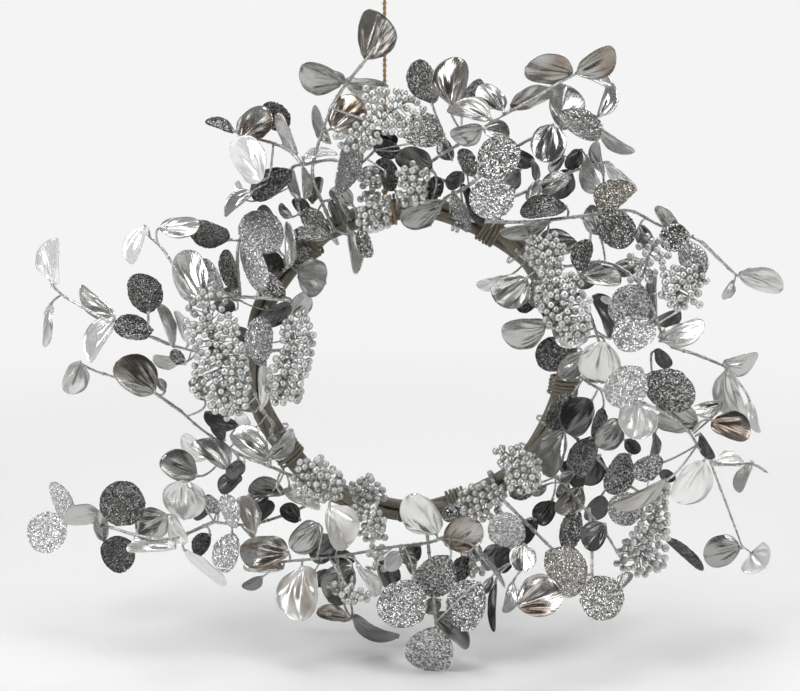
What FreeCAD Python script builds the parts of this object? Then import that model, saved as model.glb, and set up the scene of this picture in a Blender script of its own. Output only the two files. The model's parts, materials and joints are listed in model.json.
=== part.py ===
import FreeCAD, Part
import math
import os

# A hanging wreath: a ring of three twisted canes, bound with cord at intervals, hung
# from a twine with a small loop, and dressed with wired sprays of silver eucalyptus
# leaves (smooth and glitter-coated) and clusters of berries.
# The origin is the centre of the ring, whose plane is XZ.  +Z is up, +X is right and
# the dressed front faces -Y.  All sizes are in millimetres.

os.makedirs("parts", exist_ok=True)
doc = FreeCAD.newDocument("wreath")
V = FreeCAD.Vector
UP = V(0, 0, 1)

# ---------------------------------------------------------------- dimensions
DIMENSIONS = {
    "ring_radius": 132.5,
    "cane_radius": 4.5,
    "cane_lay": 5.6,  # from the ring's centre line to a cane's centre line
    "cane_twists": 3,
    "wrap_radius": 11.9,
    "wrap_cord_radius": 1.45,
    "wrap_pitch": 3.3,
    "wrap_turns": 5,
    "hitch_radius": 11.9,
    "hitch_cord_radius": 1.3,
    "hitch_pitch": 2.8,
    "hitch_turns": 5,
    "hitch_angle": 98.5,
    "tie_radius": 13.6,
    "tie_wire_radius": 0.45,
    "tie_spacing": 1.3,
    "knot_radius": 3.0,
    "knot_wrap_radius": 2.0,
    "knot_wrap_cord": 1.3,
    "knot_distance": 17.1,
    "twine_radius": 1.5,
    "cord_gap": 4.0,  # from the knot's centre to the foot of the cord
    "cord_length": 240,
    "loop_radius": 11,
    "loop_knot_radius": 2.6,
    "loop_knot_height": 4.4,
    "main_stem_radius": 0.95,
    "petiole_radius": 0.65,
    "small_petiole_radius": 0.5,
    "stalk_radius": 0.7,
    "leaf_thickness": 0.7,
    "glitter_leaf_thickness": 1.2,
    "berry_radius": 2.85,
}
dims = doc.addObject("Spreadsheet::Sheet", "dims")
for row, (alias, value) in enumerate(DIMENSIONS.items(), 1):
    dims.set("A%d" % row, str(value))
    dims.setAlias("A%d" % row, alias)
doc.recompute()

parts = []


def size(alias):
    return float(dims.get(alias))


def keep(piece, label):
    piece.Label = label
    parts.append(piece)


def add(kind, name, placement=None, **bindings):
    """Add an object and bind its properties to expressions of the dimensions."""
    item = doc.addObject(kind, name)
    for prop, expression in bindings.items():
        item.setExpression(prop, expression)
    if placement:
        item.Placement = placement
    return item


def add_sweep(name, spine, profile, frenet=True):
    sweep = doc.addObject("Part::Sweep", name)
    sweep.Sections = [profile]
    sweep.Spine = (spine, ["Edge%d" % (i + 1) for i in range(len(spine.Shape.Edges))])
    sweep.Solid = True
    sweep.Frenet = frenet
    return sweep


def facing(point, direction):
    """Placement at a point with local Z turned to a direction."""
    return FreeCAD.Placement(point, FreeCAD.Rotation(UP, direction))


def upright(point):
    return FreeCAD.Placement(point, FreeCAD.Rotation())


def radial(angle):
    turn = math.radians(angle)
    return V(math.cos(turn), 0, math.sin(turn))


def along_ring(angle, shift):
    """Placement on the ring's centre line, local Z on the tangent, shifted along it."""
    turn = math.radians(angle)
    tangent = V(-math.sin(turn), 0, math.cos(turn))
    return facing(radial(angle) * size("ring_radius") + tangent * shift, tangent)


# ---------------------------------------------------------------- ring canes
# Each cane goes once round the ring; its two ends butt together at the lower right.
CANES = {"ring_cane_first": 0, "ring_cane_second": 120, "ring_cane_third": 240}
CANE_START_ANGLE = -64
CANE_END_GAP = 1.2
CANE_STEPS = 144


def build_cane(label, lead):
    lay_radius = size("cane_lay")
    start = math.radians(CANE_START_ANGLE)
    sweep_angle = 2 * math.pi - CANE_END_GAP / size("ring_radius")
    points = []
    for i in range(CANE_STEPS + 1):
        angle = start + sweep_angle * i / CANE_STEPS
        lay = size("cane_twists") * angle + math.radians(lead)
        radius = size("ring_radius") + lay_radius * math.cos(lay)
        points.append(V(
            radius * math.cos(angle), lay_radius * math.sin(lay), radius * math.sin(angle)
        ))
    curve = Part.BSplineCurve()
    curve.interpolate(points)
    path = doc.addObject("Part::Feature", label + "_path")
    path.Shape = Part.Wire([curve.toShape()])
    edge = path.Shape.Edges[0]
    first = edge.FirstParameter
    section = add(
        "Part::Circle", label + "_section",
        facing(edge.valueAt(first), edge.tangentAt(first)), Radius="dims.cane_radius",
    )
    doc.recompute()
    keep(add_sweep(label + "_sweep", path, section, frenet=False), label)


for label, lead in CANES.items():
    build_cane(label, lead)

# ---------------------------------------------------------------- coils on the ring
# Five short coils of cord bind the canes; a sixth, the hitch, holds the hanger.
WRAP_ANGLES = {
    "cord_wrap_upper_left": 130.8,
    "cord_wrap_upper_right": 59.7,
    "cord_wrap_right": -9.1,
    "cord_wrap_lower_left": 216.7,
    "cord_wrap_bottom": 288.0,
}


def coil_profile(kind):
    """Helix and cord section for the dimensions whose aliases start with kind."""
    radius = size(kind + "_radius")
    path = add(
        "Part::Helix", kind + "_path",
        Radius="dims.%s_radius" % kind,
        Pitch="dims.%s_pitch" % kind,
        Height="dims.%s_pitch * dims.%s_turns" % (kind, kind),
    )
    section = add(
        "Part::Circle", kind + "_section",
        facing(V(radius, 0, 0), V(0, 2 * math.pi * radius, size(kind + "_pitch"))),
        Radius="dims.%s_cord_radius" % kind,
    )
    doc.recompute()
    return path, section


def build_coil(label, kind, profile, angle):
    coil = add_sweep(label + "_sweep", *profile)
    coil.Placement = along_ring(angle, -size(kind + "_pitch") * size(kind + "_turns") / 2)
    keep(coil, label)


wrap_profile = coil_profile("wrap")
for label, angle in WRAP_ANGLES.items():
    build_coil(label, "wrap", wrap_profile, angle)
build_coil("hanger_hitch", "hitch", coil_profile("hitch"), size("hitch_angle"))

# ---------------------------------------------------------------- hanger
# A knot above and behind the hitch, the straight twine, and a knotted loop at its top.
KNOT_OUTWARD = 0.82  # share of knot_distance away from the ring's centre
KNOT_BACKWARD = 0.572  # share of knot_distance towards the back
KNOT_TURNS = [("a", V(1, 0, 0), 25), ("b", V(0, 1, 0), 70)]  # name, tilt axis, tilt angle
LOOP_KNOT_GAP = 0.3
LOOP_RING_GAP = 0.2

hitch_out = radial(size("hitch_angle"))
knot_offset = hitch_out * KNOT_OUTWARD + V(0, KNOT_BACKWARD, 0)
knot_centre = hitch_out * size("ring_radius") + knot_offset * size("knot_distance")
cord_foot = knot_centre + UP * size("cord_gap")
loop_foot = cord_foot + UP * (size("cord_length") + LOOP_KNOT_GAP)


def build_knot():
    knot = add("Part::Sphere", "knot_core", upright(knot_centre), Radius="dims.knot_radius")
    for name, axis, tilt in KNOT_TURNS:
        turn = add(
            "Part::Torus", "knot_turn_" + name,
            FreeCAD.Placement(knot_centre, FreeCAD.Rotation(axis, tilt)),
            Radius1="dims.knot_wrap_radius", Radius2="dims.knot_wrap_cord",
        )
        fuse = doc.addObject("Part::Fuse", "knot_with_turn_" + name)
        fuse.Base = knot
        fuse.Tool = turn
        knot = fuse
    keep(knot, "hanger_knot")


def build_loop():
    knot = add(
        "Part::Cylinder", "loop_knot", upright(loop_foot),
        Radius="dims.loop_knot_radius", Height="dims.loop_knot_height",
    )
    rise = size("loop_knot_height") + size("loop_radius") + size("twine_radius") + LOOP_RING_GAP
    ring = add(
        "Part::Torus", "loop_ring",
        FreeCAD.Placement(loop_foot + UP * rise, FreeCAD.Rotation(V(1, 0, 0), 90)),
        Radius1="dims.loop_radius", Radius2="dims.twine_radius",
    )
    loop = doc.addObject("Part::Compound", "loop")
    loop.Links = [ring, knot]
    keep(loop, "hanger_loop")


build_knot()
keep(add(
    "Part::Cylinder", "cord", upright(cord_foot),
    Radius="dims.twine_radius", Height="dims.cord_length",
), "hanger_cord")
build_loop()

# ---------------------------------------------------------------- wire ties
# Two closed turns of wire at each place where a main stem is tied to the ring.
TIE_ANGLES = [
    120.8, 92.5, 82.2, 71.1, 73.0, 46.8, 29.6, 4.1,
    335.7, 322.1, 304.4, 273.6, 304.8, 228.9, 238.9, 208.0,
]


def build_ties():
    turns = []
    for i, angle in enumerate(TIE_ANGLES, 1):
        for name, side in (("a", -1), ("b", 1)):
            turns.append(add(
                "Part::Torus", "tie_%d_%s" % (i, name),
                along_ring(angle, side * size("tie_spacing") / 2),
                Radius1="dims.tie_radius", Radius2="dims.tie_wire_radius",
            ))
    ties = doc.addObject("Part::Compound", "ties")
    ties.Links = turns
    keep(ties, "floral_wire_ties")


build_ties()


# ---------------------------------------------------------------- faceted solids
def faceted_solid(loops):
    """Solid bounded by flat faces, each given as a loop of corners."""
    faces = [Part.Face(Part.makePolygon(loop + [loop[0]])) for loop in loops]
    shell = Part.makeShell(faces)
    shell.sewShape()
    # Sewing may wrap the shell in a compound.
    if shell.ShapeType != "Shell":
        shell = shell.Shells[0]
    solid = Part.makeSolid(shell)
    if solid.Volume < 0:
        solid.reverse()
    return solid


def keep_solids(label, solids):
    piece = doc.addObject("Part::Feature", label)
    piece.Shape = Part.makeCompound(solids)
    keep(piece, label)


def numbers(word):
    return [float(number) for number in word.split(",")]


# ---------------------------------------------------------------- leaves
# A leaf is a thin cupped plate.  Each line of the table is one leaf:
# base point, direction from base to tip, face normal, then length, width, cup depth
# and lengthwise bend.
LEAF_STATIONS = [0.10, 0.32, 0.60, 0.86]  # shares of the length
LEAF_OUTLINE = [0.50, 0.93, 1.0, 0.70]  # shares of the width at those stations

LEAVES = {
"top_left_sprig_smooth_leaves": """
-35.23,-53.27,263.92 0.2202,0.5269,0.8209 0.5812,-0.7468,0.3234 42.83,36.73,5.07,-2.76
-54.12,-37.18,241.23 -0.8807,-0.2493,0.4028 -0.0939,-0.7416,-0.6642 38.71,35.53,4.88,-0.60
-54.44,-25.14,239.76 0.9637,-0.2614,-0.0551 -0.2294,-0.7039,-0.6722 37.16,33.13,4.52,-1.63
""",
"upper_left_sprig_smooth_leaves": """
-139.2,-43.08,199.07 0.6979,0.2495,0.6714 -0.2952,-0.7538,0.587 33.39,29.98,-4.09,-1.68
-119.27,-59.28,166.62 -0.6103,0.4346,0.6623 -0.64,-0.7632,-0.0888 42.35,36.90,-5.05,0.79
-92.35,-44.55,186.25 -0.3482,-0.1773,0.9205 -0.7827,-0.4854,-0.3896 37.15,24.20,3.32,0.98
""",
"upper_left_sprig_glitter_leaves": """
-144.81,-22.1,200.92 -0.9296,0.0078,0.3685 0.3553,-0.2471,0.9015 24.46,20.45,1.70,-1.23
-100.42,-25.08,203.82 -0.6941,-0.056,0.7177 -0.2786,-0.8984,-0.3395 27.66,25.50,2.13,0.22
""",
"top_right_sprig_smooth_leaves": """
80.09,-52.81,223.09 0.9245,-0.0213,0.3805 0.2904,-0.607,-0.7398 36.11,32.85,-4.53,-2.53
127.47,-74.96,252.94 -0.9815,-0.1506,0.1184 0.0351,-0.7487,-0.662 38.97,34.64,-4.87,-2.28
131.62,-71.95,254.95 0.8591,0.0342,0.5106 0.3225,-0.8108,-0.4885 33.64,30.67,4.30,-1.04
133.71,-46.75,252.82 0.9041,-0.2476,-0.3483 0.2572,-0.3357,0.9062 29.62,26.77,3.70,-1.77
""",
"right_upper_sprig_smooth_leaves": """
271.77,-26.01,81.28 0.9371,-0.205,-0.2825 -0.3452,-0.6635,-0.6638 38.90,35.68,-4.75,-1.92
268.57,-26.44,76.28 -0.531,-0.3897,-0.7524 0.6676,-0.7392,-0.0883 18.24,13.39,1.78,-0.39
""",
"right_middle_sprig_smooth_leaves": """
261.83,-33.21,6.8 0.9302,0.3668,0.0116 0.3183,-0.7907,-0.523 32.64,27.78,3.66,-2.06
263.23,-36.12,2.38 0.2977,-0.0503,-0.9533 -0.8321,-0.5032,-0.2333 46.65,41.45,5.47,-2.54
288.03,-14.78,-31.27 0.1931,-0.5189,-0.8327 0.7907,-0.4202,0.4452 27.80,25.39,-3.32,-0.79
""",
"right_lower_sprig_smooth_leaves": """
281.52,-38.15,-153.79 -0.9644,-0.2292,-0.1322 0.2386,-0.9692,-0.0603 33.63,29.53,-3.84,-2.13
294.21,-15.34,-166.41 0.2672,-0.9585,-0.0996 -0.7017,-0.2644,0.6616 30.57,30.86,3.98,-0.12
""",
"far_left_sprig_smooth_leaves": """
-296.37,-32.31,74.16 0.0418,0.1179,0.9921 -0.7633,-0.6369,0.1078 39.03,35.26,4.71,-2.66
-249,-15.77,43.91 -0.7236,-0.1672,0.6697 0.6895,-0.2198,0.6901 38.02,35.47,-4.69,0.66
-300.69,-20.36,55.29 -0.3846,0.024,-0.9228 0.6574,-0.6946,-0.2921 12.17,9.02,1.19,-0.44
-301.36,-32.54,52.11 -0.1717,-0.0094,-0.9851 -0.8448,-0.513,0.1521 31.22,18.73,-2.49,-0.89
-244.77,-46.87,48.66 -0.5348,-0.0881,-0.8404 -0.7157,-0.4814,0.506 41.43,36.96,4.95,-1.69
""",
"far_left_sprig_glitter_leaves": """
-214.82,-61.33,57.11 -0.22,0.5077,0.833 0.4918,-0.6797,0.5441 35.48,31.39,2.60,-1.20
-213.25,-50.55,40.22 -0.9409,-0.3134,0.1288 0.27,-0.4638,0.8438 31.75,29.61,2.45,0.51
""",
"lower_left_sprig_smooth_leaves": """
-201.66,-52.29,-122.14 0.5501,-0.4345,-0.7132 -0.6949,-0.7118,-0.1024 25.65,23.15,3.04,-0.70
-191.18,-46.85,-153.4 0.6462,0.1981,-0.737 -0.4708,-0.6566,-0.5892 48.83,25.56,-3.32,-1.53
-262.06,-41.7,-123.04 -0.9734,-0.2198,-0.0647 0.2143,-0.774,-0.5958 32.02,29.70,-3.88,-0.89
-259.99,-43.83,-145.51 0.0066,0.0064,1 0.9585,-0.2849,-0.0045 32.01,28.26,-3.69,0.12
-206.93,-42.57,-122.75 -0.7669,0.1912,-0.6126 -0.1884,-0.9796,-0.0699 32.65,28.86,-3.76,-1.84
-197.14,-68.68,-143 -0.9944,-0.1056,-0.006 0.0018,-0.074,0.9973 40.69,31.33,4.14,0.11
""",
"lower_left_sprig_glitter_leaves": """
-171.26,-30.19,-144.88 -0.652,0.0174,-0.758 -0.5393,-0.7134,0.4475 21.61,18.95,1.51,0.16
-294.64,-25.13,-134.01 -0.8364,0.0761,-0.5429 -0.2782,-0.9122,0.3008 38.47,34.29,2.72,0.17
-293.21,-33.99,-131.9 -0.247,0.0314,0.9685 -0.7298,-0.6636,-0.1646 36.44,32.62,-2.61,0
-229.42,-53.22,-125.36 -0.5959,-0.0391,0.8021 0.1839,-0.9789,0.0889 40.21,36.93,2.99,-0.09
-233.4,-59.18,-141.92 -0.7135,0.3101,-0.6282 -0.4105,-0.9117,0.0162 36.19,31.25,2.52,-0.36
""",
"crown_left_smooth_leaves": """
-64.39,-52.68,206.96 0.7246,-0.0765,0.6849 -0.2757,-0.943,0.1864 34.60,31.44,-4.33,-0.60
-65.41,-49.11,195.09 -0.387,0.4172,0.8223 -0.8766,-0.443,-0.1877 34.10,24.26,3.32,0.25
-87.47,-45.74,183.17 0.964,0.2561,0.0721 -0.0073,-0.2456,0.9693 29.20,18.26,2.49,-1.05
-91.97,-28.05,144.75 -0.2213,0.1058,0.9694 0.916,-0.3185,0.2439 25.24,20.54,-2.76,0.58
-86.61,-37.05,148.01 -0.0712,0.5035,0.8611 0.9225,-0.2952,0.2489 28.03,20.49,2.76,-0.82
-82,-11.73,139.33 0.3321,0.0387,0.9424 0.7544,-0.6106,-0.2408 22.99,20.89,-2.78,-0.72
-84.87,-25.33,127.54 -0.5713,0.0159,0.8206 0.7185,-0.4735,0.5094 21.33,19.45,2.61,-0.79
-97.6,-33.93,131.65 -0.6867,0.4917,0.5355 -0.6648,-0.7228,-0.1888 16.01,11.63,1.56,-0.21
-129.19,-46.61,154.63 -0.7668,0.0755,-0.6375 -0.6216,-0.3351,0.708 30.43,27.22,3.69,-1.09
-138.21,-25.18,145.91 -0.335,0.4118,0.8474 -0.7274,-0.6847,0.0452 15.44,11.36,1.52,0.13
17.32,-26.57,169.42 -0.9225,0.01,0.3859 -0.2245,-0.8271,-0.5152 32.00,28.86,-3.89,-0.30
-33.65,-10.23,198.38 0.9271,-0.3023,-0.2215 -0.3722,-0.6735,-0.6387 24.90,22.19,2.98,-0.42
-66.71,-21.36,143.56 0.5118,-0.0941,-0.854 -0.591,-0.76,-0.2704 24.05,21.81,-2.92,-0.39
-48.25,-35.27,141.88 -0.809,-0.0954,0.58 -0.259,-0.828,-0.4974 22.07,20.10,-2.72,-0.90
-40.34,-25.04,117.41 0.6472,0.0455,0.7609 0.6329,-0.5884,-0.5032 29.43,26.61,3.56,-0.20
""",
"crown_left_glitter_leaves": """
-56.97,-71.83,157.39 0.2068,0.0462,0.9773 0.8865,-0.4314,-0.1672 47.47,43.26,3.68,-0.21
-8.92,-23.78,185.51 -0.9199,0.377,0.1076 -0.3706,-0.7466,-0.5525 25.07,22.30,1.85,0.11
-21.17,-35.61,165.95 -0.9643,0.2591,0.0543 -0.0267,-0.2989,0.9539 25.53,22.81,1.90,-1.71
-70.55,-33.72,127.44 -0.9123,-0.1535,0.3797 0.3666,-0.7195,0.5899 21.35,19.45,-1.61,-0.05
-66.43,-36.83,116.34 -0.9938,-0.1107,-0.0044 0.069,-0.5871,-0.8066 32.06,28.97,-2.40,-0.59
-98.8,-32.93,170.45 -0.7421,-0.3406,-0.5773 -0.3809,-0.4944,0.7813 38.95,34.98,2.92,-0.23
26.47,-52.69,202.91 -0.9854,-0.0765,0.1524 0.1506,-0.8091,0.568 34.29,30.85,2.61,-1.47
-13.08,-9.7,149.9 -0.4752,-0.1225,0.8713 0.7702,-0.5367,0.3446 29.48,27.07,2.22,-0.79
""",
"crown_right_smooth_leaves": """
31.49,-38.49,224.42 0.1398,0.0353,0.9895 -0.6103,-0.7839,0.1142 38.93,35.86,4.91,-2.04
74.46,-36.81,220.95 -0.5653,0.5023,0.6543 0.2903,-0.6213,0.7278 29.41,25.80,-3.51,-1.87
62.49,-72.42,218.56 -0.8906,0.3901,0.2339 0.0675,-0.3952,0.9161 36.23,32.35,4.49,-2.09
55.97,-78.85,211.5 -0.9348,0.1409,-0.3259 0.0747,-0.8193,-0.5685 26.10,23.71,3.31,-1.87
57.44,-81.47,211.88 0.954,0.0319,-0.2983 0.2248,-0.7343,0.6405 21.66,19.45,2.72,-1.58
114.43,-46.96,209.38 -0.2637,-0.4349,-0.861 0.1646,-0.8998,0.4041 32.35,28.97,3.98,0.09
140.05,-16.42,184.38 -0.6337,-0.3289,-0.7001 0.4159,-0.908,0.0501 19.85,14.61,1.96,-0.42
126.19,-5.35,177.67 -0.493,-0.5379,-0.6838 -0.4825,-0.485,0.7294 19.51,14.04,1.88,0.37
102.52,-30.21,160.91 -0.1939,-0.1001,0.9759 -0.8799,-0.4222,-0.2181 18.94,14.45,-1.95,0.19
131.24,-17.44,167.93 -0.643,0.1999,-0.7393 0.2828,-0.8351,-0.4718 30.83,28.68,3.83,0.01
129.79,-36.87,164.51 -0.8808,0.1186,-0.4584 -0.4478,-0.5233,0.725 26.41,24.25,3.28,0.47
103.63,-38.05,163.05 -0.4301,-0.3118,-0.8472 -0.5909,-0.6123,0.5253 19.23,14.28,-1.94,-1.02
158.62,-16.44,164.43 -0.2221,0.0777,0.9719 -0.9202,-0.3461,-0.1826 27.87,24.73,3.32,-1.17
153.57,-46.9,154.68 -0.3434,0.5785,0.7399 -0.9153,-0.3826,-0.1256 34.52,30.46,4.13,-1.63
159.36,-31.72,176.86 0.7252,-0.3335,-0.6023 -0.6858,-0.4279,-0.5887 35.08,28.54,3.87,1.01
151.92,-25.93,203.94 0.8185,-0.2229,-0.5295 -0.5682,-0.4502,-0.6888 36.47,24.47,3.32,-1.68
120.91,-36.28,206.23 0.1738,0.5664,0.8056 0.4767,-0.7642,0.4344 38.95,33.42,4.53,-0.83
153.26,-35.29,215.06 0.3201,0.3362,0.8857 0.8305,-0.5494,-0.0916 31.50,27.89,3.80,-1.71
90.79,-3.92,165.72 -0.7024,-0.2658,-0.6603 0.6031,-0.7148,-0.3539 23.82,21.24,2.83,-0.63
33.91,-17.03,176.18 -0.5054,0.3111,0.8048 -0.4569,-0.8877,0.0563 19.48,14.50,1.94,-0.69
77.74,-11.47,183.62 0.881,-0.4083,-0.2388 -0.4634,-0.6434,-0.6094 27.43,24.79,3.33,0.29
""",
"crown_right_glitter_leaves": """
17.35,-11.16,221.63 -0.3029,-0.0785,0.9498 -0.6955,-0.6631,-0.2766 38.28,35.49,2.95,-1.56
45.12,-14.99,226.24 0.5409,-0.1994,0.8171 0.5437,-0.6583,-0.5206 20.63,19.26,1.60,-0.14
52.47,-96.13,179.17 0.8059,-0.1758,0.5653 -0.4514,-0.8004,0.3946 38.25,35.06,3.04,-1.97
49.89,-80.83,173.45 -0.5025,0.0321,0.864 0.6957,-0.5783,0.4261 23.96,21.74,1.86,0.72
122.42,-44.91,221.23 0.6916,-0.4645,-0.553 0.2846,-0.5285,0.7998 39.10,34.94,2.96,-0.20
""",
"right_upper_smooth_leaves": """
24.05,-24.44,139.93 -0.9186,-0.3097,-0.2454 0.3945,-0.7537,-0.5256 35.90,32.03,4.30,-0.53
43.02,-17.88,166.33 -0.6586,-0.0458,-0.7511 0.2075,-0.9705,-0.1229 18.69,14.15,-1.90,0.10
42.25,-18.34,156.41 0.316,-0.5509,-0.7724 0.7865,-0.3031,0.538 40.16,28.77,3.87,0.83
111.2,-77.07,135.6 -0.9569,-0.2522,-0.1439 0.2653,-0.5579,-0.7864 42.28,27.96,3.87,-1.00
105.71,-29.08,119.03 -0.8949,0.3096,-0.3215 0.1046,-0.5547,-0.8254 22.53,18.60,-2.49,0.53
137.29,-28.63,108.86 -0.9678,-0.2178,-0.1265 0.0253,-0.584,0.8114 34.56,30.63,4.10,0.86
77.62,-39.29,82.44 -0.9588,0.0418,-0.2809 0.1859,-0.6554,-0.7321 24.83,22.46,3.01,-0.25
95.05,-50.96,84.11 -0.7498,-0.4557,-0.4797 0.0859,-0.786,0.6123 34.53,30.39,-4.12,-1.51
113.02,-50.09,41.8 -0.979,-0.2,-0.0383 0.1919,-0.8429,-0.5027 39.07,34.74,4.67,-2.61
145.02,-60.87,42.71 -0.9093,-0.3476,-0.2288 -0.12,-0.3073,0.944 29.49,25.90,-3.50,-1.44
139.43,-67.2,89.27 0.9441,-0.2965,-0.1442 0.0278,-0.3643,0.9308 31.74,29.09,3.97,0.72
217.94,-42.36,115.76 -0.5585,0.3282,0.7618 -0.8146,-0.3905,-0.4289 31.35,28.29,-3.81,-1.37
200.61,-54.04,45.29 0.0159,0.499,0.8665 -0.9578,-0.2412,0.1565 48.36,24.75,3.32,-0.65
223.64,-32.75,53.01 -0.7828,0.2383,-0.5748 0.1958,-0.7825,-0.5911 23.08,21.54,2.86,0.27
204.44,-52.17,34.68 0.9318,-0.0946,0.3504 -0.362,-0.3131,0.878 38.73,35.60,-4.78,-1.46
207.04,-38.89,28 0.9751,-0.2152,0.0532 -0.0887,-0.1588,0.9833 28.90,20.73,2.76,0.09
160.52,-88.37,70.84 -0.8342,0.3136,0.4536 0.1581,-0.652,0.7416 9.42,7.15,0.98,0.26
166.85,-41.2,31.99 -0.4026,-0.0411,0.9145 0.8379,-0.4187,0.3501 39.41,35.17,4.70,-1.76
157.77,-17.16,90.46 -0.7286,-0.3312,-0.5996 0.6132,-0.7055,-0.3553 29.18,25.85,3.43,0.80
190.28,-24.32,91.95 -0.9476,0.1942,-0.2538 -0.3176,-0.4849,0.8149 23.90,22.06,-2.93,-1.60
156.66,-23.18,114.52 -0.3272,0.0896,0.9407 0.7012,-0.6443,0.3053 26.32,23.76,-3.17,-0.35
190.31,-16.57,121.68 0.4733,-0.4373,-0.7646 0.5495,-0.5319,0.6444 24.80,22.36,-2.98,0.31
""",
"right_upper_glitter_leaves": """
26.59,-16.47,159.43 -0.8056,-0.2462,-0.5388 0.4012,-0.896,-0.1904 21.56,19.28,1.59,-0.32
35.57,-54.39,155.98 0.3475,-0.3729,-0.8603 0.8137,-0.336,0.4743 34.41,28.27,-2.38,-2.18
78.52,-112.82,167.71 -0.8471,-0.4447,-0.2911 0.2744,-0.8349,0.4771 38.34,33.34,2.92,1.02
124.82,-63.86,146.21 -0.9891,0.0463,-0.14 -0.1473,-0.3574,0.9223 37.30,33.76,2.85,-0.81
103.79,-33.23,66.73 -0.7753,-0.3143,-0.5478 0.4597,-0.8757,-0.1481 20.56,18.30,1.50,-0.33
116.97,-41.18,87.05 -0.4188,-0.5192,-0.745 -0.5901,-0.4681,0.6578 35.15,31.00,2.57,0.59
145.57,-54.98,116.58 -0.3756,-0.0071,-0.9268 -0.7785,-0.5401,0.3197 26.85,24.49,2.04,0.02
129.29,-35.05,26.2 -0.717,-0.417,-0.5585 0.214,-0.8943,0.393 30.96,28.24,2.31,-1.39
151.37,-73.42,144.69 0.6527,0.4752,0.59 -0.3113,-0.5417,0.7808 36.29,31.29,2.65,-2.32
155.43,-81.05,146.08 0.4111,-0.4374,-0.7998 0.1629,-0.828,0.5365 34.80,31.18,2.66,-0.46
226.76,-55.07,119.9 -0.9818,0.1122,-0.1534 -0.1593,-0.9262,0.3418 25.20,23.11,1.93,-0.05
222.52,-74.76,120.47 0.2091,0.049,-0.9767 -0.7,-0.6899,-0.1845 33.18,29.84,-2.52,0.78
188.68,-78.02,81.7 -0.66,-0.042,-0.7501 0.0748,-0.9971,-0.0099 37.08,33.75,2.84,0.36
194,-86.96,57.3 -0.7693,-0.3786,-0.5146 -0.1404,-0.6856,0.7143 36.78,32.29,2.73,-1.46
124.47,-28.29,43.42 -0.5626,0.4527,0.6918 0.0632,-0.8108,0.582 21.52,19.49,-1.59,-0.33
""",
"right_lower_smooth_leaves": """
146.53,-49.19,19.47 -0.6888,-0.361,-0.6286 -0.4295,-0.4953,0.7551 30.69,27.32,3.66,-0.19
156.87,-75.67,37.09 -0.12,0.1234,-0.9851 -0.2528,-0.9633,-0.0899 37.12,34.27,4.64,1.12
149.78,-59.03,-17.25 -0.6046,-0.3958,-0.6913 0.4157,-0.897,0.15 35.18,31.44,-4.21,-1.74
127.58,-63.93,-43.36 -0.3826,0.0578,-0.9221 -0.797,-0.5254,0.2978 41.19,36.84,4.90,0.85
186.38,-86.19,-13.96 -0.2068,-0.7873,-0.5808 0.1196,-0.6095,0.7837 35.40,32.34,4.42,-0.93
174.44,-49.01,-37.32 -0.6362,-0.3379,-0.6936 0.4616,-0.8871,0.0088 29.52,26.42,3.51,-0.81
239.23,-51.49,-40.94 -0.9583,-0.1846,0.2179 0.0523,-0.8635,-0.5017 36.70,31.99,-4.25,-2.47
260.73,-37.47,-25.83 -0.9495,-0.2149,-0.2285 -0.1659,-0.2743,0.9472 27.06,23.86,-3.15,0.06
249.7,-58.27,-34.66 0.8496,-0.429,-0.3068 0.0539,-0.508,0.8597 33.85,31.93,4.27,-2.21
241.52,-49.07,-49.45 0.4982,-0.418,-0.7596 -0.849,-0.413,-0.3296 23.57,21.73,2.88,0.01
245.83,-48.05,-73.32 -0.5403,-0.0611,-0.8393 0.3846,-0.905,-0.1816 41.98,37.89,4.99,0.37
255.19,-31,-79.46 0.996,-0.0853,0.0263 -0.0449,-0.224,0.9736 27.64,25.22,3.29,-1.85
285.75,-50.02,-73.59 -0.3905,-0.4644,-0.7949 -0.859,-0.1269,0.4961 28.78,25.84,3.42,-0.32
211.41,-77.76,-80.55 -0.897,-0.2552,-0.361 0.4342,-0.6618,-0.6112 50.59,32.93,4.42,-1.22
211.99,-26.25,-88.02 0.7705,-0.4812,-0.4181 0.0464,-0.6119,0.7896 15.58,12.24,-1.59,-0.84
142.56,-65.04,-91.57 -0.6823,-0.3244,-0.6551 -0.4665,-0.4967,0.7319 29.78,26.79,-3.56,0.66
113.05,-58.13,-91.16 -0.8152,-0.2301,-0.5315 -0.4001,-0.4397,0.8041 14.45,10.82,-1.43,-0.86
135.51,-56.62,-80.27 -0.7616,0.0907,-0.6416 -0.4259,-0.8163,0.3902 12.84,9.68,1.28,-0.40
157.06,-117.77,-105.14 -0.5956,0.055,-0.8014 -0.5632,-0.7399,0.3678 26.24,23.48,3.20,-1.00
204.87,-24.72,16.73 0.6694,-0.5325,-0.518 -0.7262,-0.6159,-0.3055 19.80,18.40,2.43,-0.27
206.96,-24.72,-54.86 -0.141,-0.4666,-0.8731 0.8671,-0.4838,0.1185 22.62,19.02,2.49,-0.98
162.9,-3.97,-81.51 -0.4534,-0.2918,-0.8422 0.6284,-0.7748,-0.0699 28.86,26.00,3.35,-1.09
127.11,-23.57,-81.75 0.565,-0.3858,-0.7294 0.5892,-0.4302,0.6839 29.23,26.80,3.49,0.02
182.32,-19.5,-63.46 0.7672,-0.3082,-0.5625 -0.3171,-0.9446,0.0849 16.23,12.40,1.61,-0.43
121.66,-13.45,-118.98 -0.4358,-0.5365,-0.7226 -0.4462,-0.5685,0.6912 24.97,22.78,2.94,-1.21
163.46,-23.85,-111.09 -0.4207,0.1395,-0.8964 0.4027,-0.8567,-0.3223 26.44,23.62,3.05,0.42
""",
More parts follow.
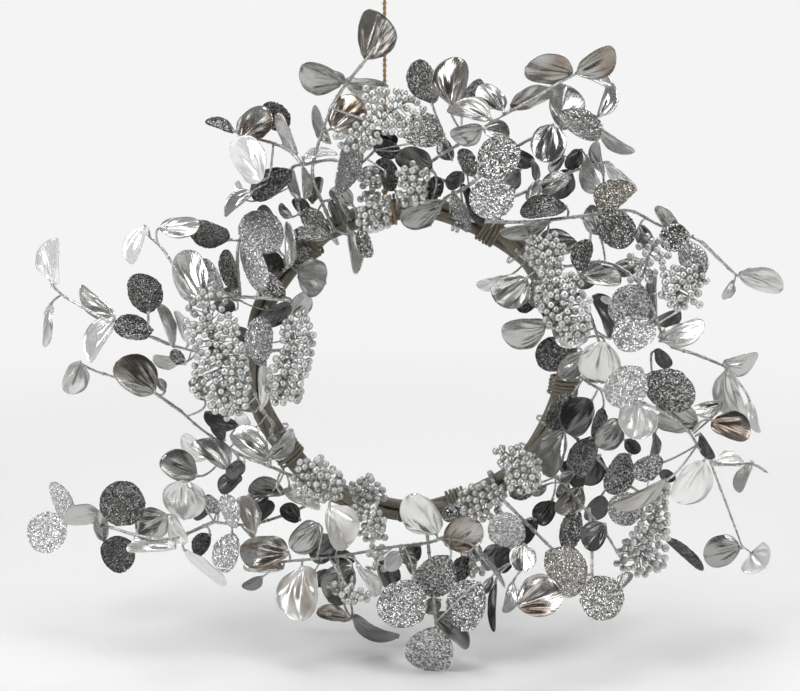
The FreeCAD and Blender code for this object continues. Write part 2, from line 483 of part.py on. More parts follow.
"right_lower_glitter_leaves": """
134.8,-39.62,-18.29 -0.5481,-0.4878,-0.6794 0.6323,-0.7734,0.0452 34.94,31.22,2.55,-2.46
152.23,-40.48,-54.6 -0.3458,-0.0812,-0.9348 0.6103,-0.7762,-0.1584 37.51,33.66,-2.72,-0.02
186.01,-82.04,16.07 -0.5756,0.0027,-0.8177 0.0851,-0.9944,-0.0632 38.18,34.63,2.89,-0.55
195.33,-73.42,8.76 0.7188,0.0543,-0.6931 -0.2401,-0.9162,-0.3208 45.07,39.55,-3.28,-1.87
161.13,-37.94,-30.04 -0.3228,-0.3055,-0.8958 0.7888,-0.6099,-0.0763 26.55,23.90,1.94,0.16
184.25,-43.05,-69.59 -0.5199,-0.4521,-0.7248 0.6371,-0.7705,0.0237 37.40,33.60,2.73,-1.59
212.08,-50,-73.59 -0.9381,-0.2729,-0.2134 0.3255,-0.9052,-0.2733 29.29,25.81,2.10,-1.12
195.13,-54.94,-115.94 -0.9514,-0.1756,0.2532 0.22,-0.9624,0.1593 31.65,28.49,2.31,-0.11
102.95,-46.78,-95.68 -0.901,-0.3085,-0.305 -0.1898,-0.352,0.9166 21.76,19.46,-1.58,0.21
132.34,-46.11,-90.61 -0.4856,-0.5305,-0.6948 0.6579,-0.7452,0.1092 18.29,13.79,1.12,-0.84
135.86,-98.74,-101.29 -0.3803,0.1477,-0.913 -0.864,-0.4089,0.2938 34.10,30.09,-2.49,-2.35
216.96,-34.54,-145.17 0.7375,-0.3527,-0.5759 0.5361,-0.213,0.8169 42.26,21.26,1.70,-0.31
""",
"bottom_smooth_leaves": """
-66.39,-91.73,-99.32 0.3705,0.0559,-0.9272 0.669,-0.7085,0.2246 39.16,34.52,4.63,-1.49
-62.19,-48.61,-141.17 -0.7373,-0.3807,-0.5581 0.4061,-0.9099,0.0843 28.30,25.98,-3.40,-1.53
-107.32,-63.88,-162.46 -0.991,-0.1261,0.0459 0.0665,-0.1646,0.9841 33.61,30.50,4.01,0.09
-126.51,-43.54,-177.98 -0.8219,0.1519,-0.549 0.1682,-0.8561,-0.4887 20.21,14.68,1.90,-0.57
-90.59,-78.47,-154.5 -0.0185,-0.5767,-0.8168 -0.5607,-0.6704,0.486 46.82,43.69,5.82,-3.26
-49.63,-49.67,-167.63 -0.5579,0.0007,-0.8299 -0.508,-0.791,0.3409 36.93,32.53,4.23,-1.54
-44.17,-66.49,-157.07 0.4501,0.0287,-0.8925 -0.7328,-0.5593,-0.3875 33.35,29.36,-3.86,0.92
-51.89,-71.58,-206.01 -0.9746,-0.0641,0.2144 0.2226,-0.1812,0.9579 28.39,25.57,3.36,0.73
-49.48,-66.07,-206.37 0.8901,0.003,-0.4558 -0.3298,-0.686,-0.6486 43.66,33.84,4.42,-3.04
-8.92,-52.32,-152.35 -0.5845,0.0458,-0.8101 -0.3417,-0.9195,0.1945 20.30,15.23,-1.99,-0.52
-7.24,-55.8,-150.22 0.4264,-0.1307,-0.895 0.8088,-0.3879,0.442 21.78,19.44,2.55,-0.47
18.77,-76.55,-198.7 0.7056,-0.4198,-0.5708 -0.6854,-0.6087,-0.3996 41.12,38.03,-5.02,-1.25
20.97,-78.1,-127.4 -0.5207,-0.0438,0.8526 -0.3557,-0.8967,-0.2633 41.56,36.69,4.90,0.65
-1.3,-38,-116.26 -0.4771,-0.4999,-0.7228 -0.5466,-0.4753,0.6894 15.99,12.23,1.60,0.30
29.7,-61.66,-142.82 0.7992,-0.067,0.5974 -0.0442,-0.9976,-0.0526 35.37,31.65,4.17,0.86
93.11,-39.74,-147.84 -0.5591,-0.4062,-0.7228 -0.6357,-0.3496,0.6882 30.99,28.21,3.67,-1.55
93.81,-83.88,-134.13 -0.0868,-0.5074,-0.8573 -0.1078,-0.8508,0.5144 23.55,22.33,2.98,-1.59
54,-107.66,-130.09 0.5773,0.0786,-0.8128 0.8035,-0.232,0.5482 42.05,12.30,1.66,-0.92
71.5,-55.75,-178.85 -0.0323,-0.4928,-0.8695 -0.9313,-0.3011,0.2052 41.52,16.88,2.21,-0.57
68.03,-74.75,-166.47 -0.3374,-0.5469,-0.7662 -0.7019,-0.3963,0.5919 15.52,11.96,1.58,0.24
85.65,-74.77,-170.89 -0.2846,-0.3146,-0.9056 -0.8657,-0.3215,0.3837 26.87,24.38,-3.22,-0.16
85.59,-151.13,-162.92 0.8903,0.379,0.2523 0.1756,-0.7971,0.5777 38.80,34.57,4.75,-1.18
174.57,-66.38,-179.36 0.6598,0.0431,0.7502 -0.6183,-0.5363,0.5746 17.46,13.07,1.72,-0.75
-102.54,-70.8,-145.79 -0.9712,0.2285,0.0667 -0.0519,-0.4766,0.8776 41.98,37.37,-4.93,-2.89
-77.73,-58.71,-125.27 -0.7265,-0.4608,-0.5098 0.5667,-0.8214,-0.065 31.61,29.21,3.86,0.27
-47.54,-28.03,-168.24 -0.9813,-0.181,0.0651 0.1343,-0.402,0.9057 21.72,19.65,2.53,-0.06
-26.13,-23.35,-169.92 0.4445,-0.4572,-0.7703 -0.682,-0.7303,0.0399 29.07,26.80,-3.45,-0.05
8.23,-25.89,-155.41 -0.7869,-0.3771,-0.4884 0.4954,-0.858,-0.1359 21.79,19.88,2.57,0.55
59.2,-40.96,-163.59 -0.7483,-0.0269,0.6628 0.2673,-0.9267,0.2642 20.63,18.71,2.43,-0.26
106.54,-25.28,-133.05 -0.521,-0.3795,-0.7646 -0.5551,-0.5298,0.6412 25.13,22.80,2.95,-0.21
76.86,-25.19,-155.65 -0.5196,-0.3826,-0.7639 0.6455,-0.7616,-0.0577 25.13,22.88,-2.95,-0.85
25.34,-38.95,-200.54 -0.7748,-0.3659,-0.5155 0.0482,-0.8473,0.529 16.64,13.69,1.77,-0.75
""",
"bottom_glitter_leaves": """
1.06,-83.98,-165.71 -0.3842,-0.5843,-0.7148 -0.1353,-0.7302,0.6696 43.15,41.40,-3.40,-0.84
20.68,-113.6,-198.32 -0.2079,0.3284,-0.9214 -0.1039,-0.9441,-0.313 46.10,39.75,3.26,-2.13
40.61,-53.37,-108.52 -0.6019,-0.0652,-0.7959 -0.5038,-0.7423,0.4417 19.44,14.49,1.17,0.30
83.6,-74.62,-140.9 -0.21,-0.2527,0.9445 -0.1836,-0.9386,-0.292 35.67,31.52,2.58,-0.73
32.8,-74.59,-149.72 -0.6275,-0.0669,-0.7757 0.2161,-0.9721,-0.091 39.82,35.51,2.89,-2.75
50.38,-49.63,-160.47 -0.7233,-0.4646,-0.5109 0.558,-0.829,-0.0362 23.68,21.62,1.74,-0.08
56.84,-104.62,-160.68 -0.4295,0.1045,-0.897 -0.6631,-0.7108,0.2347 45.06,39.29,3.24,0.42
111.2,-119.39,-128.51 0.6548,0.0611,-0.7533 0.506,-0.7758,0.3769 44.81,38.99,3.26,-2.22
147.72,-115.88,-151.3 0.4084,-0.5035,-0.7614 -0.292,-0.8624,0.4136 37.18,35.78,2.99,-1.43
-86.35,-28.66,-190.75 0.76,-0.1173,0.6392 0.2647,-0.8424,-0.4693 22.91,20.12,1.59,0.52
""",
"left_lower_smooth_leaves": """
-180.08,-40.78,-88.77 -0.9012,-0.0504,0.4305 0.3731,-0.5956,0.7114 33.96,30.89,4.05,-0.59
-170.23,-24.97,-76.88 -0.8218,0.2793,0.4967 -0.4868,-0.7971,-0.3573 30.54,27.27,3.54,-0.55
-152.72,-53.55,-77.74 -0.7468,0.4297,0.5075 0.4227,-0.2824,0.8611 38.40,34.17,4.50,-1.73
-189.64,-62.87,-87.03 -0.0367,0.3393,-0.94 -0.0841,-0.9383,-0.3354 41.43,36.88,-4.86,-2.48
-144.84,-28.43,-48.49 -0.8879,-0.1094,0.4468 -0.2521,-0.6968,-0.6716 31.62,28.82,3.78,0.67
-135.25,-43.99,-44.85 -0.5745,-0.0045,0.8185 -0.3504,-0.9024,-0.2509 17.01,12.79,1.69,-1.02
-117.22,-57.58,-67.77 -0.8124,-0.1802,0.5545 0.5766,-0.3892,0.7184 39.80,36.13,4.81,-0.95
-116.73,-65.33,-66.26 0.6264,0.3506,0.6963 0.7187,-0.6056,-0.3417 31.35,28.53,3.80,-1.50
-153.73,-29.4,-32.45 -0.4103,-0.0483,0.9107 0.8632,-0.3428,0.3707 25.24,22.79,3.00,-1.46
-132.67,-30.4,-35.66 -0.5267,0.0395,0.8491 -0.5415,-0.7856,-0.2994 20.29,18.31,2.41,0.26
-123.65,-51.58,-28.8 0.0028,-0.1211,0.9926 0.942,-0.3328,-0.0432 40.21,28.98,3.87,-1.16
-135.2,-28.19,21.91 -0.6013,-0.1819,0.778 -0.395,-0.7787,-0.4874 19.91,18.20,-2.41,-1.25
-142.87,-27.97,60.44 -0.7803,-0.2474,0.5744 0.6059,-0.5268,0.5961 16.39,12.60,1.68,-0.86
-100.53,-29.4,47.11 0.616,0.0589,0.7855 0.4836,-0.8155,-0.318 24.56,22.06,2.93,-0.72
-98.97,-40.91,59.98 -0.8832,-0.2733,-0.3811 0.4529,-0.708,-0.5419 30.46,27.61,3.70,0.68
-100.92,-41.22,34.56 -0.6592,-0.1587,0.735 0.5471,-0.7718,0.324 9.78,7.42,0.99,-0.36
-130.08,-68.41,-133.39 -0.3276,0.0397,0.944 0.8803,-0.3501,0.3202 36.65,32.65,4.33,-0.97
-138.98,-57,-71.43 -0.7056,-0.0932,-0.7024 0.1973,-0.9779,-0.0685 19.08,14.20,-1.88,-0.81
-145.09,-24.31,-92.19 -0.6638,-0.4867,-0.5679 -0.3304,-0.4904,0.8064 23.36,21.71,2.82,-1.39
-105.97,-42.59,-102.33 -0.9937,-0.0766,0.0814 0.1017,-0.3166,0.9431 31.21,28.24,3.70,-0.86
-120.43,-41.37,-105.38 -0.8293,0.0248,-0.5582 -0.5008,-0.4763,0.7227 25.83,22.89,2.99,-0.96
-108.76,-52.71,-99.93 0.8847,-0.3894,-0.2564 -0.4586,-0.6274,-0.6293 36.53,27.18,-3.59,-2.02
-67.17,-42.06,-102.5 -0.2805,0.0035,0.9598 0.9061,-0.3288,0.266 32.11,28.58,-3.75,-1.62
-157.86,-17.31,-64.12 -0.62,-0.0477,0.7832 0.6416,-0.6055,0.471 17.26,13.02,1.69,-1.13
-133.35,-19.62,-134.97 0.7444,-0.2011,0.6367 -0.6436,-0.4699,0.6041 23.71,20.67,2.67,-0.05
-94.67,-20.93,-134.53 -0.8214,-0.104,0.5608 0.4926,-0.6251,0.6055 20.54,18.51,2.39,-0.39
-167.63,-15.88,-118.19 -0.6615,-0.4951,-0.5634 -0.4213,-0.3761,0.8252 24.70,23.11,2.98,-0.41
-153.53,-22.03,7.38 -0.7529,0.0024,0.6581 0.2789,-0.9046,0.3224 19.73,15.12,1.99,0.25
-173.54,-23.13,-27.19 -0.5912,0.1073,0.7993 0.7025,-0.4183,0.5757 21.10,19.06,2.50,-0.24
""",
"left_lower_glitter_leaves": """
-135.64,-42.94,-14.79 -0.5662,0.076,0.8207 -0.5129,-0.8119,-0.2787 24.60,22.21,1.81,-1.17
-119.68,-64.24,15.67 -0.0952,0.0673,0.9932 0.7971,-0.5925,0.1166 38.42,34.59,-2.87,-2.10
-144.51,-84.1,-119.22 -0.4219,0.4809,0.7686 -0.7609,-0.6488,-0.0118 29.06,26.36,-2.16,0.08
-148.91,-72.23,-128.55 -0.211,-0.4082,-0.8882 -0.6447,-0.6249,0.4403 33.16,30.43,2.49,-0.67
-163.03,-41.19,-122.32 -0.5027,-0.0842,0.8604 -0.3362,-0.8978,-0.2843 19.20,14.33,1.15,-1.17
""",
"left_upper_smooth_leaves": """
-172.01,-61.92,68.97 -0.4828,0.5437,0.6865 -0.6577,-0.7427,0.1257 45.87,39.99,-5.39,-2.32
-100.36,-68.74,96.22 -0.0341,0.4758,0.8789 0.9332,-0.2996,0.1984 39.04,22.32,3.04,1.01
-93.66,-41.37,87.93 0.6811,-0.7203,-0.1311 -0.6656,-0.6838,0.299 35.03,31.05,-4.20,-1.66
-51.57,-38.49,122.51 0.1653,0.0215,-0.986 0.926,-0.3475,0.1477 38.43,28.78,3.87,0.41
-196.92,-37.63,22.55 -0.312,-0.1574,0.937 0.9365,-0.2174,0.2753 39.78,24.85,3.32,-0.12
-184.95,-40.32,24.94 -0.2781,-0.1348,0.9511 -0.7792,-0.5474,-0.3054 31.51,24.83,-3.32,-1.01
-203.44,-58.14,127.1 0.9493,0.2892,0.1231 0.0045,-0.4042,0.9147 32.48,29.81,-4.05,-1.52
-219.71,-24.21,122.29 -0.3497,-0.3409,-0.8726 -0.7251,-0.4913,0.4825 33.97,30.56,4.09,-1.22
-277.45,-25.65,6.58 -0.3397,-0.3038,-0.8901 0.6702,-0.7421,-0.0025 28.60,25.87,3.41,-1.75
-213.15,-43.13,-14.74 -0.7838,0.0554,0.6185 0.4262,-0.6764,0.6007 40.81,37.03,4.91,-0.94
-192.42,-20.37,5.22 -0.9446,-0.2313,0.2329 -0.0169,-0.6743,-0.7383 24.98,23.11,3.04,-0.78
-206.34,-29.65,-17.55 -0.5124,-0.0564,0.8569 0.6762,-0.6416,0.3621 12.39,9.39,1.24,0.29
-146.98,-20.16,50.09 -0.8487,-0.193,0.4925 0.074,-0.9652,-0.2508 19.11,14.66,1.94,-0.54
-112.17,-26.35,119.34 -0.4594,0.3645,0.81 0.6631,-0.4661,0.5858 23.91,21.23,-2.84,-0.37
""",
"left_upper_glitter_leaves": """
-149.91,-31.38,111.92 -0.9105,-0.1748,0.3748 -0.1017,-0.7838,-0.6126 34.34,31.64,2.62,-1.40
-108.39,-52.5,107.79 -0.6617,0.2819,0.6947 0.1411,-0.8632,0.4847 39.89,35.57,-2.96,-1.11
-124.39,-65.47,74.77 -0.2484,0.0378,0.9679 -0.8091,-0.5576,-0.1859 43.29,39.30,-3.29,-1.69
-143.43,-39.76,72.42 -0.2729,0.0122,0.962 0.9076,-0.3282,0.2617 34.01,30.94,-2.56,-0.77
-158.03,-44.57,65.05 -0.3393,-0.0465,0.9395 -0.6647,-0.6949,-0.2744 36.15,32.98,2.73,-0.64
-105.8,-30.14,86.4 -0.8609,0.0114,0.5086 0.4085,-0.5804,0.7045 24.79,22.48,1.85,0.06
-104.48,-59.27,68.37 -0.6853,0.0625,0.7256 -0.4215,-0.8465,-0.3252 27.11,24.56,2.05,-1.27
-41.67,-40.95,125.48 0.3292,-0.3921,-0.859 -0.8611,-0.4979,-0.1027 27.55,24.55,2.04,-0.12
-189.87,-36.92,7.76 -0.6083,0.0965,0.7878 -0.0698,-0.9952,0.068 14.82,11.18,0.91,-0.18
-83.78,-18.43,100.91 -0.8242,-0.3594,-0.4377 0.5219,-0.782,-0.3406 19.88,17.94,1.47,-0.73
""",
}


def leaf_solid(row, thickness):
    base, along, normal, (length, width, cup, bend) = [numbers(word) for word in row.split()]
    base, along, normal = V(*base), V(*along), V(*normal)
    along.normalize()
    across = normal.cross(along)
    across.normalize()
    normal = along.cross(across)

    # Mid-surface: the base, three points at each station, the tip.
    middle = [(0, 0, bend)]
    for station, share in zip(LEAF_STATIONS, LEAF_OUTLINE):
        for side in (-1, 0, 1):
            edge = side * share
            height = cup * edge ** 2 + bend * (2 * station - 1) ** 2
            middle.append((station * length, edge * width / 2, height))
    middle.append((length, 0, bend))
    count = len(middle)
    tip = count - 1
    points = [
        base + along * x - across * y + normal * (z + face * thickness)
        for face in (0.5, -0.5)
        for x, y, z in middle
    ]

    def at(station, column):
        return 1 + 3 * station + column

    last = len(LEAF_STATIONS) - 1
    top = []
    for j in (0, 1):
        top.append((0, at(0, j), at(0, j + 1)))
        top.append((tip, at(last, j + 1), at(last, j)))
        for i in range(last):
            near, far = at(i, j), at(i + 1, j + 1)
            top += [(near, at(i + 1, j), far), (near, far, at(i, j + 1))]
    bottom = [(a + count, c + count, b + count) for a, b, c in top]
    stations = range(last + 1)
    rim = [0] + [at(i, 0) for i in stations] + [tip] + [at(i, 2) for i in reversed(stations)]
    sides = []
    for a, b in zip(rim, rim[1:] + rim[:1]):
        sides += [(a, b, b + count), (a, b + count, a + count)]
    return faceted_solid([[points[i] for i in face] for face in top + bottom + sides])


for label, table in LEAVES.items():
    thickness = size("glitter_leaf_thickness" if "glitter" in label else "leaf_thickness")
    keep_solids(label, [leaf_solid(row, thickness) for row in table.split("\n") if row])

# ---------------------------------------------------------------- stems
# A stem is a faceted wire with mitred joints.  In the table a word names the kind of
# stem and the points x,y,z of its centre line follow.
STEM_RADII = {
    "main": size("main_stem_radius"),
    "petiole": size("petiole_radius"),
    "small": size("small_petiole_radius"),
    "stalk": size("stalk_radius"),
}
THICK_STEM = 0.8  # stems of a larger radius have eight sides, the others six

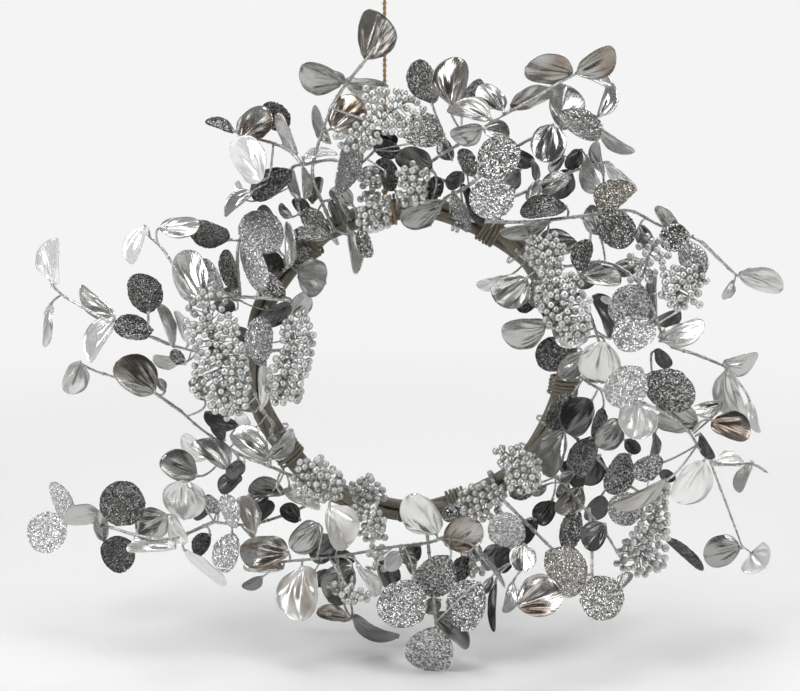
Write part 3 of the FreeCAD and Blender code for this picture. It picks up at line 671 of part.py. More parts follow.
STEMS = {
"top_left_sprig_stems": """
main -63.23,-52.78,225.59 -59.27,-47.47,231.85 -55.42,-41.38,237.42 -50.33,-39.68,244.23
-45.35,-43.79,250.64 -40.36,-48.11,256.92 -35.09,-51.13,263.69 -29.64,-52,270.93
petiole -54.12,-37.18,241.23 -54.27,-37.04,239.96 -54.52,-36.84,238.71
petiole -54.44,-25.14,239.76 -53.86,-29.26,240.05 -53.17,-33.36,240.29
""",
"upper_left_sprig_stems": """
main -89.54,-45.62,178.72 -95.23,-41.3,184.77 -102.57,-37.88,189.38 -111.19,-36.17,192.59
-120.18,-35.46,195.08 -129.25,-34.9,197.37 -137.86,-32.31,199.65 -144.5,-26.03,201.49
petiole -144.81,-22.1,200.92 -144.65,-24.06,201.2 -144.5,-26.03,201.49
petiole -139.2,-43.08,199.07 -138.31,-40.18,199.32 -137.37,-37.3,199.68
petiole -100.42,-25.08,203.82 -99.29,-28.06,200.43 -100.18,-31,196.96 -102.42,-33.62,193.82
-105.1,-36.34,191.12
petiole -119.27,-59.28,166.62 -115.74,-56.47,167.35 -114.19,-53.61,170.81
-113.45,-50.65,174.47 -112.99,-47.5,178.02 -112.63,-44.6,181.8 -112.35,-41.77,185.62
-112.14,-38.91,189.43 -112,-35.85,193.09
petiole -92.35,-44.55,186.25 -92.6,-43.57,185.46 -92.85,-42.59,184.67
""",
"top_right_sprig_stems": """
main 75.77,-49.36,218.79 82.96,-52.79,223.2 90.13,-56.18,227.66 97.19,-59.72,232.2
104.01,-63.53,236.87 110.64,-67.44,241.73 117.47,-70.75,246.73 125.22,-71.27,251.27
133.34,-68.3,254 141.67,-65.06,255.73
petiole 80.09,-52.81,223.09 80.11,-52.38,222.3 80.12,-51.95,221.5
petiole 127.47,-74.96,252.94 126.26,-75.05,252.73 125.04,-75.14,252.52
petiole 131.62,-71.95,254.95 130.67,-71.07,254.37 129.73,-70.18,253.8
petiole 133.71,-46.75,252.82 134.29,-51.4,253.57 135.04,-56.05,254.09 135.97,-60.68,254.48
137.03,-65.29,254.82
""",
"right_upper_sprig_stems": """
main 236.66,-52.08,114.35 241.68,-46.23,109.37 246.72,-40.53,104.24 251.98,-35.32,98.83
257.7,-31.04,93.08 263.85,-27.73,87.13 270.25,-25.13,81.09
petiole 271.77,-26.01,81.28 271.01,-25.57,81.18 270.25,-25.13,81.09
small 268.57,-26.44,76.28 269.48,-25.77,78.66 270.25,-25.13,81.09
""",
"right_middle_sprig_stems": """
main 219.86,-32.79,20.76 228.49,-30.54,17.61 237.37,-29.8,14.46 246.24,-30.34,11.22
254.98,-31.62,7.82 263.56,-33.46,4.28
petiole 261.83,-33.21,6.8 261.48,-33.91,6.34 261.12,-34.6,5.87
petiole 263.23,-36.12,2.38 263.39,-34.79,3.33 263.56,-33.46,4.28
petiole 288.03,-14.78,-31.27 286.41,-16.39,-27.5 284.56,-18.15,-23.9 282.51,-19.96,-20.45
280.31,-21.79,-17.09 278.02,-23.64,-13.81 275.65,-25.51,-10.59 273.17,-27.23,-7.37
270.55,-28.59,-4.11 268,-30.37,-0.99 265.85,-33.13,1.67 263.56,-33.46,4.28
""",
"right_lower_sprig_stems": """
main 253.47,-36.01,-78.95 256.78,-33.51,-87.05 260.1,-31.04,-95.16 263.42,-28.71,-103.3
266.77,-27.03,-111.58 270.13,-26.81,-120.02 273.41,-28.07,-128.41 276.59,-30.09,-136.69
279.7,-32.59,-144.86 282.74,-35.55,-152.91
petiole 281.52,-38.15,-153.79 282.13,-36.85,-153.35 282.74,-35.55,-152.91
petiole 294.21,-15.34,-166.41 292.42,-18.72,-164.08 290.57,-22.08,-161.76
288.66,-25.43,-159.48 286.71,-28.79,-157.25 284.74,-32.17,-155.06 282.74,-35.55,-152.91
""",
"far_left_sprig_stems": """
main -203.45,-36.34,25.48 -208.41,-42.21,29.56 -214.64,-46.58,33.62 -222.57,-47.08,36.94
-230.76,-45.67,39.52 -238.98,-45.04,42.26 -247.12,-44.92,45.31 -254.93,-42.6,48.28
-262.38,-39.52,51.57 -269.74,-36.64,55.19 -277.03,-33.21,58.47 -284.28,-29.62,61.65
-291.28,-28.28,66.44 -296.75,-30.27,72.86
petiole -296.37,-32.31,74.16 -296.56,-31.29,73.51 -296.75,-30.27,72.86
petiole -249,-15.77,43.91 -247.76,-20.31,43.94 -246.8,-24.91,43.98 -246.14,-29.57,43.97
-245.72,-34.26,43.89 -245.42,-38.95,43.88 -245.17,-43.65,43.98
small -300.69,-20.36,55.29 -298.1,-21.63,58.75 -294.98,-23.27,61.56 -291.4,-24.79,63.85
petiole -301.36,-32.54,52.11 -300.05,-30.32,55.7 -297.78,-28.49,59.01 -294.78,-26.61,61.66
-291.4,-24.79,63.85
petiole -244.77,-46.87,48.66 -245.72,-48.11,47.46 -246.7,-49.28,46.21
petiole -214.82,-61.33,57.11 -214.77,-59.85,53.25 -215.06,-58.26,49.45 -215.69,-57.43,45.47
-216.6,-56.25,41.68 -217.5,-53.11,39.17 -218.53,-50.16,36.48
petiole -213.25,-50.55,40.22 -214.5,-50.39,37.77 -216.2,-50.38,35.59
""",
"lower_left_sprig_stems": """
main -167.71,-40.22,-130.24 -175.19,-37.06,-134.45 -182.96,-40.91,-136.75
-188.65,-48.16,-137.27 -193.8,-55.85,-137.28 -200.79,-61.73,-137.22 -209.92,-62.47,-137.18
-218.98,-60.67,-136.74 -227.76,-57.84,-136 -236.31,-54.43,-135 -244.82,-51.11,-133.53
-253.36,-47.98,-131.84 -261.32,-43.39,-131.17 -268.06,-37.12,-132.03 -274.9,-31.04,-133.3
-282.84,-26.4,-134.21 -291.53,-23.26,-134.64
petiole -201.66,-52.29,-122.14 -199.82,-52.83,-126.16 -197.71,-53.15,-130.13
-195.49,-54.01,-133.98 -193.25,-54.96,-137.79
petiole -191.18,-46.85,-153.4 -192.6,-48.2,-149.61 -193.02,-49.43,-145.56
-192.44,-50.73,-141.54 -191.35,-51.82,-137.56
petiole -171.26,-30.19,-144.88 -171.68,-31.31,-139.74 -174.5,-32.74,-135.44
petiole -294.64,-25.13,-134.01 -293.1,-24.17,-134.3 -291.53,-23.26,-134.64
petiole -293.21,-33.99,-131.9 -292.7,-30.54,-133.29 -292.17,-26.93,-134.18
-291.53,-23.26,-134.64
petiole -262.06,-41.7,-123.04 -261.8,-37.87,-125.13 -262.17,-38.82,-128.49
-263.21,-42.4,-130.8
petiole -259.99,-43.83,-145.51 -258.16,-45.87,-142.5 -257,-46.87,-138.67
-255.99,-47.75,-134.75 -255.03,-48.59,-130.82
petiole -229.42,-53.22,-125.36 -229.14,-54.3,-129.08 -230.42,-55.22,-132.62
-232.61,-56,-135.75
petiole -233.4,-59.18,-141.92 -232.54,-57.7,-138.84 -232.61,-56,-135.75
petiole -206.93,-42.57,-122.75 -202.68,-41.28,-122.86 -198.96,-41.95,-125.06
-196.49,-44.88,-127.39 -194.54,-47.78,-130.19 -192.85,-49.76,-133.85 -191.35,-51.82,-137.56
petiole -197.14,-68.68,-143 -197.4,-66.97,-139.73 -199.22,-65.53,-136.78
""",
"crown_left_stems": """
main -71.59,-11.7,111.49 -67.76,-11.7,113.86 -63.86,-11.9,116.1 -66.55,-15.4,123.58
-69.24,-18.9,131.07 -71.93,-22.4,138.56 -74.62,-25.91,146.05 -77.27,-29.41,153.55
-79.52,-32.92,161.17 -80.44,-36.43,169.05 -79.58,-39.79,177.01 -77.68,-43.02,184.85
-75.37,-46.26,192.58 -72.91,-49.54,200.24 -70.25,-52.41,208 -67.31,-54.05,216
-64.2,-54.4,224.11
main -88.34,-46.12,176.7 -80.59,-41.88,177.82 -73.12,-37.12,178.67 -65.72,-32.19,178.74
-58.37,-27.63,176.81 -51.05,-24.35,172.99 -42.69,-22.44,173.42 -35.71,-20.91,178.67
-29.47,-19.36,184.83
main -90.67,-41.14,134.65 -92.48,-33.7,139.83 -94.53,-27.85,146.62 -96.61,-24.92,155.08
-98.01,-25.73,164.08 -97.18,-31.14,171.33 -93.53,-38.64,175.14 -88.34,-46.12,176.7
petiole -64.39,-52.68,206.96 -67.84,-55.85,206.33 -71.21,-52.75,205.93
petiole -65.41,-49.11,195.09 -69.78,-47.99,195.87 -73.68,-46.95,198.18
petiole -87.47,-45.74,183.17 -87.24,-45.79,180.03 -85.94,-46,177.16
petiole -56.97,-71.83,157.39 -57.27,-67.82,155.11 -57.46,-63.83,152.77 -57.5,-59.8,150.51
-57.38,-55.77,148.24 -57.12,-51.74,145.97 -56.76,-47.69,143.77 -56.22,-43.72,141.46
-55.59,-39.73,139.21 -54.98,-35.63,137.15 -54.36,-31.48,135.2 -53.75,-27.29,133.35
-53.06,-23.12,131.47 -52.02,-19.19,129.26 -50.87,-15.31,127.02 -49.7,-11.4,124.85
petiole -8.92,-23.78,185.51 -12.67,-22.5,184.59 -16.85,-21.6,184.57 -21.06,-20.89,184.64
-25.27,-20.11,184.73 -29.47,-19.36,184.83
petiole -21.17,-35.61,165.95 -20.77,-32.48,168.41 -23.44,-29.92,170.56 -26.57,-27.75,172.52
-29.8,-25.63,174.37 -33.05,-23.47,176.14 -36.24,-21.12,177.78
petiole -91.97,-28.05,144.75 -93.04,-27.23,144.45 -94.1,-26.41,144.15
petiole -86.61,-37.05,148.01 -83.86,-33.26,148.3 -81.53,-29.57,150.08
petiole -82,-11.73,139.33 -81.12,-12.62,139.7 -80.24,-13.51,140.06
petiole -84.87,-25.33,127.54 -80.96,-24.32,127.65 -77.83,-22.92,129.83 -75.32,-21.52,132.75
small -97.6,-33.93,131.65 -94.03,-36.12,133.18 -91.34,-37.61,136.44
petiole -70.55,-33.72,127.44 -70.49,-31.27,127.89 -70.43,-28.81,128.3
petiole -66.43,-36.83,116.34 -65.25,-34.1,119.68 -66.65,-31.59,123.22 -68.82,-29.26,126.51
petiole -98.8,-32.93,170.45 -98.86,-31.65,171.07 -98.92,-30.36,171.69
petiole -129.19,-46.61,154.63 -126.05,-43.87,156.32 -122.4,-41.85,157.98
-118.85,-39.5,159.23 -116.89,-35.47,159.41 -113.39,-32.93,160.26 -109.52,-30.85,161.2
-105.86,-28.34,161.91 -102.28,-25.68,162.5 -98.55,-23.23,163.1
small -138.21,-25.18,145.91 -134.48,-26.36,143.88 -130.09,-26.57,143.49
-125.71,-26.39,144.21 -121.44,-26.1,145.4 -117.26,-25.74,146.85 -113.14,-25.33,148.46
-109.06,-24.9,150.19 -105.03,-24.45,152 -101.04,-23.98,153.88 -97.06,-23.5,155.81
petiole 17.32,-26.57,169.42 19.92,-24.82,165.98 21.04,-23.53,161.66 20.92,-22.58,157.09
20.13,-21.75,152.57 18.94,-21.67,148.05 17.65,-20.41,143.78 16.45,-18,139.96
15.33,-15.14,136.44 14.58,-11.4,133.76
petiole 26.47,-52.69,202.91 24.02,-49.93,200.43 20.35,-47.69,198.98 16.59,-45.47,197.73
12.72,-43.4,196.55 8.91,-41.21,195.4 5.14,-38.94,194.29 1.25,-36.86,193.19
-2.61,-34.71,192.12 -6.38,-32.42,191.05 -10.27,-30.32,190 -14.16,-28.22,188.95
-17.94,-25.93,187.91 -21.77,-23.72,186.88 -25.56,-21.44,185.85 -29.47,-19.36,184.83
petiole -33.65,-10.23,198.38 -35.25,-12.97,195.21 -33.97,-16.25,192.13 -31.92,-18.71,188.78
-29.47,-19.36,184.83
petiole -66.71,-21.36,143.56 -71.19,-19.95,142.55 -74.32,-19.73,138.74 -76.78,-19.55,134.44
petiole -48.25,-35.27,141.88 -46.98,-31.2,139.7 -46.04,-27.17,137.29 -45.46,-23.22,134.65
-45.22,-19.36,131.82 -45.24,-15.5,128.98 -45.41,-11.4,126.51
petiole -13.08,-9.7,149.9 -11.64,-11.08,145.7 -11.09,-13.41,141.71 -11.37,-14.51,137.36
-11.83,-11.4,134.04
petiole -40.34,-25.04,117.41 -44.19,-23.69,114.88 -48.44,-21.82,113.72 -52.71,-19.62,113.85
-56.98,-17.63,114.82 -61.2,-15.93,116.39 -64.69,-12.93,117.61
stalk -27.17,-90.42,216.32 -30.21,-87.37,216.94 -33.27,-84.34,217.58 -36.35,-81.32,218.23
-39.43,-78.31,218.87 -42.51,-75.31,219.52 -45.59,-72.31,220.17 -48.68,-69.31,220.82
-51.78,-66.32,221.47 -54.88,-63.33,222.13 -57.98,-60.35,222.79 -61.09,-57.37,223.45
-64.2,-54.4,224.11
stalk -33.27,-46.74,163.28 -35.98,-44.33,166.14 -37.89,-40.46,167.75 -39.2,-36.08,168.53
-40.44,-31.66,169.22 -41.78,-27.28,170.04 -43.04,-22.87,170.75
stalk -30.28,-59.23,138.16 -30.44,-54.84,138.06 -30.51,-50.48,137.42 -30.58,-46.14,136.69
-30.65,-41.8,135.96 -30.71,-37.45,135.23 -30.78,-33.11,134.5 -30.85,-28.77,133.77
-30.91,-24.43,133.05 -30.98,-20.08,132.32 -31.04,-15.74,131.59 -31.11,-11.4,130.86
""",
"crown_right_stems": """
main -8.23,-11.7,132.24 -5.74,-11.7,132.38 -3.24,-11.9,132.46 -1.61,-12.49,141.18
0.32,-13.24,149.82 3.4,-14.63,158.02 7.98,-16.82,165.3 13.61,-18.99,171.81
20.11,-20.6,177.66 27,-22.83,182.77 33.16,-27.38,187.19 37.87,-33.85,191.01
41.67,-41.05,194.58 45.15,-48.42,198.11 48.66,-55.74,201.73 52.77,-62.53,205.69
58.73,-66.74,210.48 65.55,-63.51,214.55 70.25,-56.27,216.5 73.96,-48.28,217.65
main 13.44,-11.7,131.82 17.91,-11.7,131.28 22.36,-11.9,130.6 24.81,-16.72,137.93
27.46,-22.94,143.98 30.31,-30.63,147.91 33.52,-38.57,151.01 37.28,-46.19,154.29
41.34,-53.52,157.87 45.18,-60.89,161.61 49.13,-67.94,165.79 55.16,-70.93,171.3
60.59,-64.88,174.82 64.04,-56.58,176.25 66.96,-48,177.17 69.83,-39.39,178.03
72.83,-30.84,178.99 76.58,-22.71,180.55 82.65,-17.32,184.15 89.89,-18.68,189.23
96.31,-23.37,193.64 102.58,-28.82,197.39 109.75,-33.29,200.67 118.37,-33.88,203.14
126.89,-31.07,204.64 135.4,-28.4,206.4 143.82,-28.26,209.7 151.27,-30.54,214.4
main 38.72,-11.7,126.72 43,-11.7,125.33 47.23,-11.9,123.8 53.4,-15.12,129.66
59.71,-19.32,134.68 65.85,-24.66,138.74 71.82,-30.44,142.45 78.42,-35.38,146.24
86.41,-37.13,150 94.72,-35.49,153.27 102.95,-33.33,156.49 111.18,-31.33,159.81
119.2,-28.3,162.84 127.03,-24.51,165.53 135.24,-21.83,168.29 143.8,-22.03,171.21
151.94,-24.96,173.95 159.61,-29.18,176.45
petiole 17.35,-11.16,221.63 18.8,-12.63,217.65 20.34,-13.73,213.58 21.95,-14.75,209.52
23.6,-15.76,205.47 25.28,-16.76,201.43 26.97,-17.77,197.4 28.68,-18.77,193.38
30.4,-19.78,189.36 32.13,-20.78,185.34
petiole 31.49,-38.49,224.42 31.94,-40.08,220.13 33.19,-41.94,216.12 35.15,-43.61,212.31
37.49,-45.34,208.75 40.14,-46.77,205.28 42.95,-48.29,201.97 45.86,-49.89,198.79
petiole 45.12,-14.99,226.24 43.45,-17.82,222.97 42.34,-20.72,219.54 41.7,-23.64,216
41.37,-26.71,212.55 41.25,-29.79,209.09 41.3,-32.69,205.47 41.47,-35.69,201.95
41.74,-38.63,198.37 42.09,-41.6,194.83
petiole 74.46,-36.81,220.95 74.71,-40.63,219.81 74.52,-44.48,218.77 73.96,-48.28,217.65
petiole 62.49,-72.42,218.56 63.76,-71.46,216.98 64.96,-70.49,215.35
petiole 55.97,-78.85,211.5 57.36,-77.37,211.79 58.79,-75.94,212.11
petiole 57.44,-81.47,211.88 58.13,-78.71,212.01 58.79,-75.94,212.11
petiole 52.47,-96.13,179.17 52.77,-92.39,177.4 53.49,-88.6,175.9 54.46,-84.78,174.62
55.5,-80.95,173.4
petiole 49.89,-80.83,173.45 50.91,-80.53,171.81 51.93,-80.21,170.17
petiole 114.43,-46.96,209.38 113.66,-44.61,206.51 112.88,-42.54,203.45
small 140.05,-16.42,184.38 143.12,-17.23,180.99 143.69,-18.4,176.26 143.78,-19.59,171.49
small 126.19,-5.35,177.67 129.98,-7.67,177.34 132.18,-10.34,174.3 133.69,-13.04,170.86
134.91,-15.95,167.48
small 102.52,-30.21,160.91 103.67,-30.59,158.84 104.88,-30.98,156.8
petiole 131.24,-17.44,167.93 131.82,-18.3,167.49 132.4,-19.15,167.05
petiole 129.79,-36.87,164.51 129.59,-33.03,165.27 128.75,-29.24,165.74 127.41,-25.57,166.12
small 103.63,-38.05,163.05 106.49,-37.02,161.85 108.94,-36.43,159.76
petiole 158.62,-16.44,164.43 156.42,-19.06,167.3 154.64,-21.32,170.75 152.95,-23.54,174.25
petiole 153.57,-46.9,154.68 156.29,-43.96,156.37 156.85,-41.17,160.19 157.03,-38.57,164.19
157.09,-36.06,168.25 157.11,-33.32,172.17 157.07,-30.78,176.21
petiole 159.36,-31.72,176.86 159.49,-30.45,176.65 159.61,-29.18,176.45
petiole 151.92,-25.93,203.94 149.56,-25.1,205.9 147.26,-24.41,207.97
petiole 120.91,-36.28,206.23 120.68,-35.45,205.22 120.45,-34.62,204.22
petiole 122.42,-44.91,221.23 120.43,-42.21,219.07 120.44,-40.27,215.42 121.1,-38.4,211.78
121.95,-36.7,208.09 122.83,-34.5,204.69
petiole 153.26,-35.29,215.06 152.3,-32.92,214.6 151.27,-30.54,214.4
petiole 90.79,-3.92,165.72 91.39,-4.48,169.74 89.79,-5.3,173.42 87.02,-6.23,176.34
83.84,-7.18,178.81 80.45,-7.93,181.07
small 33.91,-17.03,176.18 31.99,-17.69,180.06 29.93,-18.04,183.91
petiole 77.74,-11.47,183.62 77.93,-12.89,182.06 78.24,-14.26,180.47
""",
"right_upper_stems": """
main 34.36,-11.7,127.97 38.69,-11.7,126.73 42.97,-11.9,125.34 50.75,-16.15,125.15
58.98,-19.44,125.19 67.42,-22.16,125.42 75.68,-25.34,125.82 83.53,-29.41,126.5
90.81,-34.36,127.51 97.17,-40.36,128.9 102.12,-47.5,130.6 105.97,-55.27,132.47
110.5,-62.61,134.41 117.87,-66.93,136.15 126.59,-67.72,137.39 135.35,-68.25,138.64
144.05,-69.26,140.04 152.75,-68.43,141.18 160.17,-63.74,141.43 165.78,-56.91,140.91
170.65,-49.56,139.98 175.42,-42.19,138.71 180.23,-34.96,136.92 185.24,-28.11,134.35
190.98,-22.48,130.7 198.12,-19.98,126.28 205.79,-22.09,122.65 212.38,-27.66,120.84
217.63,-34.76,120.26 222.68,-42.03,119.7 228.58,-48.44,118.13 235.24,-53.65,115.48
main 87.3,-11.7,99.68 90.63,-11.7,96.66 93.86,-11.9,93.52 98.94,-18.94,91.79
104.82,-25.5,91 111.62,-31.15,90.78 119.55,-35.02,90.74 128.3,-35.93,91
136.74,-33.5,91.54 144.26,-28.87,92.03 151.96,-24.57,92.22 160.57,-24.8,91.95
167.33,-30.33,91.14 172.24,-37.59,89.96 176.23,-45.36,88.51 179.66,-53.35,86.84
182.95,-61.24,84.56 186.86,-67.88,80.37 191.4,-70.72,73.48 195.39,-69.61,65.71
198.61,-66.08,58.28 201.24,-60.89,51.62 203.54,-54.94,45.48 205.85,-48.92,39.4
208.57,-43.15,33.27 212.51,-38.01,27.24 217.84,-33.78,21.59
main 112.89,-11.7,69.36 115.18,-11.7,65.49 117.34,-11.9,61.54 123.11,-18.98,62.1
130.14,-24.81,62.64 137.37,-30.35,61.94 143.04,-36.83,58.98 146.6,-43.93,54.44
148.82,-51.23,49.38 150.58,-58.53,44.14 152.28,-65.68,38.66 153.99,-72.67,32.99
petiole 24.05,-24.44,139.93 24.62,-20.01,137.58 24.33,-15.71,134.96 23.68,-11.4,132.41
petiole 26.59,-16.47,159.43 30.9,-15.25,158.24 33.8,-14.31,154.7 35.77,-13.96,150.45
37.35,-13.95,146.01 38.69,-13.86,141.49 39.88,-14.35,136.96 40.94,-15.38,132.48
41.92,-15.63,127.93 42.63,-12.79,124.35
small 43.02,-17.88,166.33 46.34,-17.25,163.78 47.34,-16.55,159.54 47.75,-14.93,155.44
47.98,-13.75,151.21 48.04,-14.71,146.91 48,-15.94,142.66 47.92,-16.8,138.31
47.81,-17.07,133.89 47.66,-17.27,129.47 47.5,-17.26,125.04
petiole 35.57,-54.39,155.98 34.65,-49.85,156.02 33.73,-45.59,154.47 33.28,-41.63,152.08
33.05,-37.83,149.41 32.89,-34.06,146.7 32.81,-30.21,144.09 32.74,-26.46,141.34
32.7,-22.69,138.63 32.68,-18.87,135.97 32.66,-15.17,133.17 32.67,-11.4,130.44
petiole 42.25,-18.34,156.41 41.26,-17.98,152.67 41.72,-17.04,148.09 42.32,-16.7,143.43
42.96,-16.26,138.78 43.64,-16.04,134.12 44.34,-16.1,129.47 45.05,-15.76,124.83
petiole 78.52,-112.82,167.71 79.87,-108.66,167.02 80.72,-104.59,165.54 80.82,-100.69,163.45
80.47,-96.85,161.29 79.98,-92.98,159.18 79.5,-89.05,157.2 79.01,-85.09,155.29
78.41,-81.2,153.26 77.75,-77.34,151.19 77.07,-73.49,149.11 76.42,-69.6,147.09
75.83,-65.65,145.19 75.21,-61.71,143.26 74.49,-57.85,141.21 73.74,-54.01,139.15
73,-50.16,137.08 72.3,-46.26,135.1 71.67,-42.31,133.21 70.96,-38.42,131.22
70.17,-34.58,129.15 69.37,-30.76,127.07 68.58,-26.92,125.01 67.88,-23.01,123.06
67.19,-19.08,121.13 66.41,-15.23,119.1 65.59,-11.4,117.03
petiole 124.82,-63.86,146.21 126.79,-64.16,141.71 125.94,-65.34,136.83
petiole 111.2,-77.07,135.6 112.23,-75.81,136.29 113.23,-74.56,137.04
petiole 105.71,-29.08,119.03 105.65,-32.66,122.68 103.66,-36.15,125.89 101.08,-39.5,128.84
petiole 137.29,-28.63,108.86 141.47,-28.35,106.47 143.39,-28.97,102.07 143.86,-29.32,97.2
143.74,-30.05,92.36
petiole 77.62,-39.29,82.44 80.53,-36.22,82.86 83.49,-33.26,83.63 86.32,-30.29,84.75
88.97,-27.26,86.12 91.45,-24.19,87.71 93.75,-21.07,89.46 95.94,-17.94,91.33
petiole 95.05,-50.96,84.11 97.5,-47.8,85.24 99.84,-44.53,86.26 102.3,-41.38,87.41
104.76,-38.25,88.57 107.14,-35,89.63 109.67,-31.96,90.88
petiole 103.79,-33.23,66.73 106.28,-29.8,66.23 108.76,-26.69,64.72 110.92,-23.82,62.41
112.92,-21.17,59.73
petiole 116.97,-41.18,87.05 116.81,-39.66,88.9 116.56,-38.17,90.76
petiole 145.57,-54.98,116.58 145.9,-56.67,120.69 145.21,-58.2,124.81 143.49,-59.77,128.61
141.16,-61.44,132.03 138.44,-63.13,135.14 135.6,-65.04,138
petiole 113.02,-50.09,41.8 114.6,-45.82,40.94 116.18,-41.54,40.12 117.83,-37.28,39.39
119.53,-33.01,38.73 121.09,-28.7,38.08 122.63,-24.37,37.47 124.27,-20.07,36.95
125.89,-15.76,36.47 127.37,-11.4,35.94
petiole 145.02,-60.87,42.71 147.87,-59.99,43.42 150.72,-59.08,44.1
petiole 129.29,-35.05,26.2 129.53,-30.32,24.99 129.77,-25.59,23.78 130.01,-20.86,22.56
130.23,-16.13,21.35 130.45,-11.4,20.14
petiole 139.43,-67.2,89.27 138.11,-62.69,89.17 137.15,-58.08,89.33 136.54,-53.44,89.76
136.18,-48.78,90.35 136.03,-44.13,91.02 135.99,-39.48,91.74
petiole 151.37,-73.42,144.69 151.42,-74.13,143.4 151.47,-74.84,142.11
petiole 155.43,-81.05,146.08 154.46,-78.58,144.57 153.71,-76.22,142.79
petiole 217.94,-42.36,115.76 219.01,-41.09,118.08 219.39,-39.99,120.69
petiole 226.76,-55.07,119.9 228.22,-53.82,119.89 229.66,-52.56,119.88
petiole 222.52,-74.76,120.47 223.51,-70.19,120.78 224.76,-65.68,120.87 226.3,-61.27,120.68
227.96,-56.9,120.32 229.66,-52.56,119.88
petiole 200.61,-54.04,45.29 202.07,-53.22,45.65 203.5,-52.4,46.11
petiole 223.64,-32.75,53.01 222.23,-36.54,53.23 219.19,-39.3,52.13 215.97,-41.77,50.82
212.9,-44.52,49.7 209.84,-47.27,48.59 206.62,-49.75,47.29 203.5,-52.4,46.11
petiole 188.68,-78.02,81.7 188.21,-76.3,81.42 187.73,-74.58,81.14
petiole 194,-86.96,57.3 195.36,-83.05,57.34 196.6,-79.09,57.37 197.73,-75.11,57.5
198.86,-71.13,57.79
petiole 204.44,-52.17,34.68 205.21,-50.93,36.41 206.08,-49.75,38.13
petiole 207.04,-38.89,28 207.9,-39.74,29.54 208.78,-40.7,31.02
small 160.52,-88.37,70.84 164.55,-87.44,70.04 168.44,-85.9,70.46 172.1,-84.68,72.13
175.47,-83.95,74.56 178.59,-83.2,77.31 181.44,-81.45,79.79 183.53,-78.03,81.05
186.04,-75.59,83.3
petiole 166.85,-41.2,31.99 165.14,-45.27,31.57 162.38,-48.49,32.94 159.54,-51.3,35
156.81,-54.1,37.22 154.11,-56.86,39.51 151.46,-59.65,41.83
petiole 157.77,-17.16,90.46 157.39,-16.63,91.49 157.01,-16.1,92.51
petiole 190.28,-24.32,91.95 188.07,-28,91.89 184.36,-30.54,91.39 180.75,-33.24,91
176.99,-35.71,90.53 173.33,-38.33,90.13
petiole 156.66,-23.18,114.52 158.01,-22.55,110.19 159.19,-21.77,105.83 160.17,-21.01,101.42
160.98,-20.23,96.98 161.68,-19.17,92.58
petiole 124.47,-28.29,43.42 124.97,-24.07,42.38 125.46,-19.84,41.34 125.96,-15.62,40.31
126.46,-11.4,39.27
petiole 190.31,-16.57,121.68 192.09,-15.16,124.83 195.09,-13.72,126.85
stalk -0.11,-68.53,165.47 -0.13,-64.44,163.28 -0.14,-60.33,161.13 -0.16,-56.2,159
-0.17,-52.08,156.87 -0.19,-47.99,154.68 -0.21,-43.98,152.35 -0.23,-39.93,150.08
-0.25,-35.83,147.92 -0.26,-31.72,145.76 -0.28,-27.62,143.59 -0.29,-23.53,141.39
-0.31,-19.52,139.06 -0.33,-15.5,136.74 -0.35,-11.4,134.57
stalk 106.86,-91.65,113.8 107.45,-89.03,117.19 108.05,-86.36,120.53 108.64,-83.46,123.69
109.24,-80.44,126.73 109.83,-77.14,129.46 110.42,-74.05,132.4 110.93,-73.15,136.49
stalk 120.12,-112.31,74.45 117.84,-108.91,72.54 117.58,-104.56,71.27 117.83,-100.12,70.21
118.1,-95.69,69.15 118.37,-91.25,68.1 118.64,-86.81,67.04 118.91,-82.38,65.98
119.18,-77.94,64.93 119.45,-73.51,63.87 119.72,-69.07,62.82 119.99,-64.63,61.76
120.26,-60.2,60.71 120.53,-55.76,59.65 120.8,-51.32,58.6 121.06,-46.89,57.54
121.33,-42.45,56.49 121.6,-38.02,55.43 121.87,-33.58,54.38 122.14,-29.14,53.32
122.41,-24.71,52.27 122.68,-20.27,51.21 122.95,-15.84,50.16 123.22,-11.4,49.1
stalk 191.72,-72.77,104.89 190.41,-72.16,100.75 189.05,-71.84,96.6 187.67,-71.6,92.44
186.33,-71.16,88.29 184.98,-70.74,84.14
stalk 217.38,-87.15,84.81 213.79,-85.08,83.34 210.16,-83.08,81.87 206.54,-81.07,80.4
202.9,-79.08,78.93 199.27,-77.09,77.47 195.63,-75.11,76 191.98,-73.14,74.53
""",
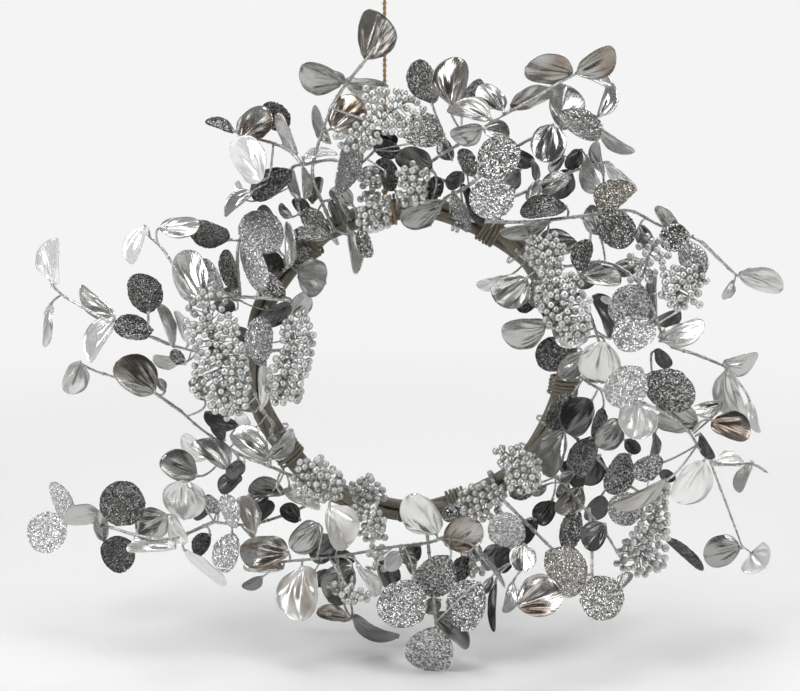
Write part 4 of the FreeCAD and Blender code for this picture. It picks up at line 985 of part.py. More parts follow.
"right_lower_stems": """
main 131.77,-11.7,13.93 132.16,-11.7,9.45 132.41,-11.9,4.95 134.32,-19.95,1.25
138.15,-27.6,-1.74 142.7,-35.1,-4.07 147.43,-42.59,-6.04 152.74,-49.73,-7.86
158.88,-56.18,-9.56 165.7,-62,-10.96 172.92,-67.4,-12.03 180.65,-72,-13.19
189.14,-74,-15.4 197.19,-72.08,-18.96 204.21,-68.2,-23.2 210.87,-64.14,-27.84
217.46,-60.35,-32.81 223.82,-56.74,-38.18 229.72,-53.43,-44.23 234.88,-50.89,-51.24
239.32,-49.23,-58.98
main 239.32,-49.23,-58.98 243.94,-45.6,-65.53 249.12,-42.43,-71.89 256.01,-40.97,-76.77
263.95,-44.55,-77.52 272.37,-46.78,-76.58 281.11,-47.32,-75.77 289.68,-47.76,-77.43
297.19,-48.75,-81.87
main 118.85,-11.7,-58.57 120.77,-11.7,-54.5 122.55,-11.9,-50.37 126.33,-20.24,-50.37
128.96,-29,-49.97 132.21,-37.45,-50.65 138.67,-40.89,-55.28 144.62,-37.43,-61.17
149.18,-31.63,-66.57 153.02,-25.1,-71.73 157.04,-19.12,-77.35 162.18,-15.57,-83.95
168.34,-15.33,-90.67 175.13,-16.66,-96.66 182.54,-18.1,-101.84 190.38,-19.31,-106.43
198.14,-20.53,-111.12 205.1,-22.15,-116.82 210.31,-24.62,-123.89 213.47,-28.09,-131.73
215.37,-32.24,-139.67
main 101.73,-11.7,-84.89 104.56,-11.7,-81.39 107.26,-11.9,-77.79 111.16,-19.55,-80.56
115.06,-27.21,-83.32 118.96,-34.86,-86.09 122.87,-42.51,-88.86 126.77,-50.17,-91.62
130.67,-57.82,-94.39 134.57,-65.47,-97.16 138.47,-73.13,-99.92 142.37,-80.78,-102.69
146.27,-88.43,-105.46 150.17,-96.08,-108.23 154.15,-103.61,-111.21 158.49,-110.22,-115.46
163.12,-114.19,-122.03 167.53,-116.31,-129.61
petiole 146.53,-49.19,19.47 149.32,-46.77,16.99 149.25,-45.19,12.51 148.54,-43.96,7.95
147.62,-42.97,3.36 146.65,-41.82,-1.17 145.64,-40.57,-5.67
petiole 156.87,-75.67,37.09 156.79,-71.14,37.89 155.73,-66.71,38.31 154.04,-62.45,37.93
152.37,-58.27,36.99 150.53,-54.23,35.79 148.61,-50.28,34.43 146.92,-46.25,32.99
145.15,-42.29,31.46 143.19,-38.46,29.85 141.3,-34.6,28.2 139.64,-30.64,26.56
137.87,-26.74,24.86 135.9,-22.98,23.1 133.81,-19.31,21.28 131.89,-15.54,19.48
130.73,-11.4,17.86
petiole 134.8,-39.62,-18.29 137.06,-39.04,-14.94 139.3,-38.77,-11.54 141.6,-38.11,-8.23
143.93,-37.31,-4.97
petiole 149.78,-59.03,-17.25 152.49,-57.28,-13.06 154.76,-55.25,-8.73
petiole 127.58,-63.93,-43.36 128.8,-60.21,-44.07 129.98,-56.57,-45.14 131.18,-53.04,-46.53
132.44,-49.6,-48.08
petiole 152.23,-40.48,-54.6 148.38,-40.34,-57.3 145.21,-40.41,-60.81
petiole 186.01,-82.04,16.07 188.43,-80.76,13.22 188.39,-80.37,8.94 187.9,-80.24,4.66
187.29,-80.06,0.4 186.65,-79.66,-3.84 185.93,-79.45,-8.08 185.16,-79.34,-12.32
petiole 195.33,-73.42,8.76 191.22,-74.22,7.97 189.24,-75.22,4.18 188.41,-76.28,-0.06
187.94,-77.35,-4.35 187.67,-78.42,-8.66 187.5,-79.5,-12.97
petiole 186.38,-86.19,-13.96 188.24,-83.87,-13.14 189.65,-81.11,-13.26
petiole 174.44,-49.01,-37.32 175.43,-51.57,-33.81 175.89,-53.72,-29.94 175.56,-56.02,-26.14
174.63,-58.41,-22.5 173.31,-60.67,-18.89 171.77,-63.13,-15.51 169.98,-65.36,-12.09
petiole 161.13,-37.94,-30.04 161.25,-40.85,-26.55 161.02,-43.88,-23.15 160.42,-46.9,-19.81
159.47,-49.73,-16.37 158.25,-52.51,-12.98 156.94,-55.52,-9.83
petiole 239.23,-51.49,-40.94 237.23,-51.27,-44.28 234.2,-50.82,-46.76
petiole 260.73,-37.47,-25.83 259.96,-39.33,-29.6 256.87,-40.92,-32.62 253.54,-41.93,-35.66
250.15,-43.24,-38.49 246.71,-44.67,-41.21 243.23,-45.8,-44.02 239.74,-47.3,-46.65
236.23,-48.39,-49.43
petiole 249.7,-58.27,-34.66 245.71,-56.31,-34.91 242.06,-54.52,-36.69 239.02,-53.08,-39.61
236.4,-52.02,-43.07 234.2,-50.82,-46.76
petiole 241.52,-49.07,-49.45 239.52,-48.1,-50.49 237.65,-47.48,-51.95
petiole 245.83,-48.05,-73.32 246.68,-47.01,-71.99 247.52,-45.95,-70.65
petiole 255.19,-31,-79.46 255.25,-33.28,-79.03 255.29,-35.56,-78.58
petiole 285.75,-50.02,-73.59 285.57,-48.37,-73.65 285.38,-46.72,-73.71
petiole 184.25,-43.05,-69.59 183.95,-38.73,-69.99 182.33,-35.45,-72.51 180.63,-32.57,-75.47
178.91,-29.78,-78.51 177.09,-27.17,-81.64 175.38,-24.45,-84.74 173.75,-21.65,-87.82
172.11,-18.87,-90.9 170.36,-16.23,-94.06
petiole 212.08,-50,-73.59 216.21,-49.82,-71.99 220.17,-50.13,-70.03 224.12,-49.92,-68.02
228.03,-49.5,-65.96 231.82,-49.5,-63.68 235.54,-49.64,-61.27 239.32,-49.23,-58.98
petiole 211.41,-77.76,-80.55 214.89,-75.2,-79.08 218.05,-72.35,-77.45 221.06,-69.55,-75.46
223.93,-66.77,-73.27 226.65,-63.83,-71.07 229.29,-60.88,-68.8 231.88,-58.04,-66.35
234.41,-55.13,-63.91 236.86,-52.09,-61.54 239.32,-49.23,-58.98
small 211.99,-26.25,-88.02 207.86,-24.11,-88.93 205.04,-22.94,-92.55 203.56,-22.16,-97.05
202.65,-21.47,-101.73 202.03,-20.85,-106.46 201.53,-20.52,-111.23
petiole 195.13,-54.94,-115.94 197.44,-51.2,-117.24 199.63,-47.31,-118.29
201.79,-43.33,-118.99 203.97,-39.31,-119.31 205.94,-35.17,-119.5 207.76,-30.97,-119.54
209.59,-26.77,-119.32 211.26,-22.5,-119.17
petiole 142.56,-65.04,-91.57 140.56,-65.04,-95.2 138.28,-65.3,-98.64
petiole 102.95,-46.78,-95.68 106.58,-44.64,-94.82 110.29,-42.67,-93.9 114.04,-40.75,-92.99
117.79,-38.85,-92.13 121.58,-37,-91.26 125.46,-35.4,-90.31
small 113.05,-58.13,-91.16 117.28,-57.08,-89.87 121.77,-57.17,-89.34 126.19,-58.11,-89.64
129.1,-55.29,-91.35 131,-51.56,-93.14
small 132.34,-46.11,-90.61 131.1,-45.05,-92.09 129.92,-43.94,-93.59
small 135.51,-56.62,-80.27 135.21,-54.37,-84.57 133.19,-52.95,-88.89 131,-51.56,-93.14
petiole 135.86,-98.74,-101.29 139.55,-97.19,-99.25 143.83,-96.15,-98.35
petiole 157.06,-117.77,-105.14 156.89,-116.09,-107.55 156.54,-114.51,-110.01
petiole 216.96,-34.54,-145.17 216,-33.28,-142.52 215.37,-32.24,-139.67
petiole 204.87,-24.72,16.73 202.06,-27.77,15.68 201.02,-30.87,12.82 200.68,-34.14,9.94
200.58,-37.32,6.94 200.61,-40.43,3.87 200.72,-43.56,0.82 200.87,-46.68,-2.24
201.08,-49.81,-5.28 201.3,-53.01,-8.25 201.46,-56.5,-10.88 201.57,-60.22,-13.16
201.52,-64.34,-14.62 201.89,-66.96,-17.76 202.62,-67.83,-21.98
petiole 206.96,-24.72,-54.86 207.82,-27.44,-51.23 209.7,-30.31,-48.17 212.19,-33.5,-45.96
214.87,-36.93,-44.43 217.98,-40.18,-43.41 221.51,-43.1,-42.84 225.39,-45.59,-42.7
227.42,-49.53,-42.01 227.84,-54,-40.92
petiole 162.9,-3.97,-81.51 161.95,-6.54,-82.57 160.94,-9.03,-83.76
petiole 127.11,-23.57,-81.75 123.42,-23.3,-84.08 121.18,-23.97,-87.89
small 182.32,-19.5,-63.46 178.02,-19.15,-62.3 173.56,-19.18,-62.56 169.35,-19.19,-64.06
165.49,-18.92,-66.31 161.76,-19.22,-68.77 158.17,-19.85,-71.37 154.67,-20.53,-74.09
petiole 121.66,-13.45,-118.98 122.73,-15.13,-114.8 123.45,-16.92,-110.59
123.81,-18.72,-106.33 123.87,-20.5,-102.06 123.68,-22.29,-97.79 123.29,-24.07,-93.54
122.76,-25.87,-89.3
petiole 163.46,-23.85,-111.09 166.13,-22.32,-107.63 169.14,-20.58,-104.57
172.47,-18.96,-101.79 176.02,-17.52,-99.2
stalk 86.5,-72.91,-69.54 87.98,-69.8,-72.02 88.35,-65.66,-73.46 88.64,-61.49,-74.82
88.93,-57.32,-76.17 89.22,-53.14,-77.52 89.51,-48.97,-78.87 89.79,-44.79,-80.23
90.08,-40.62,-81.58 90.37,-36.44,-82.93 90.66,-32.27,-84.29 90.95,-28.1,-85.64
91.24,-23.92,-86.99 91.52,-19.75,-88.34 91.81,-15.57,-89.7 92.1,-11.4,-91.05
stalk 91.64,-95.48,-73.38 91.59,-91.06,-74.41 91.55,-86.64,-75.44 91.5,-82.21,-76.47
91.44,-77.79,-77.49 91.38,-73.36,-78.5 91.3,-68.94,-79.51 91.24,-64.51,-80.51
91.17,-60.09,-81.53 91.12,-55.66,-82.56 91.07,-51.24,-83.59 91.02,-46.82,-84.61
90.95,-42.39,-85.62 90.87,-37.96,-86.62 90.79,-33.53,-87.61 90.71,-29.1,-88.61
90.64,-24.68,-89.61 90.58,-20.25,-90.63 90.51,-15.83,-91.64 90.45,-11.4,-92.65
stalk 194.62,-73.07,-130.41 196.75,-69.01,-131.31 198.86,-64.94,-132.22
200.96,-60.86,-133.14 203.02,-56.77,-134.07 204.94,-52.63,-135.07 206.88,-48.5,-136.05
208.96,-44.42,-136.98 211.09,-40.36,-137.88 213.23,-36.3,-138.78 215.37,-32.24,-139.67
""",
"bottom_stems": """
main 78.48,-11.7,-106.76 74.81,-11.7,-109.36 71.06,-11.9,-111.84 65.89,-18.15,-115.6
60.9,-24.22,-119.85 55.83,-30.14,-124.23 50.39,-35.99,-128.23 44.55,-41.86,-131.59
38.36,-47.69,-134.3 31.42,-52.63,-136.94 23.63,-53.31,-140.7 17.89,-47.98,-144.8
12.67,-41.61,-148.2 4.53,-39.85,-149.84 -3.84,-42.94,-149.65 -12.33,-42.27,-151
-18.37,-36.47,-154.02 -23.98,-30.31,-157.22 -31.34,-26.29,-160.03 -40.02,-26.4,-161.62
-48.04,-30.21,-161.74 -54.67,-36.1,-160.79 -60.3,-42.87,-159.26 -65.78,-49.72,-157.59
-71.62,-56.3,-155.98 -77.93,-62.44,-154.51 -85.21,-67.46,-153.49 -93.83,-69.23,-153.72
-102.06,-66.51,-155.5 -109.06,-61.54,-157.96
main 3.79,-11.7,-132.45 8.28,-11.7,-132.24 12.77,-11.9,-131.88 13.5,-18.95,-137.85
14.23,-25.99,-143.82 14.96,-33.04,-149.79 15.69,-40.09,-155.76 16.42,-47.14,-161.73
17.15,-54.18,-167.7 17.88,-61.23,-173.67 18.61,-68.28,-179.64 19.34,-75.33,-185.61
20.05,-82.52,-191.41 20.6,-90.48,-196.05 20.79,-99.49,-198.04 20.76,-108.74,-198.48
main 79.19,-11.7,-106.23 75.54,-11.7,-108.86 71.8,-11.9,-111.36 76.84,-18.58,-114.71
81.88,-25.27,-118.06 86.92,-31.95,-121.41 91.96,-38.63,-124.76 97,-45.32,-128.11
102.05,-52,-131.46 107.09,-58.68,-134.81 112.13,-65.36,-138.15 117.17,-72.05,-141.5
122.21,-78.73,-144.85 127.26,-85.42,-148.19 132.35,-92.19,-151.27 137.6,-99.27,-153.04
142.84,-106.55,-152.36 147.88,-113.75,-150.36
main 145.7,-97.66,-98.21 146.64,-98.06,-107.43 147.46,-99.41,-116.56 148.07,-101.55,-125.57
148.34,-104.45,-134.37 148.23,-108.61,-142.64 147.88,-113.75,-150.36
petiole -66.39,-91.73,-99.32 -66.75,-87.25,-100.01 -67.07,-82.77,-100.69
-67.28,-78.28,-101.36 -67.39,-73.78,-102.01 -67.39,-69.28,-102.63 -67.25,-64.77,-103.22
-67.05,-60.28,-103.87 -66.78,-55.8,-104.6 -66.48,-51.33,-105.37 -66.12,-46.87,-106.17
-65.74,-42.42,-106.99 -65.32,-37.97,-107.83 -64.87,-33.53,-108.69 -64.36,-29.09,-109.54
-63.78,-24.66,-110.36 -63.22,-20.24,-111.24 -62.7,-15.82,-112.17 -62.19,-11.4,-113.11
petiole -62.19,-48.61,-141.17 -60.67,-48.99,-144.89 -61.53,-49.57,-149.05
-62.78,-49.82,-153.16 -64.15,-50.52,-157.18
petiole -107.32,-63.88,-162.46 -106.61,-63.45,-159.87 -106.47,-62.9,-157.21
small -126.51,-43.54,-177.98 -123.69,-46.12,-175.29 -120.88,-48.59,-172.48
-117.98,-50.75,-169.52 -115.14,-52.81,-166.44 -112.34,-54.79,-163.25 -110.23,-57.67,-160.31
-109.06,-61.54,-157.96
petiole -90.59,-78.47,-154.5 -90.68,-76.92,-152.86 -90.77,-75.33,-151.26
petiole -49.63,-49.67,-167.63 -50.15,-47.42,-164.39 -52.6,-45.33,-162.07
-55.85,-43.43,-160.7 -59.36,-41.85,-159.58
petiole -44.17,-66.49,-157.07 -46.79,-63.38,-155.33 -49.9,-60.39,-154.41
-53.26,-57.52,-154.42 -56.91,-55.08,-154.96 -60.66,-52.93,-155.89 -64.15,-50.52,-157.18
petiole -51.89,-71.58,-206.01 -49.4,-69.97,-202.93 -49.25,-68.65,-198.8
-49.96,-67.59,-194.61 -50.98,-66.46,-190.51 -52.18,-64.58,-186.77 -53.47,-62.15,-183.38
-54.87,-60.24,-179.7 -56.32,-58.48,-175.97 -57.82,-56.9,-172.17 -59.36,-55.15,-168.47
-60.93,-53.81,-164.61 -62.53,-52.18,-160.89 -64.15,-50.52,-157.18
petiole -49.48,-66.07,-206.37 -52.5,-65.09,-203.08 -54.64,-64.15,-199.15
-56.1,-63.58,-194.85 -57.24,-62.06,-190.75 -58.15,-59.19,-187.3 -58.93,-56.56,-183.63
-59.59,-54.65,-179.53 -60.15,-53.16,-175.24 -60.64,-51.26,-171.1 -61.06,-49.74,-166.8
-61.43,-47.99,-162.59 -61.76,-46.19,-158.39
small -8.92,-52.32,-152.35 -8.78,-52.45,-149.52 -9.04,-52.55,-146.69
petiole -7.24,-55.8,-150.22 -8.17,-54.25,-148.4 -9.04,-52.55,-146.69
petiole 1.06,-83.98,-165.71 1.84,-81.08,-162.7 1.93,-77.16,-160.95 1.51,-73.34,-159.05
0.69,-69.76,-156.82 -0.42,-66.25,-154.61 -1.75,-62.77,-152.46 -3.23,-59.32,-150.39
-4.84,-55.89,-148.36 -6.52,-52.47,-146.37
petiole 20.68,-113.6,-198.32 20.72,-111.17,-198.39 20.76,-108.74,-198.48
petiole 18.77,-76.55,-198.7 19.86,-74.18,-199.11 21.13,-71.93,-199.65
petiole 20.97,-78.1,-127.4 21.7,-74.28,-130.06 22.31,-70.45,-132.73 22.79,-66.6,-135.41
23.19,-62.77,-138.11
small -1.3,-38,-116.26 -1.16,-34.17,-117.97 -1.1,-30.35,-119.7 -1.14,-26.54,-121.45
-1.21,-22.73,-123.22 -1.29,-18.94,-125.02 -1.39,-15.17,-126.85 -1.5,-11.4,-128.69
small 40.61,-53.37,-108.52 40.57,-49.13,-109.73 40.66,-44.94,-111.08 40.76,-40.74,-112.44
40.87,-36.55,-113.8 40.97,-32.36,-115.16 41.07,-28.17,-116.52 41.18,-23.98,-117.89
41.28,-19.78,-119.25 41.39,-15.59,-120.61 41.49,-11.4,-121.97
petiole 29.7,-61.66,-142.82 28.27,-60.59,-140.13 27.86,-59.44,-137.13
petiole 83.6,-74.62,-140.9 85.26,-71.83,-143.42 87.51,-68.91,-145.22 89.84,-65.7,-146.29
92.11,-62.34,-146.98 94.35,-58.93,-147.51
petiole 93.11,-39.74,-147.84 92.22,-40.03,-147.53 91.32,-40.31,-147.22
petiole 93.81,-83.88,-134.13 93.84,-79.66,-136.24 93.91,-75.48,-138.43 94.01,-71.33,-140.69
94.12,-67.2,-142.96 94.24,-63.06,-145.23 94.35,-58.93,-147.51
petiole 32.8,-74.59,-149.72 33.72,-72.01,-146.69 32.92,-69.49,-143.6 30.77,-67.3,-140.91
28.02,-65.43,-138.52 25.51,-62.54,-137.16
petiole 50.38,-49.63,-160.47 51.72,-49.13,-156.39 51.05,-48.94,-152.14 48.96,-48.58,-148.35
46.3,-48.54,-144.91 43.32,-48.34,-141.75 40.19,-48.33,-138.73 36.95,-48.29,-135.83
petiole 54,-107.66,-130.09 52.07,-103.61,-129.49 50.13,-99.51,-129.4 48.02,-95.51,-129.61
45.55,-91.73,-129.91 43.09,-87.96,-130.43 40.78,-84.13,-131.19 38.31,-80.43,-132.01
35.65,-76.86,-132.87 33.17,-73.2,-133.87 30.51,-69.69,-134.89 27.66,-66.32,-135.92
25.51,-62.54,-137.16
petiole 56.84,-104.62,-160.68 53.36,-102.92,-162.52 50.22,-102.22,-165.56
47.16,-101.66,-168.72 44.18,-101.01,-171.93 41.19,-100.51,-175.15 38.3,-99.76,-178.42
35.41,-99.04,-181.69 32.46,-98.55,-184.96 29.56,-97.92,-188.25 26.63,-97.42,-191.53
23.74,-96.83,-194.83 20.84,-96.29,-198.13
petiole 71.5,-55.75,-178.85 72.73,-56.03,-174.58 74.83,-56.38,-170.67 77.47,-57.14,-167.17
80.25,-58.45,-163.95 82.91,-60.37,-160.94 85.86,-62.02,-158.06 89.53,-61.77,-155.64
93.35,-60.61,-153.67 97.23,-59.95,-151.58
small 68.03,-74.75,-166.47 70.68,-72.9,-163.23 74.02,-71.04,-160.71 77.81,-69.34,-158.77
81.81,-67.74,-157.21 85.94,-66.22,-155.92 90.14,-64.74,-154.82 94.38,-63.29,-153.88
98.66,-61.86,-153.04
petiole 85.65,-74.77,-170.89 87.97,-73.08,-166.92 91.1,-71.51,-163.5 94.93,-70.01,-160.83
99.13,-68.71,-158.67 103.54,-67.46,-156.91
petiole 85.59,-151.13,-162.92 86.81,-146.89,-163.26 89.38,-143.26,-162.97
92.22,-139.84,-162.54 94.98,-136.34,-162.23 97.93,-133.03,-161.74 100.82,-129.64,-161.32
103.61,-126.17,-161.02 106.52,-122.81,-160.6 109.32,-119.33,-160.31 112.23,-115.97,-159.9
115.06,-112.53,-159.58 117.94,-109.14,-159.22 120.85,-105.76,-158.83 123.69,-102.33,-158.51
126.64,-99.01,-158.08 129.47,-95.56,-157.78 132.47,-92.29,-157.29
petiole 111.2,-119.39,-128.51 112.44,-115.57,-130.04 114.91,-113.12,-132.83
117.25,-110.6,-135.66 119.7,-108.27,-138.57 122.28,-106.19,-141.55 124.87,-104.13,-144.54
127.31,-101.85,-147.48 129.63,-99.36,-150.36 132.14,-97.17,-153.33 134.72,-95.14,-156.34
petiole 147.72,-115.88,-151.3 147.8,-114.82,-150.83 147.88,-113.75,-150.36
small 174.57,-66.38,-179.36 171.86,-69.86,-179.45 168.97,-73.14,-178.81 166.2,-76.3,-177.47
163.44,-79.26,-175.69 160.68,-82.03,-173.63 158,-84.74,-171.39 155.44,-87.44,-169.01
153.07,-90.27,-166.58 150.71,-93.04,-164.08 148.3,-95.68,-161.48 145.93,-98.31,-158.83
143.61,-100.95,-156.15 141.42,-103.71,-153.49
petiole -102.54,-70.8,-145.79 -100.88,-70.99,-149.55 -100.98,-71.29,-153.68
petiole -77.73,-58.71,-125.27 -74.65,-58.76,-128.09 -74.51,-59.82,-132.46
-75.08,-60.86,-136.81 -75.87,-61.49,-141.21 -76.77,-61.78,-145.62 -77.75,-62.64,-149.94
-78.77,-63.7,-154.21
petiole -47.54,-28.03,-168.24 -48.29,-27.72,-165.57 -49.6,-27.27,-163.13
petiole -26.13,-23.35,-169.92 -26.99,-22.85,-165.31 -26.84,-22.02,-160.67
petiole 8.23,-25.89,-155.41 8.54,-27.67,-154.35 8.87,-29.45,-153.27
small 59.2,-40.96,-163.59 59.19,-41.7,-159.62 57.15,-41.85,-155.7 54.95,-42.01,-151.88
52.68,-42.21,-148.09 50.38,-42.41,-144.33 48.05,-42.58,-140.58 45.71,-42.76,-136.85
43.35,-42.98,-133.12
petiole 106.54,-25.28,-133.05 102.85,-25.69,-131.14 98.52,-26.93,-132.48
94.34,-27.91,-134.43 90.24,-29.1,-136.42 86.18,-30.39,-138.44
petiole -86.35,-28.66,-190.75 -87.81,-32.32,-188.86 -87.38,-35.29,-185.64
-86.13,-37.86,-182.24 -84.71,-40.33,-178.83 -83.22,-42.8,-175.46 -81.69,-45.28,-172.1
-80.08,-47.64,-168.7 -78.3,-49.66,-165.17 -76.62,-51.95,-161.76 -75.37,-55.03,-158.83
-73.97,-57.9,-155.75
petiole 76.86,-25.19,-155.65 79.09,-27.41,-151.75 81.76,-29.63,-148.15 84.81,-31.96,-144.93
88.1,-34.38,-142.03
small 25.34,-38.95,-200.54 23.17,-40.44,-198.92 20.85,-42.07,-197.66
stalk -35.94,-52.45,-98.79 -36.32,-48.74,-100.99 -36.7,-45.03,-103.17 -37.06,-41.29,-105.32
-37.4,-37.52,-107.42 -37.73,-33.74,-109.48 -38.08,-29.97,-111.57 -38.44,-26.23,-113.72
-38.82,-22.51,-115.89 -39.19,-18.79,-118.07 -39.58,-15.09,-120.28 -39.97,-11.4,-122.5
stalk -35.66,-74.82,-119.19 -35.48,-70.29,-119.52 -35.33,-65.76,-119.94
-35.19,-61.24,-120.44 -35.04,-56.72,-120.88 -34.87,-52.18,-121.24 -34.69,-47.65,-121.57
-34.52,-43.12,-121.9 -34.34,-38.58,-122.23 -34.18,-34.06,-122.63 -34.04,-29.53,-123.09
-33.88,-25.01,-123.5 -33.71,-20.47,-123.83 -33.52,-15.94,-124.12 -33.34,-11.4,-124.42
stalk -29.36,-59,-156.87 -26.28,-56.35,-155.47 -23.18,-53.77,-154.02 -20.14,-51.06,-152.66
-17.05,-48.43,-151.23 -14.07,-45.63,-149.95
stalk -49.69,-86.95,-175.54 -51.89,-83.5,-173.26 -54,-79.86,-171.22 -56.1,-76.17,-169.22
-58.19,-72.5,-167.22 -60.32,-68.88,-165.13 -62.58,-65.58,-162.7 -64.81,-62.22,-160.34
-66.93,-58.59,-158.27 -69.04,-54.93,-156.24
stalk 59,-69.19,-102.72 58.97,-64.75,-103.67 58.93,-60.3,-104.63 58.9,-55.86,-105.58
58.87,-51.42,-106.54 58.83,-46.98,-107.49 58.8,-42.53,-108.45 58.76,-38.09,-109.4
58.73,-33.65,-110.34 58.69,-29.2,-111.28 58.65,-24.75,-112.22 58.6,-20.3,-113.14
58.55,-15.85,-114.05 58.5,-11.4,-114.96
stalk 56.93,-57.35,-165.73 54.43,-56.36,-161.94 51.93,-55.4,-158.15 49.43,-54.4,-154.36
46.94,-52.95,-150.73 44.45,-51.29,-147.18 41.95,-50.19,-143.42 39.45,-49.24,-139.63
36.95,-48.29,-135.83
""",
"left_lower_stems": """
main -83.62,-11.7,-102.78 -87.06,-11.7,-99.89 -90.4,-11.9,-96.87 -96.4,-18.37,-95.87
-101.2,-25.33,-93.17 -104.86,-32.47,-89.33 -108.08,-39.72,-85.3 -111.33,-46.96,-81.3
-115.54,-53.62,-77.21 -122.19,-57.63,-73.18 -130.36,-56.37,-70.35 -137.54,-51.38,-69.01
-143.35,-44.68,-68.52 -148.28,-37.28,-68.31 -153.25,-29.94,-67.67 -159.3,-23.81,-65.65
-166.51,-20.46,-61.78 -173.82,-19.33,-56.85 -180.83,-18.74,-51.41 -187.49,-17.81,-45.59
-193.92,-16.56,-39.57
main -64.52,-11.7,-115.73 -68.41,-11.7,-113.47 -72.22,-11.9,-111.09 -79.32,-12.79,-116.95
-86.87,-13.86,-122.15 -95.07,-15.2,-126.2 -103.59,-16.64,-129.49 -112.24,-18.17,-132.38
-120.88,-20.49,-134.64 -128.77,-25.09,-135.52 -134.3,-32.33,-134.48 -137.52,-40.68,-132.2
-139.85,-49.19,-129.45 -142.67,-57.48,-126.52 -149.22,-62.45,-124.17 -156.25,-56.88,-125.26
-161.41,-49.46,-127.2 -166.5,-42,-129.18
main -114.77,-11.7,-66.21 -116.96,-11.7,-62.27 -119,-11.9,-58.26 -116.7,-18.32,-52.36
-116.64,-25.41,-46.82 -118.52,-32.54,-41.62 -121.34,-38.66,-35.66 -124.98,-41.81,-28.14
-128.68,-41.19,-19.98 -131.77,-38.62,-11.9 -134.17,-35.55,-3.75 -135.98,-32.75,4.64
-137.34,-30.61,13.3 -138.48,-29.01,22.12
petiole -180.08,-40.78,-88.77 -175.53,-39.64,-88.85 -171.35,-38.18,-87.34
-167.79,-36.33,-84.88 -164.58,-34.62,-81.9 -161.64,-32.72,-78.75 -158.9,-30.72,-75.49
-156.26,-28.91,-72.03 -153.74,-26.89,-68.6
petiole -170.23,-24.97,-76.88 -166.27,-23.4,-76.58 -163.57,-21.39,-73.93
-161.93,-19.31,-70.49 -160.71,-17.19,-66.9
petiole -152.72,-53.55,-77.74 -148.96,-52.27,-77.31 -146.39,-50.67,-74.69
-144.83,-48.79,-71.45 -143.63,-46.86,-68.08
petiole -189.64,-62.87,-87.03 -186.92,-59.69,-88.09 -184.63,-57.68,-91.36
-182.52,-56.15,-95.01 -180.59,-54.53,-98.71 -178.74,-52.92,-102.46 -176.86,-51.46,-106.26
-175.18,-49.65,-110 -173.44,-48.03,-113.8 -171.64,-46.62,-117.65 -169.96,-44.95,-121.46
-168.19,-43.56,-125.34 -166.5,-42,-129.18
petiole -144.84,-28.43,-48.49 -142.84,-28.19,-52.86 -144.22,-27.98,-57.49
-147.02,-27.7,-61.5 -150.29,-27.33,-65.14 -153.74,-26.89,-68.6
small -135.25,-43.99,-44.85 -130.7,-44.27,-45.23 -126.82,-44.16,-42.77 -123.84,-44.08,-39.2
-121.2,-43.36,-35.43
petiole -117.22,-57.58,-67.77 -116.37,-60.46,-70.5 -116.89,-63.56,-73.08
petiole -116.73,-65.33,-66.26 -118,-65,-68.98 -119.12,-64.79,-71.78
petiole -153.73,-29.4,-32.45 -150.33,-31.98,-34.01 -146.35,-34.08,-33.58
-142.56,-35.75,-31.67 -139.08,-37.29,-29.13 -135.87,-38.93,-26.33 -132.67,-40.18,-23.32
-129.47,-41.1,-20.19
petiole -132.67,-30.4,-35.66 -130.52,-33.74,-34.43 -128.88,-36.86,-32.22
-127.61,-39.83,-29.58 -126.47,-42.77,-26.86
petiole -135.64,-42.94,-14.79 -133.63,-41.91,-14.09 -131.87,-40.84,-12.93
petiole -123.65,-51.58,-28.8 -123.72,-49.87,-29.35 -123.79,-48.16,-29.9
petiole -119.68,-64.24,15.67 -120.33,-60,13.82 -121.04,-55.74,12.08 -121.95,-51.38,10.67
-122.98,-46.98,9.49 -124.04,-42.57,8.41 -125.16,-38.15,7.45 -126.28,-33.71,6.54
-127.4,-29.26,5.67 -128.51,-24.81,4.83 -129.59,-20.35,4 -130.64,-15.87,3.18
-131.69,-11.4,2.36
petiole -135.2,-28.19,21.91 -136.84,-28.59,21.97 -138.48,-29.01,22.12
small -142.87,-27.97,60.44 -140.07,-24.99,58.03 -136.92,-22.28,55.73 -133.59,-19.61,53.63
-130.04,-17.08,51.75 -126.11,-15,50.09 -123.53,-11.4,48.56
petiole -100.53,-29.4,47.11 -103.93,-27.6,44.8 -107.54,-25.04,44.07 -111.16,-22.47,44.85
-114.41,-19.73,46.35 -117.67,-17.78,48.75 -120.62,-15.51,51.14 -122.3,-11.4,51.78
petiole -98.97,-40.91,59.98 -99.38,-37.87,62.95 -101.71,-33.9,63.37 -104.09,-29.93,63.29
-106.6,-26.03,63.11 -109.54,-22.45,63.04 -112.88,-19.24,63.09 -115.72,-15.6,62.86
-117.57,-11.4,62.26
small -100.92,-41.22,34.56 -102.29,-40.37,30.64 -105.86,-39.26,28.47 -109.81,-37.97,27.17
-113.91,-36.88,26.19 -117.98,-35.6,25.33 -122.02,-34.18,24.55 -126.16,-32.99,23.89
-130.28,-31.71,23.27 -134.34,-30.25,22.65 -138.48,-29.01,22.12
petiole -130.08,-68.41,-133.39 -133.56,-66.5,-133.11 -136.62,-64.74,-130.69
-139.52,-62.97,-128.08 -142.36,-61.16,-125.44
petiole -144.51,-84.1,-119.22 -145.45,-78.99,-119.88 -146.31,-73.88,-120.65
petiole -148.91,-72.23,-128.55 -148.74,-72.29,-124.7 -148.9,-72.38,-120.85
small -163.03,-41.19,-122.32 -163.01,-42.49,-125.62 -163.84,-43.48,-128.93
small -138.98,-57,-71.43 -138.71,-55.78,-69.7 -138.53,-54.56,-67.96
petiole -145.09,-24.31,-92.19 -143.35,-25.35,-88.16 -143.14,-26.42,-83.8
